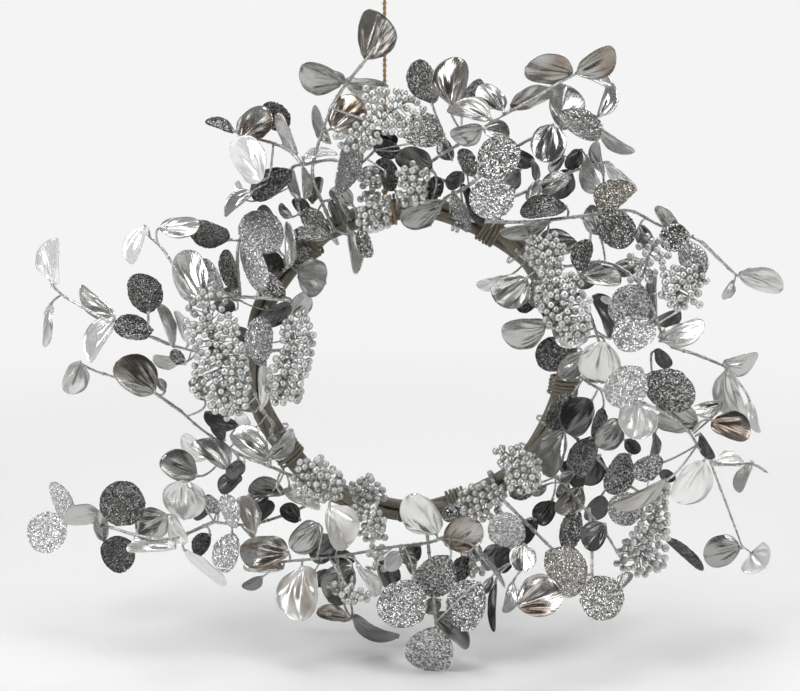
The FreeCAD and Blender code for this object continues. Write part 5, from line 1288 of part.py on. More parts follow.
-144.34,-27.59,-79.61 -146.31,-28.84,-75.74 -148.69,-30.18,-72.13 -151.28,-31.55,-68.68
petiole -105.97,-42.59,-102.33 -103.05,-39.98,-100.12 -102.75,-37.16,-96.58
-103.72,-34.48,-92.99 -105.1,-32.06,-89.35
petiole -120.43,-41.37,-105.38 -117.23,-40.91,-102.8 -114.72,-42.35,-99.81
-112.38,-41.06,-96.87 -110.49,-38.53,-94.15 -108.72,-37.08,-90.68 -107.14,-36.1,-86.94
petiole -108.76,-52.71,-99.93 -111.37,-50.57,-97.46 -112.35,-48.4,-94.06
-111.87,-46.1,-90.6 -110.67,-43.71,-87.36 -109.1,-41.58,-84.11
petiole -67.17,-42.06,-102.5 -67.04,-37.72,-103.75 -66.97,-33.36,-104.94
-66.99,-28.97,-106.04 -67.03,-24.58,-107.12 -67.08,-20.19,-108.18 -67.14,-15.8,-109.24
-67.2,-11.4,-110.29
small -157.86,-17.31,-64.12 -159.24,-17.29,-65.56 -160.71,-17.19,-66.9
petiole -133.35,-19.62,-134.97 -133.1,-20.38,-136.61 -132.74,-21.07,-138.26
petiole -94.67,-20.93,-134.53 -96.17,-17.93,-131.24 -98.83,-15.46,-128.17
petiole -167.63,-15.88,-118.19 -165.26,-19.31,-117.64 -164.52,-23.21,-119.13
-164.66,-26.91,-121.27 -165,-30.7,-123.24 -165.47,-34.42,-125.31 -165.98,-38.18,-127.32
-166.5,-42,-129.18
small -153.53,-22.03,7.38 -149.4,-24.41,6.64 -145.15,-26.53,7.47 -141.15,-28.34,9.51
-137.4,-29.96,12.1
petiole -173.54,-23.13,-27.19 -173.36,-22.43,-31.47 -175.49,-21.59,-35.12
-178.84,-20.62,-37.75 -182.54,-19.52,-39.8 -186.39,-18.39,-41.56 -190.37,-17.44,-43.11
stalk -76.55,-72.09,-83.07 -76.57,-67.79,-84.57 -76.71,-63.45,-85.97 -76.88,-59.11,-87.36
-77.04,-54.78,-88.75 -77.2,-50.44,-90.14 -77.37,-46.1,-91.53 -77.53,-41.76,-92.92
-77.7,-37.43,-94.31 -77.86,-33.09,-95.69 -78.02,-28.75,-97.08 -78.19,-24.41,-98.47
-78.35,-20.08,-99.86 -78.52,-15.74,-101.25 -78.68,-11.4,-102.64
""",
"left_upper_stems": """
main -193.92,-16.56,-39.57 -199.51,-20.44,-33.97 -204.56,-25.11,-28.47 -208.91,-30.66,-23.2
-214.08,-35.44,-18.01 -221.6,-34.8,-13.93 -229.17,-31.01,-11.47 -237.04,-27.7,-9.34
-245.37,-25.86,-7.17 -253.86,-25.07,-4.94 -262.26,-24.96,-2.29 -270.13,-26.01,1.48
-277.07,-28.29,6.39
main -99,-55.03,66.57 -106.75,-59.41,68.14 -115.36,-61.76,69.33 -124.16,-60.38,69.63
-130.63,-54.3,68.62 -135.48,-46.82,67.09 -141.64,-40.47,65.62 -150.38,-39.78,64.94
-158.19,-44.2,65.15 -164.54,-50.57,66.01 -171.44,-55.99,67.89 -178.64,-55.45,72.85
-184.08,-51.13,78.61 -188.92,-45.86,84.15 -193.57,-40.43,89.7 -198.26,-35.72,95.82
-203.32,-32.2,102.42 -209.19,-28.88,108.43 -215.76,-24.86,113.17
main -141.41,-35.4,64.67 -141.81,-36.87,74.09 -142.45,-36.37,83.59 -143.03,-34.47,92.92
-142.93,-31.99,102.14 -141.2,-28.77,110.93 -136.89,-25.05,118.55 -130.39,-22.27,124.94
-123.1,-20.45,130.83
main -104.8,-34.38,19.16 -113.68,-34.02,18.63 -122.42,-32.64,17.85 -130.77,-29.78,16.75
-138.72,-25.99,15.48 -146.72,-22.3,14.29 -155.31,-20.27,13.55 -164.05,-21.52,13.8
-171.7,-25.77,15.15 -178.22,-31.41,17.34 -185.27,-36.03,20.02 -193.71,-36.54,22.44
-202.18,-34.63,24.38
petiole -149.91,-31.38,111.92 -146.28,-30.85,111.43 -142.68,-29.97,111.27
petiole -172.01,-61.92,68.97 -172.88,-61.36,68.58 -173.76,-60.8,68.2
petiole -108.39,-52.5,107.79 -107.66,-48.37,105.88 -106.81,-44.31,103.88
-105.96,-40.23,101.92 -105.18,-36.09,100.07 -104.4,-31.94,98.24 -103.56,-27.8,96.4
-102.58,-23.73,94.49 -101.6,-19.64,92.61 -100.67,-15.51,90.79 -99.7,-11.4,88.96
petiole -124.39,-65.47,74.77 -124.69,-65.13,72.76 -125.04,-64.81,70.75
petiole -143.43,-39.76,72.42 -142.48,-38.88,72.62 -141.54,-38.01,72.83
petiole -158.03,-44.57,65.05 -159.29,-45.33,65.15 -160.56,-46.08,65.26
petiole -105.8,-30.14,86.4 -105.75,-25.45,85.26 -105.68,-20.76,84.11 -105.58,-16.08,82.96
-105.46,-11.4,81.79
petiole -104.48,-59.27,68.37 -104.13,-57.84,67.79 -103.78,-56.41,67.21
petiole -100.36,-68.74,96.22 -100.54,-64.3,95.47 -100.77,-59.89,94.57 -101,-55.48,93.66
-101.24,-51.07,92.74 -101.48,-46.66,91.83 -101.71,-42.26,90.92 -101.95,-37.85,90.01
-102.18,-33.44,89.09 -102.42,-29.03,88.18 -102.65,-24.62,87.27 -102.89,-20.22,86.36
-103.12,-15.81,85.44 -103.36,-11.4,84.53
petiole -93.66,-41.37,87.93 -94.95,-37.15,87.65 -96.16,-32.91,87.41 -97.27,-28.64,87.24
-98.32,-24.34,87.14 -99.32,-20.04,87.11 -100.27,-15.72,87.14 -101.18,-11.4,87.21
petiole -51.57,-38.49,122.51 -51.94,-33.95,122.52 -52.35,-29.42,122.52 -52.87,-24.89,122.52
-53.48,-20.38,122.52 -54.2,-15.89,122.54 -54.98,-11.4,122.57
petiole -41.67,-40.95,125.48 -42.09,-36.73,125.72 -42.5,-32.52,125.93 -42.88,-28.29,126.09
-43.24,-24.07,126.24 -43.6,-19.84,126.42 -43.96,-15.62,126.64 -44.33,-11.4,126.9
petiole -196.92,-37.63,22.55 -195.83,-37.11,22.64 -194.74,-36.58,22.74
petiole -184.95,-40.32,24.94 -186.02,-40.19,23.13 -187.19,-40.01,21.39
petiole -203.44,-58.14,127.1 -205.42,-54.14,125.39 -206.94,-50.15,123.25
-207.89,-46.17,120.77 -208.44,-42.2,118.17 -208.73,-38.21,115.55 -208.87,-34.21,112.94
-208.93,-30.2,110.33
petiole -219.71,-24.21,122.29 -216.9,-24.23,118.15 -215.76,-24.86,113.17
petiole -277.45,-25.65,6.58 -277.26,-26.97,6.48 -277.07,-28.29,6.39
petiole -213.15,-43.13,-14.74 -213.38,-41.64,-15.55 -213.62,-40.15,-16.37
petiole -192.42,-20.37,5.22 -189.07,-23.14,6.26 -185.8,-25.56,8.08 -182.91,-27.73,10.69
-180.43,-29.8,13.78 -178.22,-31.81,17.1
small -206.34,-29.65,-17.55 -207.93,-31.12,-19.73 -210.37,-32.11,-21.33
small -189.87,-36.92,7.76 -185.81,-37.76,10.11 -183.88,-37.7,14.67 -182.6,-37.4,19.46
small -146.98,-20.16,50.09 -145.02,-23.84,51.65 -144.01,-27.21,54.36 -143.73,-30.47,57.39
-143.81,-33.54,60.61 -144.31,-35.42,64.61
petiole -112.17,-26.35,119.34 -115.27,-24.6,121.44 -117.95,-23.42,124.61
-120.53,-21.95,127.71 -123.1,-20.45,130.83
petiole -83.78,-18.43,100.91 -85.4,-15.07,102.01 -86.73,-11.4,102.01
stalk -159.44,-77.18,26.95 -162.03,-73.52,26.35 -164.61,-69.84,25.74 -167.17,-66.16,25.13
-169.63,-62.41,24.49 -171.91,-58.56,23.8 -174.34,-54.79,23.15 -176.92,-51.12,22.55
-179.53,-47.47,21.95 -182.14,-43.82,21.35 -184.76,-40.17,20.76
stalk -97.86,-69.14,19.47 -98.72,-64.79,19.42 -99.61,-60.45,19.42 -100.5,-56.11,19.43
-101.35,-51.76,19.36 -102.21,-47.42,19.3 -103.12,-43.08,19.32 -103.98,-38.73,19.28
-104.8,-34.38,19.16
""",
}


def read_stems(table):
    """Pairs of radius and centre line."""
    stems = []
    for word in table.split():
        if word in STEM_RADII:
            stems.append((STEM_RADII[word], []))
        else:
            stems[-1][1].append(V(*numbers(word)))
    return stems


def stem_solid(radius, points):
    sides = 8 if radius > THICK_STEM else 6
    runs = []
    for start, end in zip(points, points[1:]):
        run = end - start
        run.normalize()
        runs.append(run)
    across = V(0, 1, 0).cross(runs[0])
    # A first run almost along Y needs another reference.
    if across.Length < 0.1:
        across = V(1, 0, 0).cross(runs[0])
    across.normalize()
    other = runs[0].cross(across)
    ring = []
    for k in range(sides):
        angle = 2 * math.pi * k / sides
        offset = across * (radius * math.cos(angle)) + other * (radius * math.sin(angle))
        ring.append(points[0] + offset)
    rings = [ring]
    # Each ring is carried along its run to the mitre plane at the next point.
    for i, run in enumerate(runs):
        joint = points[i + 1]
        cut = run + runs[i + 1] if i + 1 < len(runs) else run
        ring = [p + run * ((joint - p).dot(cut) / run.dot(cut)) for p in ring]
        rings.append(ring)
    loops = [rings[0], rings[-1]]
    for lower, upper in zip(rings, rings[1:]):
        for k in range(sides):
            following = (k + 1) % sides
            loops.append([lower[k], lower[following], upper[following], upper[k]])
    return faceted_solid(loops)


for label, table in STEMS.items():
    keep_solids(label, [stem_solid(*stem) for stem in read_stems(table)])

# ---------------------------------------------------------------- berries
# A berry is a twenty-sided bead.  The table gives the centres x,y,z.
BERRIES = {
"crown_left_berries": """
-3.8,-85.8,228.1 -27.1,-93.9,217.9 -25.4,-93.9,203.6 -2.8,-91.1,220 -55.3,-91.5,206.8
-21.1,-92.5,223.6 -8.1,-94.9,209 -23.2,-87.6,233.6 -33.8,-94,198.9 -25.7,-83,241.8
-11.8,-82.6,240.9 -20,-83.8,240.8 -55.3,-90.4,199.4 -33.3,-93.8,221.9 -5.8,-80.8,239.2
-16.6,-87.7,229.9 -28.7,-87.5,235 -5.3,-86,236 -47.5,-93.3,204.6 -27,-96.5,208.9
1.2,-87.6,225.8 -20.9,-93.9,210.6 4.3,-88.8,215.7 -9.5,-92.7,216.3 -59.4,-88,206.2
-33.5,-93.4,210.2 -38.2,-90.2,221.8 -47.4,-91.4,210.8 -39.4,-93.1,212.4 -15,-86.4,234.8
-44.3,-94.7,199.2 -3.6,-93.2,211.5 -29.8,-96.8,203.1 -36.2,-85.5,236.9 -9.1,-89.8,220.8
-15.4,-94.1,210.7 -29.1,-90.5,225.9 -31,-83.5,239.3 4.4,-84.5,232.5 -24.7,-89.8,229.1
-33.9,-89.8,230 0.2,-82.7,235.2 9.3,-84.2,227.4 -30.7,-95.9,214.8 -43.5,-91.4,215.3
5.6,-85.2,220.6 -38.5,-97.1,197.1 -43.1,-93,208 -20.7,-92,216.2 -8.9,-89.6,230.4
-10.2,-83.7,235.1 -12.3,-92.4,223.8 -15.6,-93.6,216.6 -39.5,-93.9,201.3 -50.9,-92.9,197.2
-35.7,-92.8,217 -35.9,-83,243.3 -36.1,-95.9,205.1 -28.2,-45.6,172 -40.9,-44,170.6
-35.1,-53.4,163.4 -27.4,-47.5,166.4 -31.7,-48.9,155.3 -40.4,-50.3,166.2 -34.4,-48.6,169.3
-36.6,-48.3,153 -31.1,-53.5,159.2 -38.9,-51.2,160.4 -26.9,-49.7,160.9 -33.4,-42.2,172.8
-27,-46.4,152.6 -30.6,-52.4,165.9 -39.1,-61.5,143.1 -36.5,-64.9,133.9 -33.7,-64.4,147.9
-21.4,-64.7,143.2 -40.9,-55.8,150.4 -28.6,-63.9,127 -24.2,-61.9,148.7 -26.8,-65,139
-42.5,-63.4,133 -32.4,-65.5,141.3 -28.3,-68.3,133 -18.2,-61.2,140.7 -20.4,-64.9,135.9
-20.4,-56.6,151.3 -21.4,-62.4,129.7 -28.4,-59.7,151.6 -32.2,-67.5,128.8 -37.2,-67.5,139.1
-28.6,-63.5,145.6 -34,-57.5,150 -41.1,-61.5,137.8 -31,-70,137.4 -19.1,-59.7,146.1
-36.5,-63.2,128.4 -24.6,-67,129.5 -19,-56.9,129.2 -23.2,-59.4,140.5 -41.1,-55.6,141.6
-38.1,-59.8,132.8 -23.6,-60,134.4 -32.7,-61.4,135.6 -24.2,-53.3,149 -18.8,-51.5,149.4
-32.8,-59.5,125.7
""",
"right_upper_berries": """
-4.6,-77.8,165 12.4,-72.2,170.2 -5.3,-74.6,150.1 -5.6,-73.2,170.9 -3.5,-75.9,157.6
1,-76.6,170.9 1.2,-66.4,180.9 -10.4,-71.3,173.7 -0.5,-79,161.6 2.7,-77.8,155.5
3.4,-69.4,177 9,-76,156.1 -5.3,-71.8,177.5 -9.3,-75.5,158.8 8.3,-72.8,173.9
9.6,-74,162 3.6,-74.1,151.8 -8.6,-73.3,165.8 6.5,-73.9,166.3 1.9,-76.5,165.6
11.9,-68.6,175.6 0.8,-74.5,176.5 6.2,-78.6,162.5 9.1,-72.4,152.1 0.2,-71.2,161.1
12.8,-64.6,172.3 -5.8,-68.9,152 -2,-66.5,174.1 3.2,-68.8,150.3 10.5,-69.5,165.2
10.6,-69.8,157.2 4.1,-71.6,157.1 7.1,-66.6,171.8 -2.4,-71.7,166.9 104.6,-96.3,112.2
110,-97.3,105.1 109.6,-94.2,109.7 118.9,-93,109.2 96.6,-93.9,111.2 96.3,-93.2,116.3
93.8,-87.8,116.7 97.1,-90.2,121.4 112.2,-91.7,119.8 119.5,-92.2,101.3 121.4,-86.7,117.6
101.7,-89,123.9 109.4,-95.4,99.7 106.6,-94,122.5 92.4,-89.9,112.1 101.2,-96.6,107.5
100.1,-92.5,101.9 109.7,-88.6,125.4 109.1,-96.9,114.7 121.1,-91.4,114.6 115.6,-88.2,122.7
102.9,-94.2,118.7 115.7,-92.5,114.1 114.5,-85.5,127.4 104.7,-95.4,102.6 96.9,-85.7,125.4
96.1,-93.8,105.3 114,-92.5,100.4 117.8,-91.9,118.9 116.1,-94.7,105 100.1,-96.7,114.8
110.8,-86,119.8 96.5,-79.8,123.1 118,-86.8,101.1 122.8,-83.2,113.1 104,-87.2,98.2
97.8,-87.8,111.5 93.8,-85,109.2 138.7,-117.8,74.2 114.1,-110.8,95.2 106.3,-109,94.3
127.3,-122,58.9 131.8,-122.1,48.8 105.6,-114.4,85.2 111.1,-107.8,100.4 106.7,-116.7,80.4
120.5,-121.6,49.5 122.5,-122.4,66.3 139.2,-119.1,53.7 120.6,-119.1,85.7 125.7,-117.5,76.9
129.3,-118.7,71.8 126.7,-106.8,98.6 130,-111.8,97.5 126.3,-115.8,92 119.7,-118,78.7
116.5,-120.7,58.6 121.5,-114.8,90.7 106.4,-119.1,65.3 109.8,-117.6,84.8 132.1,-116.7,81.1
126.2,-120.1,82.3 113.9,-119.3,73.5 135.2,-121.4,60 102.8,-118.3,75.6 131.1,-121.5,53.8
123.7,-121.8,53.6 114.9,-118.3,83.2 109.9,-112.1,89.6 110,-120.2,77.5 134.3,-114.3,85.7
140.2,-118.5,61.1 114.8,-114.1,86.5 104.2,-110.4,89.8 118.5,-123.7,63 122.6,-121.3,72.4
133.6,-118.8,65.7 134.7,-119.8,77.9 108.7,-122.9,62.4 119.8,-110.4,93.8 116.6,-105.9,100.5
116,-123.6,67.9 126.4,-109.8,94.3 122,-110.8,98.7 102.7,-108.7,100.1 106.7,-118.5,71.9
141.2,-115.4,79.9 139.3,-119.5,66.9 99.4,-114.9,82.1 127.1,-117.2,86.9 126.1,-122,46.5
110.9,-120.4,69 121.7,-121.8,58.7 133.7,-111.8,92.9 134.6,-117.7,51.4 100.1,-114,89
128.2,-120,64.7 134,-120.4,72.7 103.4,-113.1,72.1 120.6,-116.6,64 123.9,-110.8,84
113.5,-115.5,65.8 118.8,-112.6,80.5 119.5,-118.3,69.1 120.1,-110.3,88.2 131.2,-105.6,94.4
135.8,-109.6,82.5 112.2,-115.2,58.8 128,-109.5,88.3 124.8,-114.8,70.5 124.1,-117,47.4
109.8,-113,77.1 137.7,-113.7,61.1 112.5,-103.2,97 102.2,-103,100.1 139.7,-111.7,71.1
129.4,-111.3,83.2 119.6,-117.4,54.1 194.2,-68.9,117.9 190.7,-66.5,121.5 207.2,-72.8,107.2
176.8,-73.9,107.2 190.9,-77.8,94.3 197.7,-74.2,112.3 190.9,-71.5,114 205.7,-68.5,116.2
191.7,-76.9,88.5 177.3,-74.4,87.7 200,-69,118.6 177.7,-74.1,101.5 197.7,-77.7,106.2
189,-73.2,109.2 201.5,-72.2,107.4 185,-73.9,90 182.6,-74.3,96.6 184.1,-69.4,114
196.4,-76,93.4 186.7,-75.1,103.2 192,-79.2,102.6 202.1,-76.3,102.6 226.5,-95,86.5
219.3,-92.1,69.3 217.6,-85.3,99.2 202.6,-85.7,93.8 219.7,-93.4,85.6 222.5,-93,92.2
204.9,-93.6,77.5 231.6,-88.3,86.8 212.2,-95,85.9 209.9,-91.7,91.4 229.8,-91,80.1
223.7,-95.1,79.2 217.6,-89.8,94.8 203.4,-90.6,84 226.2,-92.2,73.6 200.9,-90.1,78.2
214.7,-96.6,77.5 213.1,-94,68.9 226.8,-85.2,100.2 203.2,-90.9,89.3 201.8,-84.5,99.5
230.7,-93.5,71.4 208.8,-89.2,96.3 207.3,-95.5,83.6 207.7,-94.9,71.7 227.4,-88.5,94.1
209.2,-96.5,77.3 233.1,-86,93.4 222.3,-89,98.3 219.4,-93.5,74.8 210.4,-84.4,99.5
216.3,-92.7,90.2 222.1,-85,103.3 236.4,-84.9,89 226.6,-89.8,89.1 212.6,-89.4,99.9
230.5,-83.6,89.8 221.5,-78.8,101.3 210.7,-89.6,82.5 214.7,-90.1,79 213.9,-88.3,87.8
216.7,-87.9,70.4
""",
"right_lower_berries": """
83.9,-77.5,-57.1 92.4,-81.1,-69.4 101.2,-75.7,-77.4 74.7,-72.6,-58 75.3,-79.8,-67.3
87.7,-79,-64.1 82.5,-79,-62.1 86.7,-83.2,-72.8 99.1,-79.4,-85.8 93.9,-79.6,-78.6
80.4,-79.8,-73.2 91.8,-75.3,-57.5 84.3,-79.8,-81 76.2,-75.7,-62.1 101.1,-75.2,-65.6
96.5,-78,-66.9 103.4,-77.2,-82 83.3,-71.8,-55.6 105.1,-74.4,-71.7 89.7,-78.9,-82.3
96.5,-80,-73.1 105.6,-71.5,-66.9 94.1,-78.5,-61.9 88.1,-73.4,-53.6 80.7,-80.9,-66.8
79.2,-82,-78.6 97.7,-73.4,-60.4 70.2,-69.5,-58.3 94,-77.3,-86.4 80.2,-74.1,-79.8
88.4,-73.2,-64.4 75.7,-65.1,-56.7 92.5,-76.7,-73.8 74.3,-72.1,-67.2 88.8,-101.6,-82.1
96.5,-97.5,-61 80.8,-100.8,-70.5 101,-102.8,-77.4 81,-94.8,-65.9 92.8,-105.1,-76.2
98.3,-103.5,-69.9 103,-97.3,-70.7 81,-102.1,-79.4 86,-101.4,-68.8 91.4,-99.7,-64.5
95.3,-103.8,-81.2 92.1,-100.9,-69.9 88.8,-102.3,-74.2 99.6,-100,-65.3 91.3,-95.5,-60.8
84.9,-96,-62.4 104.3,-98,-75.9 83.4,-103.3,-74.3 80.3,-98,-75.9 99.8,-99,-81.5
99.6,-91.4,-66 82.4,-95.9,-80.8 91.2,-98.3,-78.5 97.7,-97,-73.2 78.2,-89.1,-64.9
185.7,-82.4,-155.4 178.1,-83,-148.1 200.8,-63.5,-92 195,-82.9,-161.1 183,-80.9,-138.7
209.7,-83.3,-153 205.6,-77.5,-115 206.1,-80,-136.4 205,-69.5,-103.6 212.7,-76.3,-118
213.5,-63.4,-90.6 198,-84,-143.5 199.3,-76.2,-113.3 204.7,-82,-157.6 193.6,-79.2,-123.7
197.5,-79.8,-135.6 187.6,-81.5,-148 199.8,-68,-99.5 211.2,-81,-147.5 208,-64.4,-96.5
202.1,-76.9,-120.5 195.1,-82.9,-151.5 199.1,-79.9,-130.2 173.8,-80.6,-142.2 180,-84,-156
198.3,-70.6,-108.2 192.1,-82.6,-137.2 189.6,-80.2,-128.2 202.2,-83.9,-140
205.5,-81.7,-145.4 193.5,-74.6,-113.9 213.2,-72.7,-112.9 204.9,-81.5,-129.9
171.7,-78.8,-153 212.3,-76.9,-125.5 211.7,-79.9,-139.4 190.7,-78.5,-118.2
206.2,-71.2,-108.7 176.6,-80,-156.8 214.2,-63.7,-96.2 211.2,-73,-106.8 210.4,-80.1,-129.4
187.7,-82.7,-141.6 184.5,-82.5,-132.8 179.6,-79.8,-133.7 198.7,-83.2,-156.2
203.9,-84,-151.2 182.6,-80.6,-144.4 211.9,-66.8,-104 187.9,-77.2,-123.1 193.6,-82.5,-131.9
207.4,-78.9,-120.5 200.1,-81,-123.8 188.7,-81.2,-161.7 211.7,-68.2,-98.5 190.7,-85,-157.3
184.1,-79.7,-127.2 206.5,-64.4,-90.6 177.6,-82.2,-138.5 203.6,-75.8,-143.6
199.5,-71.5,-117.8 175.1,-75.9,-146.1 193.7,-73.9,-127.6 198.4,-62.5,-97 203.3,-68.5,-114.8
201.9,-76.6,-152.9 187.8,-77.8,-133.7 205.4,-70.9,-119.4 202.4,-73.9,-126.1
208.5,-72.1,-126.5 198.8,-77.9,-158.2 205.9,-76.5,-158.9 210.8,-70.4,-120.6
214,-75.2,-132.3 180.1,-75.1,-140.9 196.9,-77.5,-143.2 204.5,-61.6,-100.3
196.1,-77.7,-150.6 177.4,-75.8,-151.7 197.1,-63,-103.8 178.4,-74.5,-135.7 212.3,-58.3,-95.5
""",
"bottom_berries": """
-28.8,-55.6,-107.3 -42.6,-53.8,-89.7 -34.8,-59.5,-101.6 -33.1,-55.4,-87.4 -48.3,-55.4,-96.9
-28.8,-57.2,-97.4 -23.7,-53.3,-97.3 -40.2,-57.8,-99.1 -39.8,-59.9,-104.7 -48.9,-52,-92.6
-21.8,-52.6,-104.3 -33,-59.1,-93.5 -38.1,-56.6,-91.4 -44.7,-56,-104.7 -27.7,-54,-92
-34.7,-49.6,-86.2 -43.1,-57.4,-94.2 -28,-59.6,-102.6 -34.9,-57.4,-107 -40,-47.3,-89.7
-49.8,-47,-97.6 -33.1,-54.1,-99.2 -46.1,-50.4,-99.6 -46,-50.5,-105.7 -40.6,-53.3,-107.2
-46.7,-73.7,-122.9 -38.4,-79.9,-125.7 -26.2,-72.5,-111 -33.9,-77.4,-117 -23.8,-75.5,-124.5
-46,-76.2,-115.8 -41.9,-71.2,-109.5 -31.7,-75.7,-110.1 -38.5,-77.5,-112.8 -48,-70.5,-112.9
-30.4,-78.5,-127.6 -26.9,-74.8,-131 -46.8,-67.2,-107.9 -28.2,-74,-116.4 -31.2,-71.2,-106.9
-36.5,-69.2,-106.2 -51,-70.3,-119.3 -38.7,-76.7,-120.7 -37.3,-74.6,-133 -36.8,-71.9,-111
-22.5,-73.8,-116.9 -52.8,-68,-108.8 -33.1,-78.3,-122.8 -28.1,-77.3,-121 -43.1,-76.9,-127.3
-21.6,-74.2,-131.8 -30,-65.9,-106.6 -32,-77.5,-132.8 -23.4,-68.5,-124.2 -49.2,-64.6,-112.5
-42.6,-71.1,-116.8 -27.6,-70.6,-121 -24.2,-56.8,-146.2 -32.3,-53.6,-146.8 -29,-66.2,-157.8
-36,-61.4,-164.2 -34.6,-59.2,-151.7 -30.2,-62.6,-162.7 -22.4,-61.3,-163.8 -24.6,-60.2,-150.6
-30.2,-62.8,-151.7 -24.5,-64.9,-152.8 -63.6,-84.4,-169.2 -49.5,-87.1,-170 -41.8,-89.1,-180
-62.2,-84.6,-176.3 -47.4,-91.1,-175.7 -57.1,-90.7,-175.8 -56.4,-86.5,-168.6 -51.8,-92,-181.2
-41.5,-88.8,-173.1 -34.9,-87.3,-176.8 -55.2,-87.6,-181 -47,-89.7,-182.3 -36.5,-86.1,-182.4
-52.8,-90.6,-172 -67.7,-80.6,-171.8 65.3,-76.8,-103.3 53.9,-77.3,-98.5 71.5,-69.6,-94.7
43.8,-70.9,-110.2 59.8,-74.9,-115.5 44.8,-69.9,-100 43.9,-75,-106.1 57,-78,-109.6
69.4,-75.2,-100.1 53.4,-71.9,-94.3 73.6,-72.3,-102.9 52.1,-76.5,-113.1 72.3,-72.1,-108.8
65.7,-74.8,-113.2 58.9,-74.7,-94.7 45.9,-69,-93.7 59.4,-75.6,-100.1 55.9,-70.1,-89.6
64.2,-70,-90.8 62.1,-76.2,-108 50.7,-73.6,-103 65.8,-74.9,-95.6 49.8,-77,-108
75.7,-68.7,-98.3 48.3,-75.5,-97.6 55.2,-78.7,-103.9 50.7,-68.9,-89.4 75.2,-65.5,-93.9
61.2,-67.3,-87.4 41.8,-66.5,-96.3 56.1,-71.1,-101.2 63.7,-70.1,-100.1 46.7,-62.8,-94.3
69.2,-65.8,-90.9 41.6,-65.7,-102.8 60.2,-62.1,-89.3 73.9,-68.2,-112.7 57.3,-72.4,-107.9
52.6,-71,-115.8 52.6,-63.8,-92 51.2,-57.8,-161.5 52.3,-60.7,-170.1 59.9,-64.3,-162.8
60.3,-60.5,-167.9 54,-65.6,-163.4
""",
"left_lower_berries": """
-77.3,-78.7,-93.5 -70.3,-72.2,-68.4 -92.8,-73.7,-72.5 -78,-81.6,-83.1 -89.4,-74.6,-78
-65.4,-75.5,-73.8 -85.2,-79.1,-77 -72.7,-74.9,-72.9 -58.5,-76.8,-88.4 -82.9,-80.6,-91
-71.5,-79.8,-85 -74.2,-79.8,-75.7 -87.5,-72.6,-71 -92.6,-76.8,-84.2 -87.6,-78.8,-87.2
-77.4,-73.2,-65.1 -64.7,-79.4,-80.8 -68.5,-79.2,-76.6 -69,-81.7,-93.7 -96.8,-73,-87.8
-59.5,-77.3,-82.6 -63.1,-79.3,-88.9 -96.6,-73.1,-80.3 -77,-78.4,-88 -59.6,-75.5,-75.3
-86.1,-68.9,-66.9 -74.4,-68.6,-63.9 -84.5,-80.5,-96.7 -80.8,-76.2,-77.3 -92.2,-76.4,-92.3
-58.6,-74.2,-96.1 -62.5,-79.4,-95.6 -81.3,-74.2,-68.7 -77.8,-77.2,-72.2 -56.6,-72.7,-84
-72.8,-79.1,-97.6 -83.7,-79.1,-83.3 -91.6,-71.6,-67.2 -79.2,-67.8,-70.1 -64.6,-67.7,-73.9
-71,-74.4,-91.1 -92.4,-66.8,-73.3 -71.1,-72.9,-80.3 -77.3,-74.5,-99.7 -59.2,-69.7,-79.4
""",
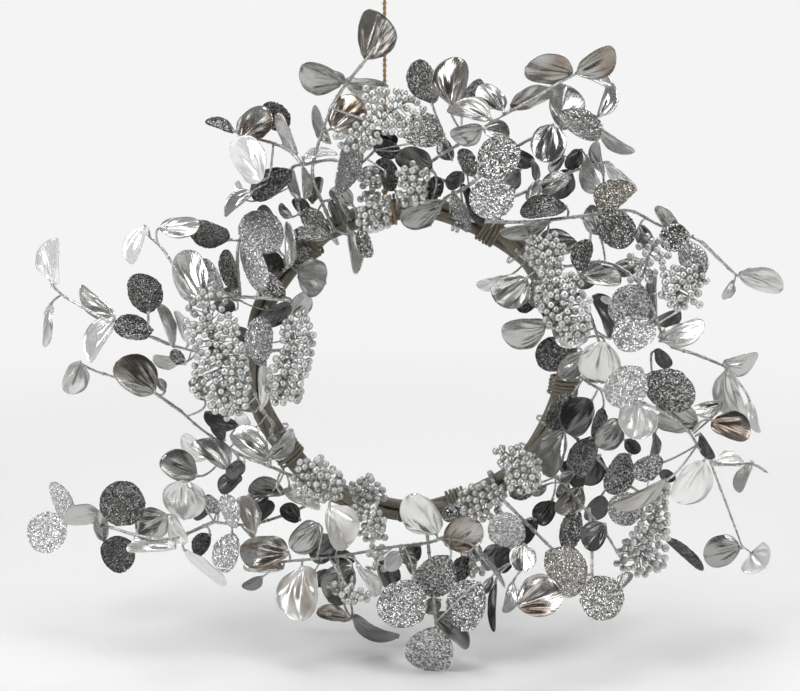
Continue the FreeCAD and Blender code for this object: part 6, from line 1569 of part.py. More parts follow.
"left_upper_berries": """
-157.6,-82.5,35.8 -164.7,-88.5,-6.7 -160.8,-89.6,1.9 -166,-75.4,51.2 -168.9,-87.4,22.5
-167.1,-81.5,43.6 -173,-88.4,-5.5 -160.6,-87.1,25 -145.5,-89,-7.2 -168.6,-76.7,55.9
-180.5,-69.9,63.2 -145.5,-81.6,43.8 -162.6,-69.7,73.8 -144.7,-89.8,1 -154,-89.3,-1.7
-157,-81.5,43 -163.3,-75.8,57.2 -155.4,-88,21.4 -131.6,-86.7,8 -148.2,-75.6,51.3
-157,-85.9,12.4 -133.5,-86.3,16.6 -147.1,-81.6,33.6 -176.2,-86.5,6.5 -176.4,-78.9,43.3
-139.3,-87,3 -157.8,-82,29.6 -150.4,-77.5,45.7 -162.7,-65.5,78 -165.7,-69.9,66.4
-155.4,-78.9,49.4 -145.3,-86.8,13.7 -142.2,-82,39 -170.1,-82.5,29.4 -163.7,-81.2,36.1
-136.7,-85.1,26.3 -184.9,-76.3,48.4 -134.4,-89.5,-3 -172.4,-87.6,2.5 -170,-88.9,15.4
-152,-87.3,4.7 -177.2,-69.2,67.5 -151.9,-90.8,-19 -161.8,-80,49.7 -164.7,-83.4,22.1
-153.8,-77.1,56.6 -142.8,-88,-14.3 -140.7,-78,44.2 -142,-82.9,29.8 -171.4,-77.2,47.8
-135,-87.3,-8.9 -151.6,-89.4,-8.2 -137.4,-86.1,20.3 -176.2,-76.1,51.3 -151,-88.8,15.2
-165,-86.7,17.8 -153.7,-72.1,63 -163.1,-87.4,10.7 -178.1,-80.1,38.2 -155.7,-90.3,-13.2
-160.5,-72,64.1 -143.6,-74,53.9 -144.2,-84.2,18.9 -155.8,-66.5,73.8 -167.9,-90.2,6.7
-149.9,-84.4,29.7 -151.3,-69.4,68.3 -182.3,-79.1,44.4 -167,-72.8,60.7 -137.3,-86.2,9.3
-175.2,-72.4,58.4 -176.8,-89.1,-0.2 -148.2,-74.7,58.2 -137.4,-83.3,35.5 -182.3,-76.2,54
-139.4,-89.9,-10 -144.4,-85.3,24.3 -171.2,-82.7,38.1 -140,-87.9,-19.9 -149,-88.5,-14.2
-149.7,-84,21.2 -160.7,-61.9,81.8 -155.3,-86.2,26.6 -171.5,-72.3,66.6 -152.9,-80.5,40
-175.2,-87.1,12.3 -169.2,-67,75.4 -158.1,-88.4,6.9 -175.2,-83.8,18.3 -140.2,-88.6,-3.5
-166.5,-87.6,-0.3 -152.9,-81.9,33.5 -134.6,-90.1,-13.8 -172.6,-67.6,71 -173.2,-85.2,26.2
-161.4,-90.3,-12.7 -145.7,-87.1,7.6 -165.8,-76.9,45.8 -164.8,-83.7,28.9 -146.1,-92.2,-18.8
-138.4,-88.2,14.8 -159.6,-89.3,-7.8 -158.9,-89.7,-17.8 -136.9,-80.6,30.7 -149.8,-89.1,-24.4
-142.2,-75.4,48.8 -132.7,-85.8,0.9 -134,-82.2,22.3 -174.2,-83.5,33 -162,-91.7,-2.9
-162.1,-74.8,41.1 -162.9,-84.1,-15.2 -154,-78.7,27 -141.8,-77.9,24.2 -168.5,-84.3,-6.5
-150.1,-85.4,-4.7 -177,-66.7,58.1 -142.8,-82.1,4.2 -159.2,-73.6,48.7 -147.8,-82.1,11.6
-174.6,-71.7,47.1 -157.3,-76.5,39.3 -146,-76.4,32.6 -167.4,-69.6,54.6 -170.9,-82.7,6.9
-91.2,-68.2,47.4 -101.3,-76.1,16.1 -106.6,-77.9,-3.8 -104.6,-76,23.2 -104.3,-71.6,36.7
-96.1,-79.1,6.4 -103.1,-80.3,12.2 -92.2,-60.3,55.6 -80.5,-69.2,33.5 -86.1,-79.1,9.9
-90.2,-77.4,25.9 -100.7,-74.1,31.6 -90.4,-78.3,13.2 -108.5,-77.6,6 -115.2,-78.5,8
-113.5,-77.3,-9.6 -110.8,-78.1,-14.1 -85.6,-66.6,41.4 -83,-63.9,46.8 -117,-76.9,-3.5
-104.5,-78.2,2.3 -86.4,-72.3,37.8 -101.1,-81.8,-4.3 -91.1,-63.1,49.2 -98.2,-64.7,53.8
-111.3,-79.1,13.8 -96,-77.8,0.3 -95.2,-76.7,16.5 -92.9,-80.2,-11.8 -89.8,-81.1,-3.9
-90.1,-75.7,20.8 -109,-78.2,21 -89.7,-73,29.5 -92.8,-70.7,34.8 -83.2,-74.7,19.7
-100.1,-68.1,46.7 -104.3,-77.8,-14.3 -91.9,-68.2,41.8 -100.5,-70.4,41 -110.4,-80.8,1.6
-90,-80.2,2.2 -95.9,-74.2,23.9 -97.5,-80.8,-9.3 -95.2,-75.1,30.6 -86.5,-60.7,57.7
-104.4,-73.1,27.7 -79.7,-69.7,40.6 -81.2,-72.7,26.3 -84,-75.8,14.3 -84.9,-71.3,31.5
-102.9,-81.1,-9.6 -97.2,-79.4,12.2 -102.3,-63.6,49.7 -85.4,-61.2,51.6 -85.1,-76.1,28
-108.3,-75.3,16 -118.4,-77.2,1.8 -86.5,-79,18 -95.8,-81.8,-3.9 -110.9,-80.9,-5.8
-89.5,-73.7,6.3 -102.7,-73.2,0.6 -97.6,-64.2,38.6 -109,-74.3,0.1 -109.9,-70.9,20.7
-103.4,-70.8,19.2 -103.8,-72.7,6.7 -100.5,-69.8,25.8 -102.7,-66.2,35.6 -82.7,-62.9,37.8
-96.1,-63.5,46 -98.3,-58.4,49.1 -107.1,-75.7,-9.5 -89.5,-68.4,25.6 -113.2,-72.2,13.4
-104.6,-62.4,40.8 -91.9,-74.5,-10.5 -98.3,-73.4,-12 -91.7,-73.8,0.1 -96.6,-66.9,33.3
""",
}

# An icosahedron with edges of length 2.
GOLDEN = (1 + math.sqrt(5)) / 2
CORNERS = [
    V(*corner)
    for short in (-1, 1)
    for tall in (-GOLDEN, GOLDEN)
    for corner in ((0, short, tall), (short, tall, 0), (tall, 0, short))
]


def joined(i, j):
    return abs((CORNERS[i] - CORNERS[j]).Length - 2) < 1e-6


BEAD_FACES = [
    (i, j, k)
    for i in range(12)
    for j in range(i + 1, 12)
    for k in range(j + 1, 12)
    if joined(i, j) and joined(j, k) and joined(i, k)
]


def berry_solid(centre):
    scale = size("berry_radius") / CORNERS[0].Length
    points = [centre + corner * scale for corner in CORNERS]
    return faceted_solid([[points[i] for i in face] for face in BEAD_FACES])


for label, table in BERRIES.items():
    keep_solids(label, [berry_solid(V(*numbers(word))) for word in table.split()])

# ---------------------------------------------------------------- check and write
doc.recompute()
for item in doc.Objects:
    if "Invalid" in item.State or "Error" in item.State:
        raise RuntimeError("%s did not compute: %s" % (item.Label, item.State))
if len({piece.Label for piece in parts}) < len(parts):
    raise RuntimeError("two pieces share a label")
for piece in parts:
    shape = piece.Shape
    if shape.isNull() or not shape.isValid():
        raise RuntimeError("%s has no valid shape" % piece.Label)
    if not shape.Solids or any(solid.Volume <= 0 for solid in shape.Solids):
        raise RuntimeError("%s has a solid with no volume" % piece.Label)
for piece in parts:
    piece.Shape.exportStep("parts/" + piece.Label + ".step")
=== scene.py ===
# A round wreath of three twisted rattan canes, dressed with metallic and glitter leaves, wired
# stems and berry clusters, tied with cord and hung from a twine with a loop.
# The ring stands upright in the XZ plane about the origin. +Z is up, and the camera looks
# from the -Y side, so -Y is the front. Tables and shapes are in millimetres.
import json
import math

import bpy
import numpy as np
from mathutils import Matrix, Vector


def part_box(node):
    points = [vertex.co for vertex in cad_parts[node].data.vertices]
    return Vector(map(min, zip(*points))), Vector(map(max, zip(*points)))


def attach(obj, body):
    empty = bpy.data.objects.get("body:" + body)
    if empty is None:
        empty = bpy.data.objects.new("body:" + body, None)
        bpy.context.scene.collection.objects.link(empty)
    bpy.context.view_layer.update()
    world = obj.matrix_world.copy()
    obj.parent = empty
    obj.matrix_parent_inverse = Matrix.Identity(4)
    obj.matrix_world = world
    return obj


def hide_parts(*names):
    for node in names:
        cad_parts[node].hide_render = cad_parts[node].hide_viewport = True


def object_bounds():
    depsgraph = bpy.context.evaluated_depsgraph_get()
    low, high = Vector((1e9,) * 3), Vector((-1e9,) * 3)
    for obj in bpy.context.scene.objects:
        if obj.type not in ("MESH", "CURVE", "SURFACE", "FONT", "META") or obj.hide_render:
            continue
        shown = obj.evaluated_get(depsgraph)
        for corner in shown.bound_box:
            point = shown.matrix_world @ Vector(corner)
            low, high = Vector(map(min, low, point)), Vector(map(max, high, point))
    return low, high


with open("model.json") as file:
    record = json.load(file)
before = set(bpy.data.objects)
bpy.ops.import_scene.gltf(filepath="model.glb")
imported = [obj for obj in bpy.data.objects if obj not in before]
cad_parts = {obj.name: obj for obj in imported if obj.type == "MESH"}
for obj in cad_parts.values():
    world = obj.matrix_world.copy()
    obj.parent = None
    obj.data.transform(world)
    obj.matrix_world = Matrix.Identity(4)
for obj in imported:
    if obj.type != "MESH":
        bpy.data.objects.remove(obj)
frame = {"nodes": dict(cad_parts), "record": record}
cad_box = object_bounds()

MM = 0.001
RING_RADIUS = 132.5
CANE_ORBIT = 5.6  # from the middle of the bundle to the middle of a cane
CANE_RADIUS = 4.45
BUNDLE_RADIUS = 11.9  # path of a cord wound round the three canes
BACK = np.array([0.0, 1.0, 0.0])
TURN = 2 * math.pi
scene = bpy.context.scene

BODY_OF = {
    node: body
    for body, nodes in frame["record"]["behaviour"]["bodies"].items()
    for node in nodes
}

# ------------------------------------------------------------------ tables
# One leaf per line: foot (x y z), direction (x y z), normal (x y z), length, width,
# cup across, bend along, painted light and shade 0-9, painted brown reflection 0-9.
LEAVES = {
"top_left_sprig_smooth_leaves": """
-35.23 -53.27 263.92 .2202 .5269 .8209 .5812 -.7468 .3234 42.83 36.73 5.07 -2.76 4 3
-54.12 -37.18 241.23 -.8807 -.2493 .4028 -.0939 -.7416 -.6642 38.71 35.53 4.88 -.60 5 4
-54.44 -25.14 239.76 .9637 -.2614 -.0551 -.2294 -.7039 -.6722 37.16 33.13 4.52 -1.63 6 0
""",
"upper_left_sprig_smooth_leaves": """
-139.2 -43.08 199.07 .6979 .2495 .6714 -.2952 -.7538 .587 33.39 29.98 -4.09 -1.68 4 6
-119.27 -59.28 166.62 -.6103 .4346 .6623 -.64 -.7632 -.0888 42.35 36.90 -5.05 .79 9 0
-92.35 -44.55 186.25 -.3482 -.1773 .9205 -.7827 -.4854 -.3896 37.15 24.20 3.32 .98 6 0
""",
"upper_left_sprig_glitter_leaves": """
-144.81 -22.1 200.92 -.9296 .0078 .3685 .3553 -.2471 .9015 24.46 20.45 1.70 -1.23 2 0
-100.42 -25.08 203.82 -.6941 -.056 .7177 -.2786 -.8984 -.3395 27.66 25.50 2.13 .22 3 0
""",
"top_right_sprig_smooth_leaves": """
80.09 -52.81 223.09 .9245 -.0213 .3805 .2904 -.607 -.7398 36.11 32.85 -4.53 -2.53 5 4
127.47 -74.96 252.94 -.9815 -.1506 .1184 .0351 -.7487 -.662 38.97 34.64 -4.87 -2.28 5 6
131.62 -71.95 254.95 .8591 .0342 .5106 .3225 -.8108 -.4885 33.64 30.67 4.30 -1.04 5 6
133.71 -46.75 252.82 .9041 -.2476 -.3483 .2572 -.3357 .9062 29.62 26.77 3.70 -1.77 5 0
""",
"right_upper_sprig_smooth_leaves": """
271.77 -26.01 81.28 .9371 -.205 -.2825 -.3452 -.6635 -.6638 38.90 35.68 -4.75 -1.92 6 0
268.57 -26.44 76.28 -.531 -.3897 -.7524 .6676 -.7392 -.0883 18.24 13.39 1.78 -.39 5 0
""",
"right_middle_sprig_smooth_leaves": """
261.83 -33.21 6.8 .9302 .3668 .0116 .3183 -.7907 -.523 32.64 27.78 3.66 -2.06 5 0
263.23 -36.12 2.38 .2977 -.0503 -.9533 -.8321 -.5032 -.2333 46.65 41.45 5.47 -2.54 8 0
288.03 -14.78 -31.27 .1931 -.5189 -.8327 .7907 -.4202 .4452 27.80 25.39 -3.32 -.79 8 0
""",
"right_lower_sprig_smooth_leaves": """
281.52 -38.15 -153.79 -.9644 -.2292 -.1322 .2386 -.9692 -.0603 33.63 29.53 -3.84 -2.13 4 0
294.21 -15.34 -166.41 .2672 -.9585 -.0996 -.7017 -.2644 .6616 30.57 30.86 3.98 -.12 9 0
""",
"far_left_sprig_smooth_leaves": """
-296.37 -32.31 74.16 .0418 .1179 .9921 -.7633 -.6369 .1078 39.03 35.26 4.71 -2.66 9 0
-249 -15.77 43.91 -.7236 -.1672 .6697 .6895 -.2198 .6901 38.02 35.47 -4.69 .66 6 0
-300.69 -20.36 55.29 -.3846 .024 -.9228 .6574 -.6946 -.2921 12.17 9.02 1.19 -.44 7 0
-301.36 -32.54 52.11 -.1717 -.0094 -.9851 -.8448 -.513 .1521 31.22 18.73 -2.49 -.89 7 0
-244.77 -46.87 48.66 -.5348 -.0881 -.8404 -.7157 -.4814 .506 41.43 36.96 4.95 -1.69 8 0
""",
"far_left_sprig_glitter_leaves": """
-214.82 -61.33 57.11 -.22 .5077 .833 .4918 -.6797 .5441 35.48 31.39 2.60 -1.20 2 0
-213.25 -50.55 40.22 -.9409 -.3134 .1288 .27 -.4638 .8438 31.75 29.61 2.45 .51 3 0
""",
"lower_left_sprig_smooth_leaves": """
-201.66 -52.29 -122.14 .5501 -.4345 -.7132 -.6949 -.7118 -.1024 25.65 23.15 3.04 -.70 8 0
-191.18 -46.85 -153.4 .6462 .1981 -.737 -.4708 -.6566 -.5892 48.83 25.56 -3.32 -1.53 8 0
-262.06 -41.7 -123.04 -.9734 -.2198 -.0647 .2143 -.774 -.5958 32.02 29.70 -3.88 -.89 5 0
-259.99 -43.83 -145.51 .0066 .0064 1 .9585 -.2849 -.0045 32.01 28.26 -3.69 .12 5 0
-206.93 -42.57 -122.75 -.7669 .1912 -.6126 -.1884 -.9796 -.0699 32.65 28.86 -3.76 -1.84 5 0
-197.14 -68.68 -143 -.9944 -.1056 -.006 .0018 -.074 .9973 40.69 31.33 4.14 .11 7 0
""",
"lower_left_sprig_glitter_leaves": """
-171.26 -30.19 -144.88 -.652 .0174 -.758 -.5393 -.7134 .4475 21.61 18.95 1.51 .16 1 0
-294.64 -25.13 -134.01 -.8364 .0761 -.5429 -.2782 -.9122 .3008 38.47 34.29 2.72 .17 9 0
-293.21 -33.99 -131.9 -.247 .0314 .9685 -.7298 -.6636 -.1646 36.44 32.62 -2.61 0 8 0
-229.42 -53.22 -125.36 -.5959 -.0391 .8021 .1839 -.9789 .0889 40.21 36.93 2.99 -.09 3 0
-233.4 -59.18 -141.92 -.7135 .3101 -.6282 -.4105 -.9117 .0162 36.19 31.25 2.52 -.36 1 0
""",
"crown_left_smooth_leaves": """
-64.39 -52.68 206.96 .7246 -.0765 .6849 -.2757 -.943 .1864 34.60 31.44 -4.33 -.60 5 7
-65.41 -49.11 195.09 -.387 .4172 .8223 -.8766 -.443 -.1877 34.10 24.26 3.32 .25 5 0
-87.47 -45.74 183.17 .964 .2561 .0721 -.0073 -.2456 .9693 29.20 18.26 2.49 -1.05 6 0
-91.97 -28.05 144.75 -.2213 .1058 .9694 .916 -.3185 .2439 25.24 20.54 -2.76 .58 6 0
-86.61 -37.05 148.01 -.0712 .5035 .8611 .9225 -.2952 .2489 28.03 20.49 2.76 -.82 6 0
-82 -11.73 139.33 .3321 .0387 .9424 .7544 -.6106 -.2408 22.99 20.89 -2.78 -.72 2 0
-84.87 -25.33 127.54 -.5713 .0159 .8206 .7185 -.4735 .5094 21.33 19.45 2.61 -.79 2 0
-97.6 -33.93 131.65 -.6867 .4917 .5355 -.6648 -.7228 -.1888 16.01 11.63 1.56 -.21 5 0
-129.19 -46.61 154.63 -.7668 .0755 -.6375 -.6216 -.3351 .708 30.43 27.22 3.69 -1.09 5 0
-138.21 -25.18 145.91 -.335 .4118 .8474 -.7274 -.6847 .0452 15.44 11.36 1.52 .13 7 0
17.32 -26.57 169.42 -.9225 .01 .3859 -.2245 -.8271 -.5152 32.00 28.86 -3.89 -.30 2 0
-33.65 -10.23 198.38 .9271 -.3023 -.2215 -.3722 -.6735 -.6387 24.90 22.19 2.98 -.42 2 0
-66.71 -21.36 143.56 .5118 -.0941 -.854 -.591 -.76 -.2704 24.05 21.81 -2.92 -.39 3 0
-48.25 -35.27 141.88 -.809 -.0954 .58 -.259 -.828 -.4974 22.07 20.10 -2.72 -.90 4 0
-40.34 -25.04 117.41 .6472 .0455 .7609 .6329 -.5884 -.5032 29.43 26.61 3.56 -.20 4 0
""",
"crown_left_glitter_leaves": """
-56.97 -71.83 157.39 .2068 .0462 .9773 .8865 -.4314 -.1672 47.47 43.26 3.68 -.21 6 0
-8.92 -23.78 185.51 -.9199 .377 .1076 -.3706 -.7466 -.5525 25.07 22.30 1.85 .11 2 0
-21.17 -35.61 165.95 -.9643 .2591 .0543 -.0267 -.2989 .9539 25.53 22.81 1.90 -1.71 2 0
-70.55 -33.72 127.44 -.9123 -.1535 .3797 .3666 -.7195 .5899 21.35 19.45 -1.61 -.05 5 0
-66.43 -36.83 116.34 -.9938 -.1107 -.0044 .069 -.5871 -.8066 32.06 28.97 -2.40 -.59 5 0
-98.8 -32.93 170.45 -.7421 -.3406 -.5773 -.3809 -.4944 .7813 38.95 34.98 2.92 -.23 2 0
26.47 -52.69 202.91 -.9854 -.0765 .1524 .1506 -.8091 .568 34.29 30.85 2.61 -1.47 5 0
-13.08 -9.7 149.9 -.4752 -.1225 .8713 .7702 -.5367 .3446 29.48 27.07 2.22 -.79 2 0
""",
"crown_right_smooth_leaves": """
31.49 -38.49 224.42 .1398 .0353 .9895 -.6103 -.7839 .1142 38.93 35.86 4.91 -2.04 5 4
74.46 -36.81 220.95 -.5653 .5023 .6543 .2903 -.6213 .7278 29.41 25.80 -3.51 -1.87 4 0
62.49 -72.42 218.56 -.8906 .3901 .2339 .0675 -.3952 .9161 36.23 32.35 4.49 -2.09 4 0
55.97 -78.85 211.5 -.9348 .1409 -.3259 .0747 -.8193 -.5685 26.10 23.71 3.31 -1.87 5 0
57.44 -81.47 211.88 .954 .0319 -.2983 .2248 -.7343 .6405 21.66 19.45 2.72 -1.58 5 0
114.43 -46.96 209.38 -.2637 -.4349 -.861 .1646 -.8998 .4041 32.35 28.97 3.98 .09 5 0
140.05 -16.42 184.38 -.6337 -.3289 -.7001 .4159 -.908 .0501 19.85 14.61 1.96 -.42 2 0
126.19 -5.35 177.67 -.493 -.5379 -.6838 -.4825 -.485 .7294 19.51 14.04 1.88 .37 2 0
102.52 -30.21 160.91 -.1939 -.1001 .9759 -.8799 -.4222 -.2181 18.94 14.45 -1.95 .19 4 0
131.24 -17.44 167.93 -.643 .1999 -.7393 .2828 -.8351 -.4718 30.83 28.68 3.83 .01 1 0
129.79 -36.87 164.51 -.8808 .1186 -.4584 -.4478 -.5233 .725 26.41 24.25 3.28 .47 5 0
103.63 -38.05 163.05 -.4301 -.3118 -.8472 -.5909 -.6123 .5253 19.23 14.28 -1.94 -1.02 5 0
158.62 -16.44 164.43 -.2221 .0777 .9719 -.9202 -.3461 -.1826 27.87 24.73 3.32 -1.17 5 0
153.57 -46.9 154.68 -.3434 .5785 .7399 -.9153 -.3826 -.1256 34.52 30.46 4.13 -1.63 7 0
159.36 -31.72 176.86 .7252 -.3335 -.6023 -.6858 -.4279 -.5887 35.08 28.54 3.87 1.01 7 0
151.92 -25.93 203.94 .8185 -.2229 -.5295 -.5682 -.4502 -.6888 36.47 24.47 3.32 -1.68 5 0
120.91 -36.28 206.23 .1738 .5664 .8056 .4767 -.7642 .4344 38.95 33.42 4.53 -.83 5 0
153.26 -35.29 215.06 .3201 .3362 .8857 .8305 -.5494 -.0916 31.50 27.89 3.80 -1.71 5 2
90.79 -3.92 165.72 -.7024 -.2658 -.6603 .6031 -.7148 -.3539 23.82 21.24 2.83 -.63 3 0
33.91 -17.03 176.18 -.5054 .3111 .8048 -.4569 -.8877 .0563 19.48 14.50 1.94 -.69 3 0
77.74 -11.47 183.62 .881 -.4083 -.2388 -.4634 -.6434 -.6094 27.43 24.79 3.33 .29 2 0
""",
"crown_right_glitter_leaves": """
17.35 -11.16 221.63 -.3029 -.0785 .9498 -.6955 -.6631 -.2766 38.28 35.49 2.95 -1.56 4 0
45.12 -14.99 226.24 .5409 -.1994 .8171 .5437 -.6583 -.5206 20.63 19.26 1.60 -.14 4 0
52.47 -96.13 179.17 .8059 -.1758 .5653 -.4514 -.8004 .3946 38.25 35.06 3.04 -1.97 5 0
49.89 -80.83 173.45 -.5025 .0321 .864 .6957 -.5783 .4261 23.96 21.74 1.86 .72 4 0
122.42 -44.91 221.23 .6916 -.4645 -.553 .2846 -.5285 .7998 39.10 34.94 2.96 -.20 5 0
""",
"right_upper_smooth_leaves": """
24.05 -24.44 139.93 -.9186 -.3097 -.2454 .3945 -.7537 -.5256 35.90 32.03 4.30 -.53 4 0
43.02 -17.88 166.33 -.6586 -.0458 -.7511 .2075 -.9705 -.1229 18.69 14.15 -1.90 .10 2 0
42.25 -18.34 156.41 .316 -.5509 -.7724 .7865 -.3031 .538 40.16 28.77 3.87 .83 0 0
111.2 -77.07 135.6 -.9569 -.2522 -.1439 .2653 -.5579 -.7864 42.28 27.96 3.87 -1.00 5 0
105.71 -29.08 119.03 -.8949 .3096 -.3215 .1046 -.5547 -.8254 22.53 18.60 -2.49 .53 6 0
137.29 -28.63 108.86 -.9678 -.2178 -.1265 .0253 -.584 .8114 34.56 30.63 4.10 .86 4 0
77.62 -39.29 82.44 -.9588 .0418 -.2809 .1859 -.6554 -.7321 24.83 22.46 3.01 -.25 9 0
95.05 -50.96 84.11 -.7498 -.4557 -.4797 .0859 -.786 .6123 34.53 30.39 -4.12 -1.51 5 0
113.02 -50.09 41.8 -.979 -.2 -.0383 .1919 -.8429 -.5027 39.07 34.74 4.67 -2.61 5 0
145.02 -60.87 42.71 -.9093 -.3476 -.2288 -.12 -.3073 .944 29.49 25.90 -3.50 -1.44 7 0
139.43 -67.2 89.27 .9441 -.2965 -.1442 .0278 -.3643 .9308 31.74 29.09 3.97 .72 5 0
217.94 -42.36 115.76 -.5585 .3282 .7618 -.8146 -.3905 -.4289 31.35 28.29 -3.81 -1.37 6 0
200.61 -54.04 45.29 .0159 .499 .8665 -.9578 -.2412 .1565 48.36 24.75 3.32 -.65 5 0
223.64 -32.75 53.01 -.7828 .2383 -.5748 .1958 -.7825 -.5911 23.08 21.54 2.86 .27 2 0
204.44 -52.17 34.68 .9318 -.0946 .3504 -.362 -.3131 .878 38.73 35.60 -4.78 -1.46 7 0
207.04 -38.89 28 .9751 -.2152 .0532 -.0887 -.1588 .9833 28.90 20.73 2.76 .09 7 0
160.52 -88.37 70.84 -.8342 .3136 .4536 .1581 -.652 .7416 9.42 7.15 .98 .26 8 0
166.85 -41.2 31.99 -.4026 -.0411 .9145 .8379 -.4187 .3501 39.41 35.17 4.70 -1.76 2 0
157.77 -17.16 90.46 -.7286 -.3312 -.5996 .6132 -.7055 -.3553 29.18 25.85 3.43 .80 2 0
190.28 -24.32 91.95 -.9476 .1942 -.2538 -.3176 -.4849 .8149 23.90 22.06 -2.93 -1.60 3 0
156.66 -23.18 114.52 -.3272 .0896 .9407 .7012 -.6443 .3053 26.32 23.76 -3.17 -.35 3 0
190.31 -16.57 121.68 .4733 -.4373 -.7646 .5495 -.5319 .6444 24.80 22.36 -2.98 .31 4 0
""",
"right_upper_glitter_leaves": """
26.59 -16.47 159.43 -.8056 -.2462 -.5388 .4012 -.896 -.1904 21.56 19.28 1.59 -.32 2 0
35.57 -54.39 155.98 .3475 -.3729 -.8603 .8137 -.336 .4743 34.41 28.27 -2.38 -2.18 5 0
78.52 -112.82 167.71 -.8471 -.4447 -.2911 .2744 -.8349 .4771 38.34 33.34 2.92 1.02 6 0
124.82 -63.86 146.21 -.9891 .0463 -.14 -.1473 -.3574 .9223 37.30 33.76 2.85 -.81 2 0
103.79 -33.23 66.73 -.7753 -.3143 -.5478 .4597 -.8757 -.1481 20.56 18.30 1.50 -.33 2 0
116.97 -41.18 87.05 -.4188 -.5192 -.745 -.5901 -.4681 .6578 35.15 31.00 2.57 .59 6 0
145.57 -54.98 116.58 -.3756 -.0071 -.9268 -.7785 -.5401 .3197 26.85 24.49 2.04 .02 4 0
129.29 -35.05 26.2 -.717 -.417 -.5585 .214 -.8943 .393 30.96 28.24 2.31 -1.39 3 0
151.37 -73.42 144.69 .6527 .4752 .59 -.3113 -.5417 .7808 36.29 31.29 2.65 -2.32 4 5
155.43 -81.05 146.08 .4111 -.4374 -.7998 .1629 -.828 .5365 34.80 31.18 2.66 -.46 3 0
226.76 -55.07 119.9 -.9818 .1122 -.1534 -.1593 -.9262 .3418 25.20 23.11 1.93 -.05 4 0
222.52 -74.76 120.47 .2091 .049 -.9767 -.7 -.6899 -.1845 33.18 29.84 -2.52 .78 7 0
188.68 -78.02 81.7 -.66 -.042 -.7501 .0748 -.9971 -.0099 37.08 33.75 2.84 .36 6 0
194 -86.96 57.3 -.7693 -.3786 -.5146 -.1404 -.6856 .7143 36.78 32.29 2.73 -1.46 8 0
124.47 -28.29 43.42 -.5626 .4527 .6918 .0632 -.8108 .582 21.52 19.49 -1.59 -.33 2 0
""",
"right_lower_smooth_leaves": """
146.53 -49.19 19.47 -.6888 -.361 -.6286 -.4295 -.4953 .7551 30.69 27.32 3.66 -.19 5 0
156.87 -75.67 37.09 -.12 .1234 -.9851 -.2528 -.9633 -.0899 37.12 34.27 4.64 1.12 6 0
149.78 -59.03 -17.25 -.6046 -.3958 -.6913 .4157 -.897 .15 35.18 31.44 -4.21 -1.74 2 0
127.58 -63.93 -43.36 -.3826 .0578 -.9221 -.797 -.5254 .2978 41.19 36.84 4.90 .85 4 0
186.38 -86.19 -13.96 -.2068 -.7873 -.5808 .1196 -.6095 .7837 35.40 32.34 4.42 -.93 7 0
174.44 -49.01 -37.32 -.6362 -.3379 -.6936 .4616 -.8871 .0088 29.52 26.42 3.51 -.81 4 0
239.23 -51.49 -40.94 -.9583 -.1846 .2179 .0523 -.8635 -.5017 36.70 31.99 -4.25 -2.47 4 0
260.73 -37.47 -25.83 -.9495 -.2149 -.2285 -.1659 -.2743 .9472 27.06 23.86 -3.15 .06 4 0
249.7 -58.27 -34.66 .8496 -.429 -.3068 .0539 -.508 .8597 33.85 31.93 4.27 -2.21 4 7
241.52 -49.07 -49.45 .4982 -.418 -.7596 -.849 -.413 -.3296 23.57 21.73 2.88 .01 2 0
245.83 -48.05 -73.32 -.5403 -.0611 -.8393 .3846 -.905 -.1816 41.98 37.89 4.99 .37 7 0
255.19 -31 -79.46 .996 -.0853 .0263 -.0449 -.224 .9736 27.64 25.22 3.29 -1.85 7 0
285.75 -50.02 -73.59 -.3905 -.4644 -.7949 -.859 -.1269 .4961 28.78 25.84 3.42 -.32 6 0
211.41 -77.76 -80.55 -.897 -.2552 -.361 .4342 -.6618 -.6112 50.59 32.93 4.42 -1.22 5 3
211.99 -26.25 -88.02 .7705 -.4812 -.4181 .0464 -.6119 .7896 15.58 12.24 -1.59 -.84 1 0
142.56 -65.04 -91.57 -.6823 -.3244 -.6551 -.4665 -.4967 .7319 29.78 26.79 -3.56 .66 4 7
113.05 -58.13 -91.16 -.8152 -.2301 -.5315 -.4001 -.4397 .8041 14.45 10.82 -1.43 -.86 4 0
135.51 -56.62 -80.27 -.7616 .0907 -.6416 -.4259 -.8163 .3902 12.84 9.68 1.28 -.40 4 0
157.06 -117.77 -105.14 -.5956 .055 -.8014 -.5632 -.7399 .3678 26.24 23.48 3.20 -1.00 2 0
204.87 -24.72 16.73 .6694 -.5325 -.518 -.7262 -.6159 -.3055 19.80 18.40 2.43 -.27 2 0
206.96 -24.72 -54.86 -.141 -.4666 -.8731 .8671 -.4838 .1185 22.62 19.02 2.49 -.98 3 0
162.9 -3.97 -81.51 -.4534 -.2918 -.8422 .6284 -.7748 -.0699 28.86 26.00 3.35 -1.09 1 0
127.11 -23.57 -81.75 .565 -.3858 -.7294 .5892 -.4302 .6839 29.23 26.80 3.49 .02 1 0
182.32 -19.5 -63.46 .7672 -.3082 -.5625 -.3171 -.9446 .0849 16.23 12.40 1.61 -.43 2 0
121.66 -13.45 -118.98 -.4358 -.5365 -.7226 -.4462 -.5685 .6912 24.97 22.78 2.94 -1.21 1 0
163.46 -23.85 -111.09 -.4207 .1395 -.8964 .4027 -.8567 -.3223 26.44 23.62 3.05 .42 1 0
""",
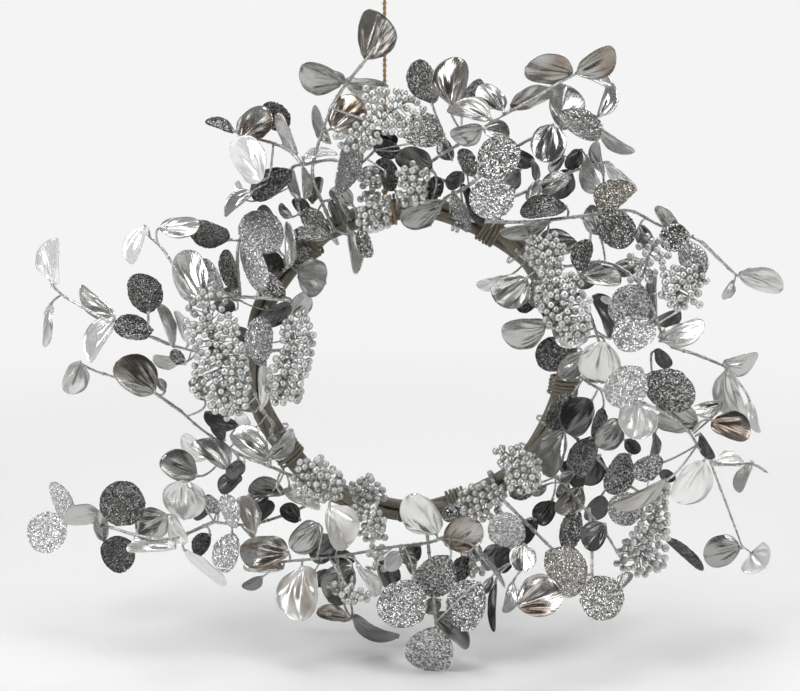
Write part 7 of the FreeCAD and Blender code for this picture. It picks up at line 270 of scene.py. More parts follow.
"right_lower_glitter_leaves": """
134.8 -39.62 -18.29 -.5481 -.4878 -.6794 .6323 -.7734 .0452 34.94 31.22 2.55 -2.46 4 0
152.23 -40.48 -54.6 -.3458 -.0812 -.9348 .6103 -.7762 -.1584 37.51 33.66 -2.72 -.02 3 0
186.01 -82.04 16.07 -.5756 .0027 -.8177 .0851 -.9944 -.0632 38.18 34.63 2.89 -.55 8 0
195.33 -73.42 8.76 .7188 .0543 -.6931 -.2401 -.9162 -.3208 45.07 39.55 -3.28 -1.87 4 0
161.13 -37.94 -30.04 -.3228 -.3055 -.8958 .7888 -.6099 -.0763 26.55 23.90 1.94 .16 2 0
184.25 -43.05 -69.59 -.5199 -.4521 -.7248 .6371 -.7705 .0237 37.40 33.60 2.73 -1.59 4 0
212.08 -50 -73.59 -.9381 -.2729 -.2134 .3255 -.9052 -.2733 29.29 25.81 2.10 -1.12 6 0
195.13 -54.94 -115.94 -.9514 -.1756 .2532 .22 -.9624 .1593 31.65 28.49 2.31 -.11 7 0
102.95 -46.78 -95.68 -.901 -.3085 -.305 -.1898 -.352 .9166 21.76 19.46 -1.58 .21 2 0
132.34 -46.11 -90.61 -.4856 -.5305 -.6948 .6579 -.7452 .1092 18.29 13.79 1.12 -.84 4 0
135.86 -98.74 -101.29 -.3803 .1477 -.913 -.864 -.4089 .2938 34.10 30.09 -2.49 -2.35 3 0
216.96 -34.54 -145.17 .7375 -.3527 -.5759 .5361 -.213 .8169 42.26 21.26 1.70 -.31 2 0
""",
"bottom_smooth_leaves": """
-66.39 -91.73 -99.32 .3705 .0559 -.9272 .669 -.7085 .2246 39.16 34.52 4.63 -1.49 8 4
-62.19 -48.61 -141.17 -.7373 -.3807 -.5581 .4061 -.9099 .0843 28.30 25.98 -3.40 -1.53 3 0
-107.32 -63.88 -162.46 -.991 -.1261 .0459 .0665 -.1646 .9841 33.61 30.50 4.01 .09 7 0
-126.51 -43.54 -177.98 -.8219 .1519 -.549 .1682 -.8561 -.4887 20.21 14.68 1.90 -.57 3 0
-90.59 -78.47 -154.5 -.0185 -.5767 -.8168 -.5607 -.6704 .486 46.82 43.69 5.82 -3.26 9 6
-49.63 -49.67 -167.63 -.5579 .0007 -.8299 -.508 -.791 .3409 36.93 32.53 4.23 -1.54 3 0
-44.17 -66.49 -157.07 .4501 .0287 -.8925 -.7328 -.5593 -.3875 33.35 29.36 -3.86 .92 7 0
-51.89 -71.58 -206.01 -.9746 -.0641 .2144 .2226 -.1812 .9579 28.39 25.57 3.36 .73 6 5
-49.48 -66.07 -206.37 .8901 .003 -.4558 -.3298 -.686 -.6486 43.66 33.84 4.42 -3.04 3 0
-8.92 -52.32 -152.35 -.5845 .0458 -.8101 -.3417 -.9195 .1945 20.30 15.23 -1.99 -.52 9 0
-7.24 -55.8 -150.22 .4264 -.1307 -.895 .8088 -.3879 .442 21.78 19.44 2.55 -.47 4 3
18.77 -76.55 -198.7 .7056 -.4198 -.5708 -.6854 -.6087 -.3996 41.12 38.03 -5.02 -1.25 3 0
20.97 -78.1 -127.4 -.5207 -.0438 .8526 -.3557 -.8967 -.2633 41.56 36.69 4.90 .65 7 3
-1.3 -38 -116.26 -.4771 -.4999 -.7228 -.5466 -.4753 .6894 15.99 12.23 1.60 .30 2 0
29.7 -61.66 -142.82 .7992 -.067 .5974 -.0442 -.9976 -.0526 35.37 31.65 4.17 .86 5 7
93.11 -39.74 -147.84 -.5591 -.4062 -.7228 -.6357 -.3496 .6882 30.99 28.21 3.67 -1.55 1 0
93.81 -83.88 -134.13 -.0868 -.5074 -.8573 -.1078 -.8508 .5144 23.55 22.33 2.98 -1.59 6 0
54 -107.66 -130.09 .5773 .0786 -.8128 .8035 -.232 .5482 42.05 12.30 1.66 -.92 5 0
71.5 -55.75 -178.85 -.0323 -.4928 -.8695 -.9313 -.3011 .2052 41.52 16.88 2.21 -.57 0 0
68.03 -74.75 -166.47 -.3374 -.5469 -.7662 -.7019 -.3963 .5919 15.52 11.96 1.58 .24 3 0
85.65 -74.77 -170.89 -.2846 -.3146 -.9056 -.8657 -.3215 .3837 26.87 24.38 -3.22 -.16 7 0
85.59 -151.13 -162.92 .8903 .379 .2523 .1756 -.7971 .5777 38.80 34.57 4.75 -1.18 6 7
174.57 -66.38 -179.36 .6598 .0431 .7502 -.6183 -.5363 .5746 17.46 13.07 1.72 -.75 6 0
-102.54 -70.8 -145.79 -.9712 .2285 .0667 -.0519 -.4766 .8776 41.98 37.37 -4.93 -2.89 6 7
-77.73 -58.71 -125.27 -.7265 -.4608 -.5098 .5667 -.8214 -.065 31.61 29.21 3.86 .27 5 0
-47.54 -28.03 -168.24 -.9813 -.181 .0651 .1343 -.402 .9057 21.72 19.65 2.53 -.06 1 0
-26.13 -23.35 -169.92 .4445 -.4572 -.7703 -.682 -.7303 .0399 29.07 26.80 -3.45 -.05 1 0
8.23 -25.89 -155.41 -.7869 -.3771 -.4884 .4954 -.858 -.1359 21.79 19.88 2.57 .55 2 0
59.2 -40.96 -163.59 -.7483 -.0269 .6628 .2673 -.9267 .2642 20.63 18.71 2.43 -.26 4 0
106.54 -25.28 -133.05 -.521 -.3795 -.7646 -.5551 -.5298 .6412 25.13 22.80 2.95 -.21 1 0
76.86 -25.19 -155.65 -.5196 -.3826 -.7639 .6455 -.7616 -.0577 25.13 22.88 -2.95 -.85 2 0
25.34 -38.95 -200.54 -.7748 -.3659 -.5155 .0482 -.8473 .529 16.64 13.69 1.77 -.75 3 5
""",
"bottom_glitter_leaves": """
1.06 -83.98 -165.71 -.3842 -.5843 -.7148 -.1353 -.7302 .6696 43.15 41.40 -3.40 -.84 6 0
20.68 -113.6 -198.32 -.2079 .3284 -.9214 -.1039 -.9441 -.313 46.10 39.75 3.26 -2.13 6 0
40.61 -53.37 -108.52 -.6019 -.0652 -.7959 -.5038 -.7423 .4417 19.44 14.49 1.17 .30 4 0
83.6 -74.62 -140.9 -.21 -.2527 .9445 -.1836 -.9386 -.292 35.67 31.52 2.58 -.73 8 0
32.8 -74.59 -149.72 -.6275 -.0669 -.7757 .2161 -.9721 -.091 39.82 35.51 2.89 -2.75 5 0
50.38 -49.63 -160.47 -.7233 -.4646 -.5109 .558 -.829 -.0362 23.68 21.62 1.74 -.08 2 0
56.84 -104.62 -160.68 -.4295 .1045 -.897 -.6631 -.7108 .2347 45.06 39.29 3.24 .42 6 0
111.2 -119.39 -128.51 .6548 .0611 -.7533 .506 -.7758 .3769 44.81 38.99 3.26 -2.22 6 4
147.72 -115.88 -151.3 .4084 -.5035 -.7614 -.292 -.8624 .4136 37.18 35.78 2.99 -1.43 6 1
-86.35 -28.66 -190.75 .76 -.1173 .6392 .2647 -.8424 -.4693 22.91 20.12 1.59 .52 2 0
""",
"left_lower_smooth_leaves": """
-180.08 -40.78 -88.77 -.9012 -.0504 .4305 .3731 -.5956 .7114 33.96 30.89 4.05 -.59 5 0
-170.23 -24.97 -76.88 -.8218 .2793 .4967 -.4868 -.7971 -.3573 30.54 27.27 3.54 -.55 7 0
-152.72 -53.55 -77.74 -.7468 .4297 .5075 .4227 -.2824 .8611 38.40 34.17 4.50 -1.73 6 0
-189.64 -62.87 -87.03 -.0367 .3393 -.94 -.0841 -.9383 -.3354 41.43 36.88 -4.86 -2.48 6 0
-144.84 -28.43 -48.49 -.8879 -.1094 .4468 -.2521 -.6968 -.6716 31.62 28.82 3.78 .67 2 0
-135.25 -43.99 -44.85 -.5745 -.0045 .8185 -.3504 -.9024 -.2509 17.01 12.79 1.69 -1.02 9 0
-117.22 -57.58 -67.77 -.8124 -.1802 .5545 .5766 -.3892 .7184 39.80 36.13 4.81 -.95 6 0
-116.73 -65.33 -66.26 .6264 .3506 .6963 .7187 -.6056 -.3417 31.35 28.53 3.80 -1.50 5 0
-153.73 -29.4 -32.45 -.4103 -.0483 .9107 .8632 -.3428 .3707 25.24 22.79 3.00 -1.46 5 0
-132.67 -30.4 -35.66 -.5267 .0395 .8491 -.5415 -.7856 -.2994 20.29 18.31 2.41 .26 5 5
-123.65 -51.58 -28.8 .0028 -.1211 .9926 .942 -.3328 -.0432 40.21 28.98 3.87 -1.16 6 0
-135.2 -28.19 21.91 -.6013 -.1819 .778 -.395 -.7787 -.4874 19.91 18.20 -2.41 -1.25 1 0
-142.87 -27.97 60.44 -.7803 -.2474 .5744 .6059 -.5268 .5961 16.39 12.60 1.68 -.86 4 0
-100.53 -29.4 47.11 .616 .0589 .7855 .4836 -.8155 -.318 24.56 22.06 2.93 -.72 5 0
-98.97 -40.91 59.98 -.8832 -.2733 -.3811 .4529 -.708 -.5419 30.46 27.61 3.70 .68 2 0
-100.92 -41.22 34.56 -.6592 -.1587 .735 .5471 -.7718 .324 9.78 7.42 .99 -.36 5 0
-130.08 -68.41 -133.39 -.3276 .0397 .944 .8803 -.3501 .3202 36.65 32.65 4.33 -.97 7 5
-138.98 -57 -71.43 -.7056 -.0932 -.7024 .1973 -.9779 -.0685 19.08 14.20 -1.88 -.81 2 0
-145.09 -24.31 -92.19 -.6638 -.4867 -.5679 -.3304 -.4904 .8064 23.36 21.71 2.82 -1.39 2 0
-105.97 -42.59 -102.33 -.9937 -.0766 .0814 .1017 -.3166 .9431 31.21 28.24 3.70 -.86 3 0
-120.43 -41.37 -105.38 -.8293 .0248 -.5582 -.5008 -.4763 .7227 25.83 22.89 2.99 -.96 2 0
-108.76 -52.71 -99.93 .8847 -.3894 -.2564 -.4586 -.6274 -.6293 36.53 27.18 -3.59 -2.02 5 0
-67.17 -42.06 -102.5 -.2805 .0035 .9598 .9061 -.3288 .266 32.11 28.58 -3.75 -1.62 7 0
-157.86 -17.31 -64.12 -.62 -.0477 .7832 .6416 -.6055 .471 17.26 13.02 1.69 -1.13 2 0
-133.35 -19.62 -134.97 .7444 -.2011 .6367 -.6436 -.4699 .6041 23.71 20.67 2.67 -.05 1 0
-94.67 -20.93 -134.53 -.8214 -.104 .5608 .4926 -.6251 .6055 20.54 18.51 2.39 -.39 1 0
-167.63 -15.88 -118.19 -.6615 -.4951 -.5634 -.4213 -.3761 .8252 24.70 23.11 2.98 -.41 2 0
-153.53 -22.03 7.38 -.7529 .0024 .6581 .2789 -.9046 .3224 19.73 15.12 1.99 .25 2 0
-173.54 -23.13 -27.19 -.5912 .1073 .7993 .7025 -.4183 .5757 21.10 19.06 2.50 -.24 4 0
""",
"left_lower_glitter_leaves": """
-135.64 -42.94 -14.79 -.5662 .076 .8207 -.5129 -.8119 -.2787 24.60 22.21 1.81 -1.17 5 0
-119.68 -64.24 15.67 -.0952 .0673 .9932 .7971 -.5925 .1166 38.42 34.59 -2.87 -2.10 7 0
-144.51 -84.1 -119.22 -.4219 .4809 .7686 -.7609 -.6488 -.0118 29.06 26.36 -2.16 .08 8 0
-148.91 -72.23 -128.55 -.211 -.4082 -.8882 -.6447 -.6249 .4403 33.16 30.43 2.49 -.67 8 0
-163.03 -41.19 -122.32 -.5027 -.0842 .8604 -.3362 -.8978 -.2843 19.20 14.33 1.15 -1.17 7 0
""",
"left_upper_smooth_leaves": """
-172.01 -61.92 68.97 -.4828 .5437 .6865 -.6577 -.7427 .1257 45.87 39.99 -5.39 -2.32 6 0
-100.36 -68.74 96.22 -.0341 .4758 .8789 .9332 -.2996 .1984 39.04 22.32 3.04 1.01 6 0
-93.66 -41.37 87.93 .6811 -.7203 -.1311 -.6656 -.6838 .299 35.03 31.05 -4.20 -1.66 5 0
-51.57 -38.49 122.51 .1653 .0215 -.986 .926 -.3475 .1477 38.43 28.78 3.87 .41 6 0
-196.92 -37.63 22.55 -.312 -.1574 .937 .9365 -.2174 .2753 39.78 24.85 3.32 -.12 6 0
-184.95 -40.32 24.94 -.2781 -.1348 .9511 -.7792 -.5474 -.3054 31.51 24.83 -3.32 -1.01 9 0
-203.44 -58.14 127.1 .9493 .2892 .1231 .0045 -.4042 .9147 32.48 29.81 -4.05 -1.52 5 0
-219.71 -24.21 122.29 -.3497 -.3409 -.8726 -.7251 -.4913 .4825 33.97 30.56 4.09 -1.22 9 0
-277.45 -25.65 6.58 -.3397 -.3038 -.8901 .6702 -.7421 -.0025 28.60 25.87 3.41 -1.75 8 0
-213.15 -43.13 -14.74 -.7838 .0554 .6185 .4262 -.6764 .6007 40.81 37.03 4.91 -.94 6 5
-192.42 -20.37 5.22 -.9446 -.2313 .2329 -.0169 -.6743 -.7383 24.98 23.11 3.04 -.78 5 0
-206.34 -29.65 -17.55 -.5124 -.0564 .8569 .6762 -.6416 .3621 12.39 9.39 1.24 .29 5 0
-146.98 -20.16 50.09 -.8487 -.193 .4925 .074 -.9652 -.2508 19.11 14.66 1.94 -.54 2 0
-112.17 -26.35 119.34 -.4594 .3645 .81 .6631 -.4661 .5858 23.91 21.23 -2.84 -.37 2 0
""",
"left_upper_glitter_leaves": """
-149.91 -31.38 111.92 -.9105 -.1748 .3748 -.1017 -.7838 -.6126 34.34 31.64 2.62 -1.40 3 0
-108.39 -52.5 107.79 -.6617 .2819 .6947 .1411 -.8632 .4847 39.89 35.57 -2.96 -1.11 7 0
-124.39 -65.47 74.77 -.2484 .0378 .9679 -.8091 -.5576 -.1859 43.29 39.30 -3.29 -1.69 8 0
-143.43 -39.76 72.42 -.2729 .0122 .962 .9076 -.3282 .2617 34.01 30.94 -2.56 -.77 4 0
-158.03 -44.57 65.05 -.3393 -.0465 .9395 -.6647 -.6949 -.2744 36.15 32.98 2.73 -.64 7 0
-105.8 -30.14 86.4 -.8609 .0114 .5086 .4085 -.5804 .7045 24.79 22.48 1.85 .06 0 0
-104.48 -59.27 68.37 -.6853 .0625 .7256 -.4215 -.8465 -.3252 27.11 24.56 2.05 -1.27 5 0
-41.67 -40.95 125.48 .3292 -.3921 -.859 -.8611 -.4979 -.1027 27.55 24.55 2.04 -.12 5 0
-189.87 -36.92 7.76 -.6083 .0965 .7878 -.0698 -.9952 .068 14.82 11.18 .91 -.18 4 0
-83.78 -18.43 100.91 -.8242 -.3594 -.4377 .5219 -.782 -.3406 19.88 17.94 1.47 -.73 3 0
""",
}

# Each stem starts with its kind (M main stem, L leaf stalk, S thin leaf stalk, B berry stem)
# and goes on with the x y z of the points on its centre line.
STEMS = {
"top_left_sprig_stems": """
M -64.2 -54.4 224.1 -63.2 -52.8 225.6 -59.3 -47.5 231.8 -55.4 -41.4 237.4 -50.3 -39.7 244.2
-45.3 -43.8 250.6 -40.4 -48.1 256.9 -35.1 -51.1 263.7 -29.6 -52 270.9
L -54.1 -37.2 241.2 -54.3 -37 240 -54.5 -36.8 238.7
L -54.4 -25.1 239.8 -53.9 -29.3 240 -53.2 -33.4 240.3
""",
"upper_left_sprig_stems": """
M -88.3 -46.1 176.7 -89.5 -45.6 178.7 -95.2 -41.3 184.8 -102.6 -37.9 189.4 -111.2 -36.2 192.6
-120.2 -35.5 195.1 -129.2 -34.9 197.4 -137.9 -32.3 199.6 -144.5 -26 201.5
L -144.8 -22.1 200.9 -144.7 -24.1 201.2 -144.5 -26 201.5
L -139.2 -43.1 199.1 -138.3 -40.2 199.3 -137.4 -37.3 199.7
L -100.4 -25.1 203.8 -99.3 -28.1 200.4 -100.2 -31 197 -102.4 -33.6 193.8 -105.1 -36.3 191.1
L -119.3 -59.3 166.6 -115.7 -56.5 167.4 -114.2 -53.6 170.8 -113.4 -50.6 174.5 -113 -47.5 178
-112.6 -44.6 181.8 -112.3 -41.8 185.6 -112.1 -38.9 189.4 -112 -35.9 193.1
L -92.3 -44.5 186.2 -92.6 -43.6 185.5 -92.8 -42.6 184.7
""",
"top_right_sprig_stems": """
M 74 -48.3 217.7 75.8 -49.4 218.8 83 -52.8 223.2 90.1 -56.2 227.7 97.2 -59.7 232.2
104 -63.5 236.9 110.6 -67.4 241.7 117.5 -70.7 246.7 125.2 -71.3 251.3 133.3 -68.3 254
141.7 -65.1 255.7
L 80.1 -52.8 223.1 80.1 -52.4 222.3 80.1 -52 221.5
L 127.5 -75 252.9 126.3 -75.1 252.7 125 -75.1 252.5
L 131.6 -72 254.9 130.7 -71.1 254.4 129.7 -70.2 253.8
L 133.7 -46.8 252.8 134.3 -51.4 253.6 135 -56 254.1 136 -60.7 254.5 137 -65.3 254.8
""",
"right_upper_sprig_stems": """
M 235.2 -53.6 115.5 236.7 -52.1 114.3 241.7 -46.2 109.4 246.7 -40.5 104.2 252 -35.3 98.8
257.7 -31 93.1 263.8 -27.7 87.1 270.2 -25.1 81.1
L 271.8 -26 81.3 271 -25.6 81.2 270.2 -25.1 81.1
S 268.6 -26.4 76.3 269.5 -25.8 78.7 270.2 -25.1 81.1
""",
"right_middle_sprig_stems": """
M 217.8 -33.8 21.6 219.9 -32.8 20.8 228.5 -30.5 17.6 237.4 -29.8 14.5 246.2 -30.3 11.2
255 -31.6 7.8 263.6 -33.5 4.3
L 261.8 -33.2 6.8 261.5 -33.9 6.3 261.1 -34.6 5.9
L 263.2 -36.1 2.4 263.4 -34.8 3.3 263.6 -33.5 4.3
L 288 -14.8 -31.3 286.4 -16.4 -27.5 284.6 -18.1 -23.9 282.5 -20 -20.4 280.3 -21.8 -17.1
278 -23.6 -13.8 275.6 -25.5 -10.6 273.2 -27.2 -7.4 270.5 -28.6 -4.1 268 -30.4 -1
265.9 -33.1 1.7 263.6 -33.5 4.3
""",
"right_lower_sprig_stems": """
M 252.6 -36.7 -76.8 253.5 -36 -79 256.8 -33.5 -87.1 260.1 -31 -95.2 263.4 -28.7 -103.3
266.8 -27 -111.6 270.1 -26.8 -120 273.4 -28.1 -128.4 276.6 -30.1 -136.7 279.7 -32.6 -144.9
282.7 -35.5 -152.9
L 281.5 -38.1 -153.8 282.1 -36.9 -153.3 282.7 -35.5 -152.9
L 294.2 -15.3 -166.4 292.4 -18.7 -164.1 290.6 -22.1 -161.8 288.7 -25.4 -159.5
286.7 -28.8 -157.3 284.7 -32.2 -155.1 282.7 -35.5 -152.9
""",
"far_left_sprig_stems": """
M -202.2 -34.6 24.4 -203.5 -36.3 25.5 -208.4 -42.2 29.6 -214.6 -46.6 33.6 -222.6 -47.1 36.9
-230.8 -45.7 39.5 -239 -45 42.3 -247.1 -44.9 45.3 -254.9 -42.6 48.3 -262.4 -39.5 51.6
-269.7 -36.6 55.2 -277 -33.2 58.5 -284.3 -29.6 61.6 -291.3 -28.3 66.4 -296.8 -30.3 72.9
L -296.4 -32.3 74.2 -296.6 -31.3 73.5 -296.8 -30.3 72.9
L -249 -15.8 43.9 -247.8 -20.3 43.9 -246.8 -24.9 44 -246.1 -29.6 44 -245.7 -34.3 43.9
-245.4 -39 43.9 -245.2 -43.6 44
S -300.7 -20.4 55.3 -298.1 -21.6 58.8 -295 -23.3 61.6 -291.4 -24.8 63.9
L -301.4 -32.5 52.1 -300.1 -30.3 55.7 -297.8 -28.5 59 -294.8 -26.6 61.7 -291.4 -24.8 63.9
L -244.8 -46.9 48.7 -245.7 -48.1 47.5 -246.7 -49.3 46.2
L -214.8 -61.3 57.1 -214.8 -59.9 53.3 -215.1 -58.3 49.5 -215.7 -57.4 45.5 -216.6 -56.3 41.7
-217.5 -53.1 39.2 -218.5 -50.2 36.5
L -213.2 -50.5 40.2 -214.5 -50.4 37.8 -216.2 -50.4 35.6
""",
"lower_left_sprig_stems": """
M -166.5 -42 -129.2 -167.7 -40.2 -130.2 -175.2 -37.1 -134.4 -183 -40.9 -136.8
-188.6 -48.2 -137.3 -193.8 -55.9 -137.3 -200.8 -61.7 -137.2 -209.9 -62.5 -137.2
-219 -60.7 -136.7 -227.8 -57.8 -136 -236.3 -54.4 -135 -244.8 -51.1 -133.5 -253.4 -48 -131.8
-261.3 -43.4 -131.2 -268.1 -37.1 -132 -274.9 -31 -133.3 -282.8 -26.4 -134.2
-291.5 -23.3 -134.6
L -201.7 -52.3 -122.1 -199.8 -52.8 -126.2 -197.7 -53.2 -130.1 -195.5 -54 -134
-193.2 -55 -137.8
L -191.2 -46.9 -153.4 -192.6 -48.2 -149.6 -193 -49.4 -145.6 -192.4 -50.7 -141.5
-191.3 -51.8 -137.6
L -171.3 -30.2 -144.9 -171.7 -31.3 -139.7 -174.5 -32.7 -135.4
L -294.6 -25.1 -134 -293.1 -24.2 -134.3 -291.5 -23.3 -134.6
L -293.2 -34 -131.9 -292.7 -30.5 -133.3 -292.2 -26.9 -134.2 -291.5 -23.3 -134.6
L -262.1 -41.7 -123 -261.8 -37.9 -125.1 -262.2 -38.8 -128.5 -263.2 -42.4 -130.8
L -260 -43.8 -145.5 -258.2 -45.9 -142.5 -257 -46.9 -138.7 -256 -47.7 -134.8 -255 -48.6 -130.8
L -229.4 -53.2 -125.4 -229.1 -54.3 -129.1 -230.4 -55.2 -132.6 -232.6 -56 -135.8
L -233.4 -59.2 -141.9 -232.5 -57.7 -138.8 -232.6 -56 -135.8
L -206.9 -42.6 -122.8 -202.7 -41.3 -122.9 -199 -41.9 -125.1 -196.5 -44.9 -127.4
-194.5 -47.8 -130.2 -192.8 -49.8 -133.9 -191.3 -51.8 -137.6
L -197.1 -68.7 -143 -197.4 -67 -139.7 -199.2 -65.5 -136.8
""",
"crown_left_stems": """
M -71.6 -11.7 111.5 -67.8 -11.7 113.9 -63.9 -11.9 116.1 -66.5 -15.4 123.6 -69.2 -18.9 131.1
-71.9 -22.4 138.6 -74.6 -25.9 146 -77.3 -29.4 153.6 -79.5 -32.9 161.2 -80.4 -36.4 169.1
-79.6 -39.8 177 -77.7 -43 184.8 -75.4 -46.3 192.6 -72.9 -49.5 200.2 -70.2 -52.4 208
-67.3 -54 216 -64.2 -54.4 224.1
M -88.3 -46.1 176.7 -80.6 -41.9 177.8 -73.1 -37.1 178.7 -65.7 -32.2 178.7 -58.4 -27.6 176.8
-51 -24.4 173 -42.7 -22.4 173.4 -35.7 -20.9 178.7 -29.5 -19.4 184.8
M -90.7 -41.1 134.7 -92.5 -33.7 139.8 -94.5 -27.9 146.6 -96.6 -24.9 155.1 -98 -25.7 164.1
-97.2 -31.1 171.3 -93.5 -38.6 175.1 -88.3 -46.1 176.7
L -64.4 -52.7 207 -67.8 -55.9 206.3 -71.2 -52.8 205.9
L -65.4 -49.1 195.1 -69.8 -48 195.9 -73.7 -47 198.2
L -87.5 -45.7 183.2 -87.2 -45.8 180 -85.9 -46 177.2
L -57 -71.8 157.4 -57.3 -67.8 155.1 -57.5 -63.8 152.8 -57.5 -59.8 150.5 -57.4 -55.8 148.2
-57.1 -51.7 146 -56.8 -47.7 143.8 -56.2 -43.7 141.5 -55.6 -39.7 139.2 -55 -35.6 137.2
-54.4 -31.5 135.2 -53.8 -27.3 133.4 -53.1 -23.1 131.5 -52 -19.2 129.3 -50.9 -15.3 127
-49.7 -11.4 124.8
L -8.9 -23.8 185.5 -12.7 -22.5 184.6 -16.9 -21.6 184.6 -21.1 -20.9 184.6 -25.3 -20.1 184.7
-29.5 -19.4 184.8
L -21.2 -35.6 165.9 -20.8 -32.5 168.4 -23.4 -29.9 170.6 -26.6 -27.7 172.5 -29.8 -25.6 174.4
-33.1 -23.5 176.1 -36.2 -21.1 177.8
L -92 -28.1 144.8 -93 -27.2 144.5 -94.1 -26.4 144.2
L -86.6 -37 148 -83.9 -33.3 148.3 -81.5 -29.6 150.1
L -82 -11.7 139.3 -81.1 -12.6 139.7 -80.2 -13.5 140.1
L -84.9 -25.3 127.5 -81 -24.3 127.7 -77.8 -22.9 129.8 -75.3 -21.5 132.8
S -97.6 -33.9 131.7 -94 -36.1 133.2 -91.3 -37.6 136.4
L -70.5 -33.7 127.4 -70.5 -31.3 127.9 -70.4 -28.8 128.3
L -66.4 -36.8 116.3 -65.2 -34.1 119.7 -66.7 -31.6 123.2 -68.8 -29.3 126.5
L -98.8 -32.9 170.4 -98.9 -31.6 171.1 -98.9 -30.4 171.7
L -129.2 -46.6 154.6 -126.1 -43.9 156.3 -122.4 -41.8 158 -118.9 -39.5 159.2
-116.9 -35.5 159.4 -113.4 -32.9 160.3 -109.5 -30.9 161.2 -105.9 -28.3 161.9
-102.3 -25.7 162.5 -98.5 -23.2 163.1
S -138.2 -25.2 145.9 -134.5 -26.4 143.9 -130.1 -26.6 143.5 -125.7 -26.4 144.2
-121.4 -26.1 145.4 -117.3 -25.7 146.8 -113.1 -25.3 148.5 -109.1 -24.9 150.2 -105 -24.5 152
-101 -24 153.9 -97.1 -23.5 155.8
L 17.3 -26.6 169.4 19.9 -24.8 166 21 -23.5 161.7 20.9 -22.6 157.1 20.1 -21.8 152.6
18.9 -21.7 148.1 17.6 -20.4 143.8 16.5 -18 140 15.3 -15.1 136.4 14.6 -11.4 133.8
L 26.5 -52.7 202.9 24 -49.9 200.4 20.3 -47.7 199 16.6 -45.5 197.7 12.7 -43.4 196.5
8.9 -41.2 195.4 5.1 -38.9 194.3 1.3 -36.9 193.2 -2.6 -34.7 192.1 -6.4 -32.4 191
-10.3 -30.3 190 -14.2 -28.2 189 -17.9 -25.9 187.9 -21.8 -23.7 186.9 -25.6 -21.4 185.8
-29.5 -19.4 184.8
L -33.6 -10.2 198.4 -35.3 -13 195.2 -34 -16.2 192.1 -31.9 -18.7 188.8 -29.5 -19.4 184.8
L -66.7 -21.4 143.6 -71.2 -20 142.5 -74.3 -19.7 138.7 -76.8 -19.6 134.4
L -48.2 -35.3 141.9 -47 -31.2 139.7 -46 -27.2 137.3 -45.5 -23.2 134.6 -45.2 -19.4 131.8
-45.2 -15.5 129 -45.4 -11.4 126.5
L -13.1 -9.7 149.9 -11.6 -11.1 145.7 -11.1 -13.4 141.7 -11.4 -14.5 137.4 -11.8 -11.4 134
L -40.3 -25 117.4 -44.2 -23.7 114.9 -48.4 -21.8 113.7 -52.7 -19.6 113.8 -57 -17.6 114.8
-61.2 -15.9 116.4 -64.7 -12.9 117.6
B -27.2 -90.4 216.3 -30.2 -87.4 216.9 -33.3 -84.3 217.6 -36.3 -81.3 218.2 -39.4 -78.3 218.9
-42.5 -75.3 219.5 -45.6 -72.3 220.2 -48.7 -69.3 220.8 -51.8 -66.3 221.5 -54.9 -63.3 222.1
-58 -60.4 222.8 -61.1 -57.4 223.4 -64.2 -54.4 224.1
B -33.3 -46.7 163.3 -36 -44.3 166.1 -37.9 -40.5 167.8 -39.2 -36.1 168.5 -40.4 -31.7 169.2
-41.8 -27.3 170 -43 -22.9 170.8
B -30.3 -59.2 138.2 -30.4 -54.8 138.1 -30.5 -50.5 137.4 -30.6 -46.1 136.7 -30.6 -41.8 136
-30.7 -37.5 135.2 -30.8 -33.1 134.5 -30.8 -28.8 133.8 -30.9 -24.4 133 -31 -20.1 132.3
-31 -15.7 131.6 -31.1 -11.4 130.9
""",
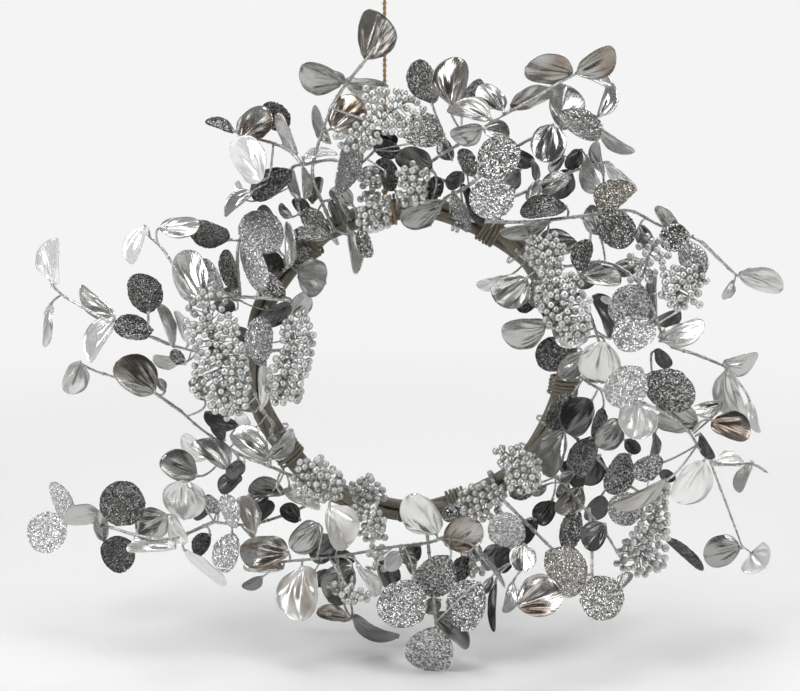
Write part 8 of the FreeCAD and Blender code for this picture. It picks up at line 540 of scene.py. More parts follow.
"crown_right_stems": """
M -8.2 -11.7 132.2 -5.7 -11.7 132.4 -3.2 -11.9 132.5 -1.6 -12.5 141.2 0.3 -13.2 149.8
3.4 -14.6 158 8 -16.8 165.3 13.6 -19 171.8 20.1 -20.6 177.7 27 -22.8 182.8 33.2 -27.4 187.2
37.9 -33.8 191 41.7 -41 194.6 45.2 -48.4 198.1 48.7 -55.7 201.7 52.8 -62.5 205.7
58.7 -66.7 210.5 65.5 -63.5 214.6 70.2 -56.3 216.5 74 -48.3 217.7
M 13.4 -11.7 131.8 17.9 -11.7 131.3 22.4 -11.9 130.6 24.8 -16.7 137.9 27.5 -22.9 144
30.3 -30.6 147.9 33.5 -38.6 151 37.3 -46.2 154.3 41.3 -53.5 157.9 45.2 -60.9 161.6
49.1 -67.9 165.8 55.2 -70.9 171.3 60.6 -64.9 174.8 64 -56.6 176.2 67 -48 177.2
69.8 -39.4 178 72.8 -30.8 179 76.6 -22.7 180.6 82.7 -17.3 184.2 89.9 -18.7 189.2
96.3 -23.4 193.6 102.6 -28.8 197.4 109.8 -33.3 200.7 118.4 -33.9 203.1 126.9 -31.1 204.6
135.4 -28.4 206.4 143.8 -28.3 209.7 151.3 -30.5 214.4
M 38.7 -11.7 126.7 43 -11.7 125.3 47.2 -11.9 123.8 53.4 -15.1 129.7 59.7 -19.3 134.7
65.9 -24.7 138.7 71.8 -30.4 142.5 78.4 -35.4 146.2 86.4 -37.1 150 94.7 -35.5 153.3
103 -33.3 156.5 111.2 -31.3 159.8 119.2 -28.3 162.8 127 -24.5 165.5 135.2 -21.8 168.3
143.8 -22 171.2 151.9 -25 174 159.6 -29.2 176.4
L 17.4 -11.2 221.6 18.8 -12.6 217.6 20.3 -13.7 213.6 22 -14.7 209.5 23.6 -15.8 205.5
25.3 -16.8 201.4 27 -17.8 197.4 28.7 -18.8 193.4 30.4 -19.8 189.4 32.1 -20.8 185.3
L 31.5 -38.5 224.4 31.9 -40.1 220.1 33.2 -41.9 216.1 35.2 -43.6 212.3 37.5 -45.3 208.8
40.1 -46.8 205.3 42.9 -48.3 202 45.9 -49.9 198.8
L 45.1 -15 226.2 43.4 -17.8 223 42.3 -20.7 219.5 41.7 -23.6 216 41.4 -26.7 212.5
41.2 -29.8 209.1 41.3 -32.7 205.5 41.5 -35.7 201.9 41.7 -38.6 198.4 42.1 -41.6 194.8
L 74.5 -36.8 220.9 74.7 -40.6 219.8 74.5 -44.5 218.8 74 -48.3 217.7
L 62.5 -72.4 218.6 63.8 -71.5 217 65 -70.5 215.3
L 56 -78.8 211.5 57.4 -77.4 211.8 58.8 -75.9 212.1
L 57.4 -81.5 211.9 58.1 -78.7 212 58.8 -75.9 212.1
L 52.5 -96.1 179.2 52.8 -92.4 177.4 53.5 -88.6 175.9 54.5 -84.8 174.6 55.5 -81 173.4
L 49.9 -80.8 173.4 50.9 -80.5 171.8 51.9 -80.2 170.2
L 114.4 -47 209.4 113.7 -44.6 206.5 112.9 -42.5 203.4
S 140.1 -16.4 184.4 143.1 -17.2 181 143.7 -18.4 176.3 143.8 -19.6 171.5
S 126.2 -5.3 177.7 130 -7.7 177.3 132.2 -10.3 174.3 133.7 -13 170.9 134.9 -15.9 167.5
S 102.5 -30.2 160.9 103.7 -30.6 158.8 104.9 -31 156.8
L 131.2 -17.4 167.9 131.8 -18.3 167.5 132.4 -19.1 167.1
L 129.8 -36.9 164.5 129.6 -33 165.3 128.8 -29.2 165.7 127.4 -25.6 166.1
S 103.6 -38 163.1 106.5 -37 161.8 108.9 -36.4 159.8
L 158.6 -16.4 164.4 156.4 -19.1 167.3 154.6 -21.3 170.7 152.9 -23.5 174.2
L 153.6 -46.9 154.7 156.3 -44 156.4 156.8 -41.2 160.2 157 -38.6 164.2 157.1 -36.1 168.3
157.1 -33.3 172.2 157.1 -30.8 176.2
L 159.4 -31.7 176.9 159.5 -30.5 176.7 159.6 -29.2 176.4
L 151.9 -25.9 203.9 149.6 -25.1 205.9 147.3 -24.4 208
L 120.9 -36.3 206.2 120.7 -35.5 205.2 120.5 -34.6 204.2
L 122.4 -44.9 221.2 120.4 -42.2 219.1 120.4 -40.3 215.4 121.1 -38.4 211.8 121.9 -36.7 208.1
122.8 -34.5 204.7
L 153.3 -35.3 215.1 152.3 -32.9 214.6 151.3 -30.5 214.4
L 90.8 -3.9 165.7 91.4 -4.5 169.7 89.8 -5.3 173.4 87 -6.2 176.3 83.8 -7.2 178.8
80.5 -7.9 181.1
S 33.9 -17 176.2 32 -17.7 180.1 29.9 -18 183.9
L 77.7 -11.5 183.6 77.9 -12.9 182.1 78.2 -14.3 180.5
""",
"right_upper_stems": """
M 34.4 -11.7 128 38.7 -11.7 126.7 43 -11.9 125.3 50.7 -16.2 125.2 59 -19.4 125.2
67.4 -22.2 125.4 75.7 -25.3 125.8 83.5 -29.4 126.5 90.8 -34.4 127.5 97.2 -40.4 128.9
102.1 -47.5 130.6 106 -55.3 132.5 110.5 -62.6 134.4 117.9 -66.9 136.1 126.6 -67.7 137.4
135.4 -68.3 138.6 144.1 -69.3 140 152.7 -68.4 141.2 160.2 -63.7 141.4 165.8 -56.9 140.9
170.7 -49.6 140 175.4 -42.2 138.7 180.2 -35 136.9 185.2 -28.1 134.3 191 -22.5 130.7
198.1 -20 126.3 205.8 -22.1 122.7 212.4 -27.7 120.8 217.6 -34.8 120.3 222.7 -42 119.7
228.6 -48.4 118.1 235.2 -53.6 115.5
M 87.3 -11.7 99.7 90.6 -11.7 96.7 93.9 -11.9 93.5 98.9 -18.9 91.8 104.8 -25.5 91
111.6 -31.2 90.8 119.6 -35 90.7 128.3 -35.9 91 136.7 -33.5 91.5 144.3 -28.9 92
152 -24.6 92.2 160.6 -24.8 92 167.3 -30.3 91.1 172.2 -37.6 90 176.2 -45.4 88.5
179.7 -53.3 86.8 183 -61.2 84.6 186.9 -67.9 80.4 191.4 -70.7 73.5 195.4 -69.6 65.7
198.6 -66.1 58.3 201.2 -60.9 51.6 203.5 -54.9 45.5 205.8 -48.9 39.4 208.6 -43.1 33.3
212.5 -38 27.2 217.8 -33.8 21.6
M 112.9 -11.7 69.4 115.2 -11.7 65.5 117.3 -11.9 61.5 123.1 -19 62.1 130.1 -24.8 62.6
137.4 -30.4 61.9 143 -36.8 59 146.6 -43.9 54.4 148.8 -51.2 49.4 150.6 -58.5 44.1
152.3 -65.7 38.7 154 -72.7 33
L 24.1 -24.4 139.9 24.6 -20 137.6 24.3 -15.7 135 23.7 -11.4 132.4
L 26.6 -16.5 159.4 30.9 -15.3 158.2 33.8 -14.3 154.7 35.8 -14 150.4 37.4 -13.9 146
38.7 -13.9 141.5 39.9 -14.4 137 40.9 -15.4 132.5 41.9 -15.6 127.9 42.6 -12.8 124.3
S 43 -17.9 166.3 46.3 -17.3 163.8 47.3 -16.5 159.5 47.8 -14.9 155.4 48 -13.8 151.2
48 -14.7 146.9 48 -15.9 142.7 47.9 -16.8 138.3 47.8 -17.1 133.9 47.7 -17.3 129.5
47.5 -17.3 125
L 35.6 -54.4 156 34.7 -49.8 156 33.7 -45.6 154.5 33.3 -41.6 152.1 33 -37.8 149.4
32.9 -34.1 146.7 32.8 -30.2 144.1 32.7 -26.5 141.3 32.7 -22.7 138.6 32.7 -18.9 136
32.7 -15.2 133.2 32.7 -11.4 130.4
L 42.2 -18.3 156.4 41.3 -18 152.7 41.7 -17 148.1 42.3 -16.7 143.4 43 -16.3 138.8
43.6 -16 134.1 44.3 -16.1 129.5 45 -15.8 124.8
L 78.5 -112.8 167.7 79.9 -108.7 167 80.7 -104.6 165.5 80.8 -100.7 163.5 80.5 -96.8 161.3
80 -93 159.2 79.5 -89 157.2 79 -85.1 155.3 78.4 -81.2 153.3 77.8 -77.3 151.2
77.1 -73.5 149.1 76.4 -69.6 147.1 75.8 -65.6 145.2 75.2 -61.7 143.3 74.5 -57.9 141.2
73.7 -54 139.1 73 -50.2 137.1 72.3 -46.3 135.1 71.7 -42.3 133.2 71 -38.4 131.2
70.2 -34.6 129.2 69.4 -30.8 127.1 68.6 -26.9 125 67.9 -23 123.1 67.2 -19.1 121.1
66.4 -15.2 119.1 65.6 -11.4 117
L 124.8 -63.9 146.2 126.8 -64.2 141.7 125.9 -65.3 136.8
L 111.2 -77.1 135.6 112.2 -75.8 136.3 113.2 -74.6 137
L 105.7 -29.1 119 105.6 -32.7 122.7 103.7 -36.2 125.9 101.1 -39.5 128.8
L 137.3 -28.6 108.9 141.5 -28.4 106.5 143.4 -29 102.1 143.9 -29.3 97.2 143.7 -30.1 92.4
L 77.6 -39.3 82.4 80.5 -36.2 82.9 83.5 -33.3 83.6 86.3 -30.3 84.7 89 -27.3 86.1
91.4 -24.2 87.7 93.8 -21.1 89.5 95.9 -17.9 91.3
L 95 -51 84.1 97.5 -47.8 85.2 99.8 -44.5 86.3 102.3 -41.4 87.4 104.8 -38.2 88.6
107.1 -35 89.6 109.7 -32 90.9
L 103.8 -33.2 66.7 106.3 -29.8 66.2 108.8 -26.7 64.7 110.9 -23.8 62.4 112.9 -21.2 59.7
L 117 -41.2 87 116.8 -39.7 88.9 116.6 -38.2 90.8
L 145.6 -55 116.6 145.9 -56.7 120.7 145.2 -58.2 124.8 143.5 -59.8 128.6 141.2 -61.4 132
138.4 -63.1 135.1 135.6 -65 138
L 113 -50.1 41.8 114.6 -45.8 40.9 116.2 -41.5 40.1 117.8 -37.3 39.4 119.5 -33 38.7
121.1 -28.7 38.1 122.6 -24.4 37.5 124.3 -20.1 36.9 125.9 -15.8 36.5 127.4 -11.4 35.9
L 145 -60.9 42.7 147.9 -60 43.4 150.7 -59.1 44.1
L 129.3 -35 26.2 129.5 -30.3 25 129.8 -25.6 23.8 130 -20.9 22.6 130.2 -16.1 21.4
130.4 -11.4 20.1
L 139.4 -67.2 89.3 138.1 -62.7 89.2 137.2 -58.1 89.3 136.5 -53.4 89.8 136.2 -48.8 90.3
136 -44.1 91 136 -39.5 91.7
L 151.4 -73.4 144.7 151.4 -74.1 143.4 151.5 -74.8 142.1
L 155.4 -81 146.1 154.5 -78.6 144.6 153.7 -76.2 142.8
L 217.9 -42.4 115.8 219 -41.1 118.1 219.4 -40 120.7
L 226.8 -55.1 119.9 228.2 -53.8 119.9 229.7 -52.6 119.9
L 222.5 -74.8 120.5 223.5 -70.2 120.8 224.8 -65.7 120.9 226.3 -61.3 120.7 228 -56.9 120.3
229.7 -52.6 119.9
L 200.6 -54 45.3 202.1 -53.2 45.7 203.5 -52.4 46.1
L 223.6 -32.8 53 222.2 -36.5 53.2 219.2 -39.3 52.1 216 -41.8 50.8 212.9 -44.5 49.7
209.8 -47.3 48.6 206.6 -49.7 47.3 203.5 -52.4 46.1
L 188.7 -78 81.7 188.2 -76.3 81.4 187.7 -74.6 81.1
L 194 -87 57.3 195.4 -83 57.3 196.6 -79.1 57.4 197.7 -75.1 57.5 198.9 -71.1 57.8
L 204.4 -52.2 34.7 205.2 -50.9 36.4 206.1 -49.8 38.1
L 207 -38.9 28 207.9 -39.7 29.5 208.8 -40.7 31
S 160.5 -88.4 70.8 164.5 -87.4 70 168.4 -85.9 70.5 172.1 -84.7 72.1 175.5 -84 74.6
178.6 -83.2 77.3 181.4 -81.5 79.8 183.5 -78 81 186 -75.6 83.3
L 166.8 -41.2 32 165.1 -45.3 31.6 162.4 -48.5 32.9 159.5 -51.3 35 156.8 -54.1 37.2
154.1 -56.9 39.5 151.5 -59.6 41.8
L 157.8 -17.2 90.5 157.4 -16.6 91.5 157 -16.1 92.5
L 190.3 -24.3 92 188.1 -28 91.9 184.4 -30.5 91.4 180.8 -33.2 91 177 -35.7 90.5
173.3 -38.3 90.1
L 156.7 -23.2 114.5 158 -22.5 110.2 159.2 -21.8 105.8 160.2 -21 101.4 161 -20.2 97
161.7 -19.2 92.6
L 124.5 -28.3 43.4 125 -24.1 42.4 125.5 -19.8 41.3 126 -15.6 40.3 126.5 -11.4 39.3
L 190.3 -16.6 121.7 192.1 -15.2 124.8 195.1 -13.7 126.8
B -0.1 -68.5 165.5 -0.1 -64.4 163.3 -0.1 -60.3 161.1 -0.2 -56.2 159 -0.2 -52.1 156.9
-0.2 -48 154.7 -0.2 -44 152.4 -0.2 -39.9 150.1 -0.2 -35.8 147.9 -0.3 -31.7 145.8
-0.3 -27.6 143.6 -0.3 -23.5 141.4 -0.3 -19.5 139.1 -0.3 -15.5 136.7 -0.3 -11.4 134.6
B 106.9 -91.7 113.8 107.5 -89 117.2 108 -86.4 120.5 108.6 -83.5 123.7 109.2 -80.4 126.7
109.8 -77.1 129.5 110.4 -74.1 132.4 110.9 -73.2 136.5
B 120.1 -112.3 74.5 117.8 -108.9 72.5 117.6 -104.6 71.3 117.8 -100.1 70.2 118.1 -95.7 69.2
118.4 -91.2 68.1 118.6 -86.8 67 118.9 -82.4 66 119.2 -77.9 64.9 119.4 -73.5 63.9
119.7 -69.1 62.8 120 -64.6 61.8 120.3 -60.2 60.7 120.5 -55.8 59.7 120.8 -51.3 58.6
121.1 -46.9 57.5 121.3 -42.5 56.5 121.6 -38 55.4 121.9 -33.6 54.4 122.1 -29.1 53.3
122.4 -24.7 52.3 122.7 -20.3 51.2 123 -15.8 50.2 123.2 -11.4 49.1
B 191.7 -72.8 104.9 190.4 -72.2 100.8 189 -71.8 96.6 187.7 -71.6 92.4 186.3 -71.2 88.3
185 -70.7 84.1
B 217.4 -87.2 84.8 213.8 -85.1 83.3 210.2 -83.1 81.9 206.5 -81.1 80.4 202.9 -79.1 78.9
199.3 -77.1 77.5 195.6 -75.1 76 192 -73.1 74.5
""",
"right_lower_stems": """
M 131.8 -11.7 13.9 132.2 -11.7 9.4 132.4 -11.9 5 134.3 -19.9 1.3 138.2 -27.6 -1.7
142.7 -35.1 -4.1 147.4 -42.6 -6 152.7 -49.7 -7.9 158.9 -56.2 -9.6 165.7 -62 -11
172.9 -67.4 -12 180.7 -72 -13.2 189.1 -74 -15.4 197.2 -72.1 -19 204.2 -68.2 -23.2
210.9 -64.1 -27.8 217.5 -60.4 -32.8 223.8 -56.7 -38.2 229.7 -53.4 -44.2 234.9 -50.9 -51.2
239.3 -49.2 -59
M 239.3 -49.2 -59 243.9 -45.6 -65.5 249.1 -42.4 -71.9 256 -41 -76.8 263.9 -44.5 -77.5
272.4 -46.8 -76.6 281.1 -47.3 -75.8 289.7 -47.8 -77.4 297.2 -48.8 -81.9
M 118.9 -11.7 -58.6 120.8 -11.7 -54.5 122.6 -11.9 -50.4 126.3 -20.2 -50.4 129 -29 -50
132.2 -37.5 -50.6 138.7 -40.9 -55.3 144.6 -37.4 -61.2 149.2 -31.6 -66.6 153 -25.1 -71.7
157 -19.1 -77.4 162.2 -15.6 -84 168.3 -15.3 -90.7 175.1 -16.7 -96.7 182.5 -18.1 -101.8
190.4 -19.3 -106.4 198.1 -20.5 -111.1 205.1 -22.2 -116.8 210.3 -24.6 -123.9
213.5 -28.1 -131.7 215.4 -32.2 -139.7
M 101.7 -11.7 -84.9 104.6 -11.7 -81.4 107.3 -11.9 -77.8 111.2 -19.6 -80.6 115.1 -27.2 -83.3
119 -34.9 -86.1 122.9 -42.5 -88.9 126.8 -50.2 -91.6 130.7 -57.8 -94.4 134.6 -65.5 -97.2
138.5 -73.1 -99.9 142.4 -80.8 -102.7 146.3 -88.4 -105.5 150.2 -96.1 -108.2
154.1 -103.6 -111.2 158.5 -110.2 -115.5 163.1 -114.2 -122 167.5 -116.3 -129.6
L 146.5 -49.2 19.5 149.3 -46.8 17 149.2 -45.2 12.5 148.5 -44 7.9 147.6 -43 3.4
146.6 -41.8 -1.2 145.6 -40.6 -5.7
L 156.9 -75.7 37.1 156.8 -71.1 37.9 155.7 -66.7 38.3 154 -62.5 37.9 152.4 -58.3 37
150.5 -54.2 35.8 148.6 -50.3 34.4 146.9 -46.3 33 145.1 -42.3 31.5 143.2 -38.5 29.8
141.3 -34.6 28.2 139.6 -30.6 26.6 137.9 -26.7 24.9 135.9 -23 23.1 133.8 -19.3 21.3
131.9 -15.5 19.5 130.7 -11.4 17.9
L 134.8 -39.6 -18.3 137.1 -39 -14.9 139.3 -38.8 -11.5 141.6 -38.1 -8.2 143.9 -37.3 -5
L 149.8 -59 -17.2 152.5 -57.3 -13.1 154.8 -55.2 -8.7
L 127.6 -63.9 -43.4 128.8 -60.2 -44.1 130 -56.6 -45.1 131.2 -53 -46.5 132.4 -49.6 -48.1
L 152.2 -40.5 -54.6 148.4 -40.3 -57.3 145.2 -40.4 -60.8
L 186 -82 16.1 188.4 -80.8 13.2 188.4 -80.4 8.9 187.9 -80.2 4.7 187.3 -80.1 0.4
186.6 -79.7 -3.8 185.9 -79.5 -8.1 185.2 -79.3 -12.3
L 195.3 -73.4 8.8 191.2 -74.2 8 189.2 -75.2 4.2 188.4 -76.3 -0.1 187.9 -77.3 -4.4
187.7 -78.4 -8.7 187.5 -79.5 -13
L 186.4 -86.2 -14 188.2 -83.9 -13.1 189.7 -81.1 -13.3
L 174.4 -49 -37.3 175.4 -51.6 -33.8 175.9 -53.7 -29.9 175.6 -56 -26.1 174.6 -58.4 -22.5
173.3 -60.7 -18.9 171.8 -63.1 -15.5 170 -65.4 -12.1
L 161.1 -37.9 -30 161.3 -40.9 -26.5 161 -43.9 -23.2 160.4 -46.9 -19.8 159.5 -49.7 -16.4
158.3 -52.5 -13 156.9 -55.5 -9.8
L 239.2 -51.5 -40.9 237.2 -51.3 -44.3 234.2 -50.8 -46.8
L 260.7 -37.5 -25.8 260 -39.3 -29.6 256.9 -40.9 -32.6 253.5 -41.9 -35.7 250.1 -43.2 -38.5
246.7 -44.7 -41.2 243.2 -45.8 -44 239.7 -47.3 -46.6 236.2 -48.4 -49.4
L 249.7 -58.3 -34.7 245.7 -56.3 -34.9 242.1 -54.5 -36.7 239 -53.1 -39.6 236.4 -52 -43.1
234.2 -50.8 -46.8
L 241.5 -49.1 -49.5 239.5 -48.1 -50.5 237.7 -47.5 -52
L 245.8 -48 -73.3 246.7 -47 -72 247.5 -46 -70.7
L 255.2 -31 -79.5 255.2 -33.3 -79 255.3 -35.6 -78.6
L 285.8 -50 -73.6 285.6 -48.4 -73.7 285.4 -46.7 -73.7
L 184.2 -43 -69.6 184 -38.7 -70 182.3 -35.5 -72.5 180.6 -32.6 -75.5 178.9 -29.8 -78.5
177.1 -27.2 -81.6 175.4 -24.4 -84.7 173.7 -21.6 -87.8 172.1 -18.9 -90.9 170.4 -16.2 -94.1
L 212.1 -50 -73.6 216.2 -49.8 -72 220.2 -50.1 -70 224.1 -49.9 -68 228 -49.5 -66
231.8 -49.5 -63.7 235.5 -49.6 -61.3 239.3 -49.2 -59
L 211.4 -77.8 -80.5 214.9 -75.2 -79.1 218.1 -72.3 -77.5 221.1 -69.6 -75.5 223.9 -66.8 -73.3
226.7 -63.8 -71.1 229.3 -60.9 -68.8 231.9 -58 -66.4 234.4 -55.1 -63.9 236.9 -52.1 -61.5
239.3 -49.2 -59
S 212 -26.2 -88 207.9 -24.1 -88.9 205 -22.9 -92.5 203.6 -22.2 -97.1 202.6 -21.5 -101.7
202 -20.9 -106.5 201.5 -20.5 -111.2
L 195.1 -54.9 -115.9 197.4 -51.2 -117.2 199.6 -47.3 -118.3 201.8 -43.3 -119
204 -39.3 -119.3 205.9 -35.2 -119.5 207.8 -31 -119.5 209.6 -26.8 -119.3 211.3 -22.5 -119.2
L 142.6 -65 -91.6 140.6 -65 -95.2 138.3 -65.3 -98.6
L 103 -46.8 -95.7 106.6 -44.6 -94.8 110.3 -42.7 -93.9 114 -40.8 -93 117.8 -38.8 -92.1
121.6 -37 -91.3 125.5 -35.4 -90.3
S 113 -58.1 -91.2 117.3 -57.1 -89.9 121.8 -57.2 -89.3 126.2 -58.1 -89.6 129.1 -55.3 -91.3
131 -51.6 -93.1
S 132.3 -46.1 -90.6 131.1 -45 -92.1 129.9 -43.9 -93.6
S 135.5 -56.6 -80.3 135.2 -54.4 -84.6 133.2 -52.9 -88.9 131 -51.6 -93.1
L 135.9 -98.7 -101.3 139.5 -97.2 -99.3 143.8 -96.2 -98.3
L 157.1 -117.8 -105.1 156.9 -116.1 -107.6 156.5 -114.5 -110
L 217 -34.5 -145.2 216 -33.3 -142.5 215.4 -32.2 -139.7
L 204.9 -24.7 16.7 202.1 -27.8 15.7 201 -30.9 12.8 200.7 -34.1 9.9 200.6 -37.3 6.9
200.6 -40.4 3.9 200.7 -43.6 0.8 200.9 -46.7 -2.2 201.1 -49.8 -5.3 201.3 -53 -8.2
201.5 -56.5 -10.9 201.6 -60.2 -13.2 201.5 -64.3 -14.6 201.9 -67 -17.8 202.6 -67.8 -22
L 207 -24.7 -54.9 207.8 -27.4 -51.2 209.7 -30.3 -48.2 212.2 -33.5 -46 214.9 -36.9 -44.4
218 -40.2 -43.4 221.5 -43.1 -42.8 225.4 -45.6 -42.7 227.4 -49.5 -42 227.8 -54 -40.9
L 162.9 -4 -81.5 161.9 -6.5 -82.6 160.9 -9 -83.8
L 127.1 -23.6 -81.8 123.4 -23.3 -84.1 121.2 -24 -87.9
S 182.3 -19.5 -63.5 178 -19.1 -62.3 173.6 -19.2 -62.6 169.4 -19.2 -64.1 165.5 -18.9 -66.3
161.8 -19.2 -68.8 158.2 -19.9 -71.4 154.7 -20.5 -74.1
L 121.7 -13.4 -119 122.7 -15.1 -114.8 123.4 -16.9 -110.6 123.8 -18.7 -106.3
123.9 -20.5 -102.1 123.7 -22.3 -97.8 123.3 -24.1 -93.5 122.8 -25.9 -89.3
L 163.5 -23.9 -111.1 166.1 -22.3 -107.6 169.1 -20.6 -104.6 172.5 -19 -101.8 176 -17.5 -99.2
B 86.5 -72.9 -69.5 88 -69.8 -72 88.4 -65.7 -73.5 88.6 -61.5 -74.8 88.9 -57.3 -76.2
89.2 -53.1 -77.5 89.5 -49 -78.9 89.8 -44.8 -80.2 90.1 -40.6 -81.6 90.4 -36.4 -82.9
90.7 -32.3 -84.3 90.9 -28.1 -85.6 91.2 -23.9 -87 91.5 -19.7 -88.3 91.8 -15.6 -89.7
92.1 -11.4 -91
B 91.6 -95.5 -73.4 91.6 -91.1 -74.4 91.5 -86.6 -75.4 91.5 -82.2 -76.5 91.4 -77.8 -77.5
91.4 -73.4 -78.5 91.3 -68.9 -79.5 91.2 -64.5 -80.5 91.2 -60.1 -81.5 91.1 -55.7 -82.6
91.1 -51.2 -83.6 91 -46.8 -84.6 91 -42.4 -85.6 90.9 -38 -86.6 90.8 -33.5 -87.6
90.7 -29.1 -88.6 90.6 -24.7 -89.6 90.6 -20.3 -90.6 90.5 -15.8 -91.6 90.5 -11.4 -92.7
B 194.6 -73.1 -130.4 196.7 -69 -131.3 198.9 -64.9 -132.2 201 -60.9 -133.1 203 -56.8 -134.1
204.9 -52.6 -135.1 206.9 -48.5 -136.1 209 -44.4 -137 211.1 -40.4 -137.9 213.2 -36.3 -138.8
215.4 -32.2 -139.7
""",
"bottom_stems": """
M 78.5 -11.7 -106.8 74.8 -11.7 -109.4 71.1 -11.9 -111.8 65.9 -18.1 -115.6 60.9 -24.2 -119.8
55.8 -30.1 -124.2 50.4 -36 -128.2 44.6 -41.9 -131.6 38.4 -47.7 -134.3 31.4 -52.6 -136.9
23.6 -53.3 -140.7 17.9 -48 -144.8 12.7 -41.6 -148.2 4.5 -39.8 -149.8 -3.8 -42.9 -149.6
-12.3 -42.3 -151 -18.4 -36.5 -154 -24 -30.3 -157.2 -31.3 -26.3 -160 -40 -26.4 -161.6
-48 -30.2 -161.7 -54.7 -36.1 -160.8 -60.3 -42.9 -159.3 -65.8 -49.7 -157.6 -71.6 -56.3 -156
-77.9 -62.4 -154.5 -85.2 -67.5 -153.5 -93.8 -69.2 -153.7 -102.1 -66.5 -155.5
-109.1 -61.5 -158
M 3.8 -11.7 -132.4 8.3 -11.7 -132.2 12.8 -11.9 -131.9 13.5 -18.9 -137.9 14.2 -26 -143.8
15 -33 -149.8 15.7 -40.1 -155.8 16.4 -47.1 -161.7 17.2 -54.2 -167.7 17.9 -61.2 -173.7
18.6 -68.3 -179.6 19.3 -75.3 -185.6 20.1 -82.5 -191.4 20.6 -90.5 -196 20.8 -99.5 -198
20.8 -108.7 -198.5
M 79.2 -11.7 -106.2 75.5 -11.7 -108.9 71.8 -11.9 -111.4 76.8 -18.6 -114.7 81.9 -25.3 -118.1
86.9 -31.9 -121.4 92 -38.6 -124.8 97 -45.3 -128.1 102 -52 -131.5 107.1 -58.7 -134.8
112.1 -65.4 -138.2 117.2 -72 -141.5 122.2 -78.7 -144.9 127.3 -85.4 -148.2 132.3 -92.2 -151.3
137.6 -99.3 -153 142.8 -106.5 -152.4 147.9 -113.8 -150.4
M 145.7 -97.7 -98.2 146.6 -98.1 -107.4 147.5 -99.4 -116.6 148.1 -101.5 -125.6
148.3 -104.5 -134.4 148.2 -108.6 -142.6 147.9 -113.8 -150.4
L -66.4 -91.7 -99.3 -66.7 -87.3 -100 -67.1 -82.8 -100.7 -67.3 -78.3 -101.4 -67.4 -73.8 -102
-67.4 -69.3 -102.6 -67.3 -64.8 -103.2 -67 -60.3 -103.9 -66.8 -55.8 -104.6 -66.5 -51.3 -105.4
-66.1 -46.9 -106.2 -65.7 -42.4 -107 -65.3 -38 -107.8 -64.9 -33.5 -108.7 -64.4 -29.1 -109.5
-63.8 -24.7 -110.4 -63.2 -20.2 -111.2 -62.7 -15.8 -112.2 -62.2 -11.4 -113.1
L -62.2 -48.6 -141.2 -60.7 -49 -144.9 -61.5 -49.6 -149.1 -62.8 -49.8 -153.2
-64.2 -50.5 -157.2
L -107.3 -63.9 -162.5 -106.6 -63.4 -159.9 -106.5 -62.9 -157.2
S -126.5 -43.5 -178 -123.7 -46.1 -175.3 -120.9 -48.6 -172.5 -118 -50.8 -169.5
-115.1 -52.8 -166.4 -112.3 -54.8 -163.2 -110.2 -57.7 -160.3 -109.1 -61.5 -158
L -90.6 -78.5 -154.5 -90.7 -76.9 -152.9 -90.8 -75.3 -151.3
L -49.6 -49.7 -167.6 -50.1 -47.4 -164.4 -52.6 -45.3 -162.1 -55.8 -43.4 -160.7
-59.4 -41.9 -159.6
L -44.2 -66.5 -157.1 -46.8 -63.4 -155.3 -49.9 -60.4 -154.4 -53.3 -57.5 -154.4 -56.9 -55.1 -155
-60.7 -52.9 -155.9 -64.2 -50.5 -157.2
L -51.9 -71.6 -206 -49.4 -70 -202.9 -49.2 -68.6 -198.8 -50 -67.6 -194.6 -51 -66.5 -190.5
-52.2 -64.6 -186.8 -53.5 -62.2 -183.4 -54.9 -60.2 -179.7 -56.3 -58.5 -176 -57.8 -56.9 -172.2
-59.4 -55.2 -168.5 -60.9 -53.8 -164.6 -62.5 -52.2 -160.9 -64.2 -50.5 -157.2
L -49.5 -66.1 -206.4 -52.5 -65.1 -203.1 -54.6 -64.2 -199.1 -56.1 -63.6 -194.9
-57.2 -62.1 -190.7 -58.2 -59.2 -187.3 -58.9 -56.6 -183.6 -59.6 -54.6 -179.5
-60.2 -53.2 -175.2 -60.6 -51.3 -171.1 -61.1 -49.7 -166.8 -61.4 -48 -162.6 -61.8 -46.2 -158.4
S -8.9 -52.3 -152.3 -8.8 -52.4 -149.5 -9 -52.5 -146.7
L -7.2 -55.8 -150.2 -8.2 -54.3 -148.4 -9 -52.5 -146.7
L 1.1 -84 -165.7 1.8 -81.1 -162.7 1.9 -77.2 -161 1.5 -73.3 -159.1 0.7 -69.8 -156.8
-0.4 -66.3 -154.6 -1.7 -62.8 -152.5 -3.2 -59.3 -150.4 -4.8 -55.9 -148.4 -6.5 -52.5 -146.4
L 20.7 -113.6 -198.3 20.7 -111.2 -198.4 20.8 -108.7 -198.5
L 18.8 -76.5 -198.7 19.9 -74.2 -199.1 21.1 -71.9 -199.7
L 21 -78.1 -127.4 21.7 -74.3 -130.1 22.3 -70.4 -132.7 22.8 -66.6 -135.4 23.2 -62.8 -138.1
S -1.3 -38 -116.3 -1.2 -34.2 -118 -1.1 -30.3 -119.7 -1.1 -26.5 -121.5 -1.2 -22.7 -123.2
-1.3 -18.9 -125 -1.4 -15.2 -126.8 -1.5 -11.4 -128.7
S 40.6 -53.4 -108.5 40.6 -49.1 -109.7 40.7 -44.9 -111.1 40.8 -40.7 -112.4 40.9 -36.6 -113.8
41 -32.4 -115.2 41.1 -28.2 -116.5 41.2 -24 -117.9 41.3 -19.8 -119.2 41.4 -15.6 -120.6
41.5 -11.4 -122
L 29.7 -61.7 -142.8 28.3 -60.6 -140.1 27.9 -59.4 -137.1
L 83.6 -74.6 -140.9 85.3 -71.8 -143.4 87.5 -68.9 -145.2 89.8 -65.7 -146.3 92.1 -62.3 -147
94.3 -58.9 -147.5
L 93.1 -39.7 -147.8 92.2 -40 -147.5 91.3 -40.3 -147.2
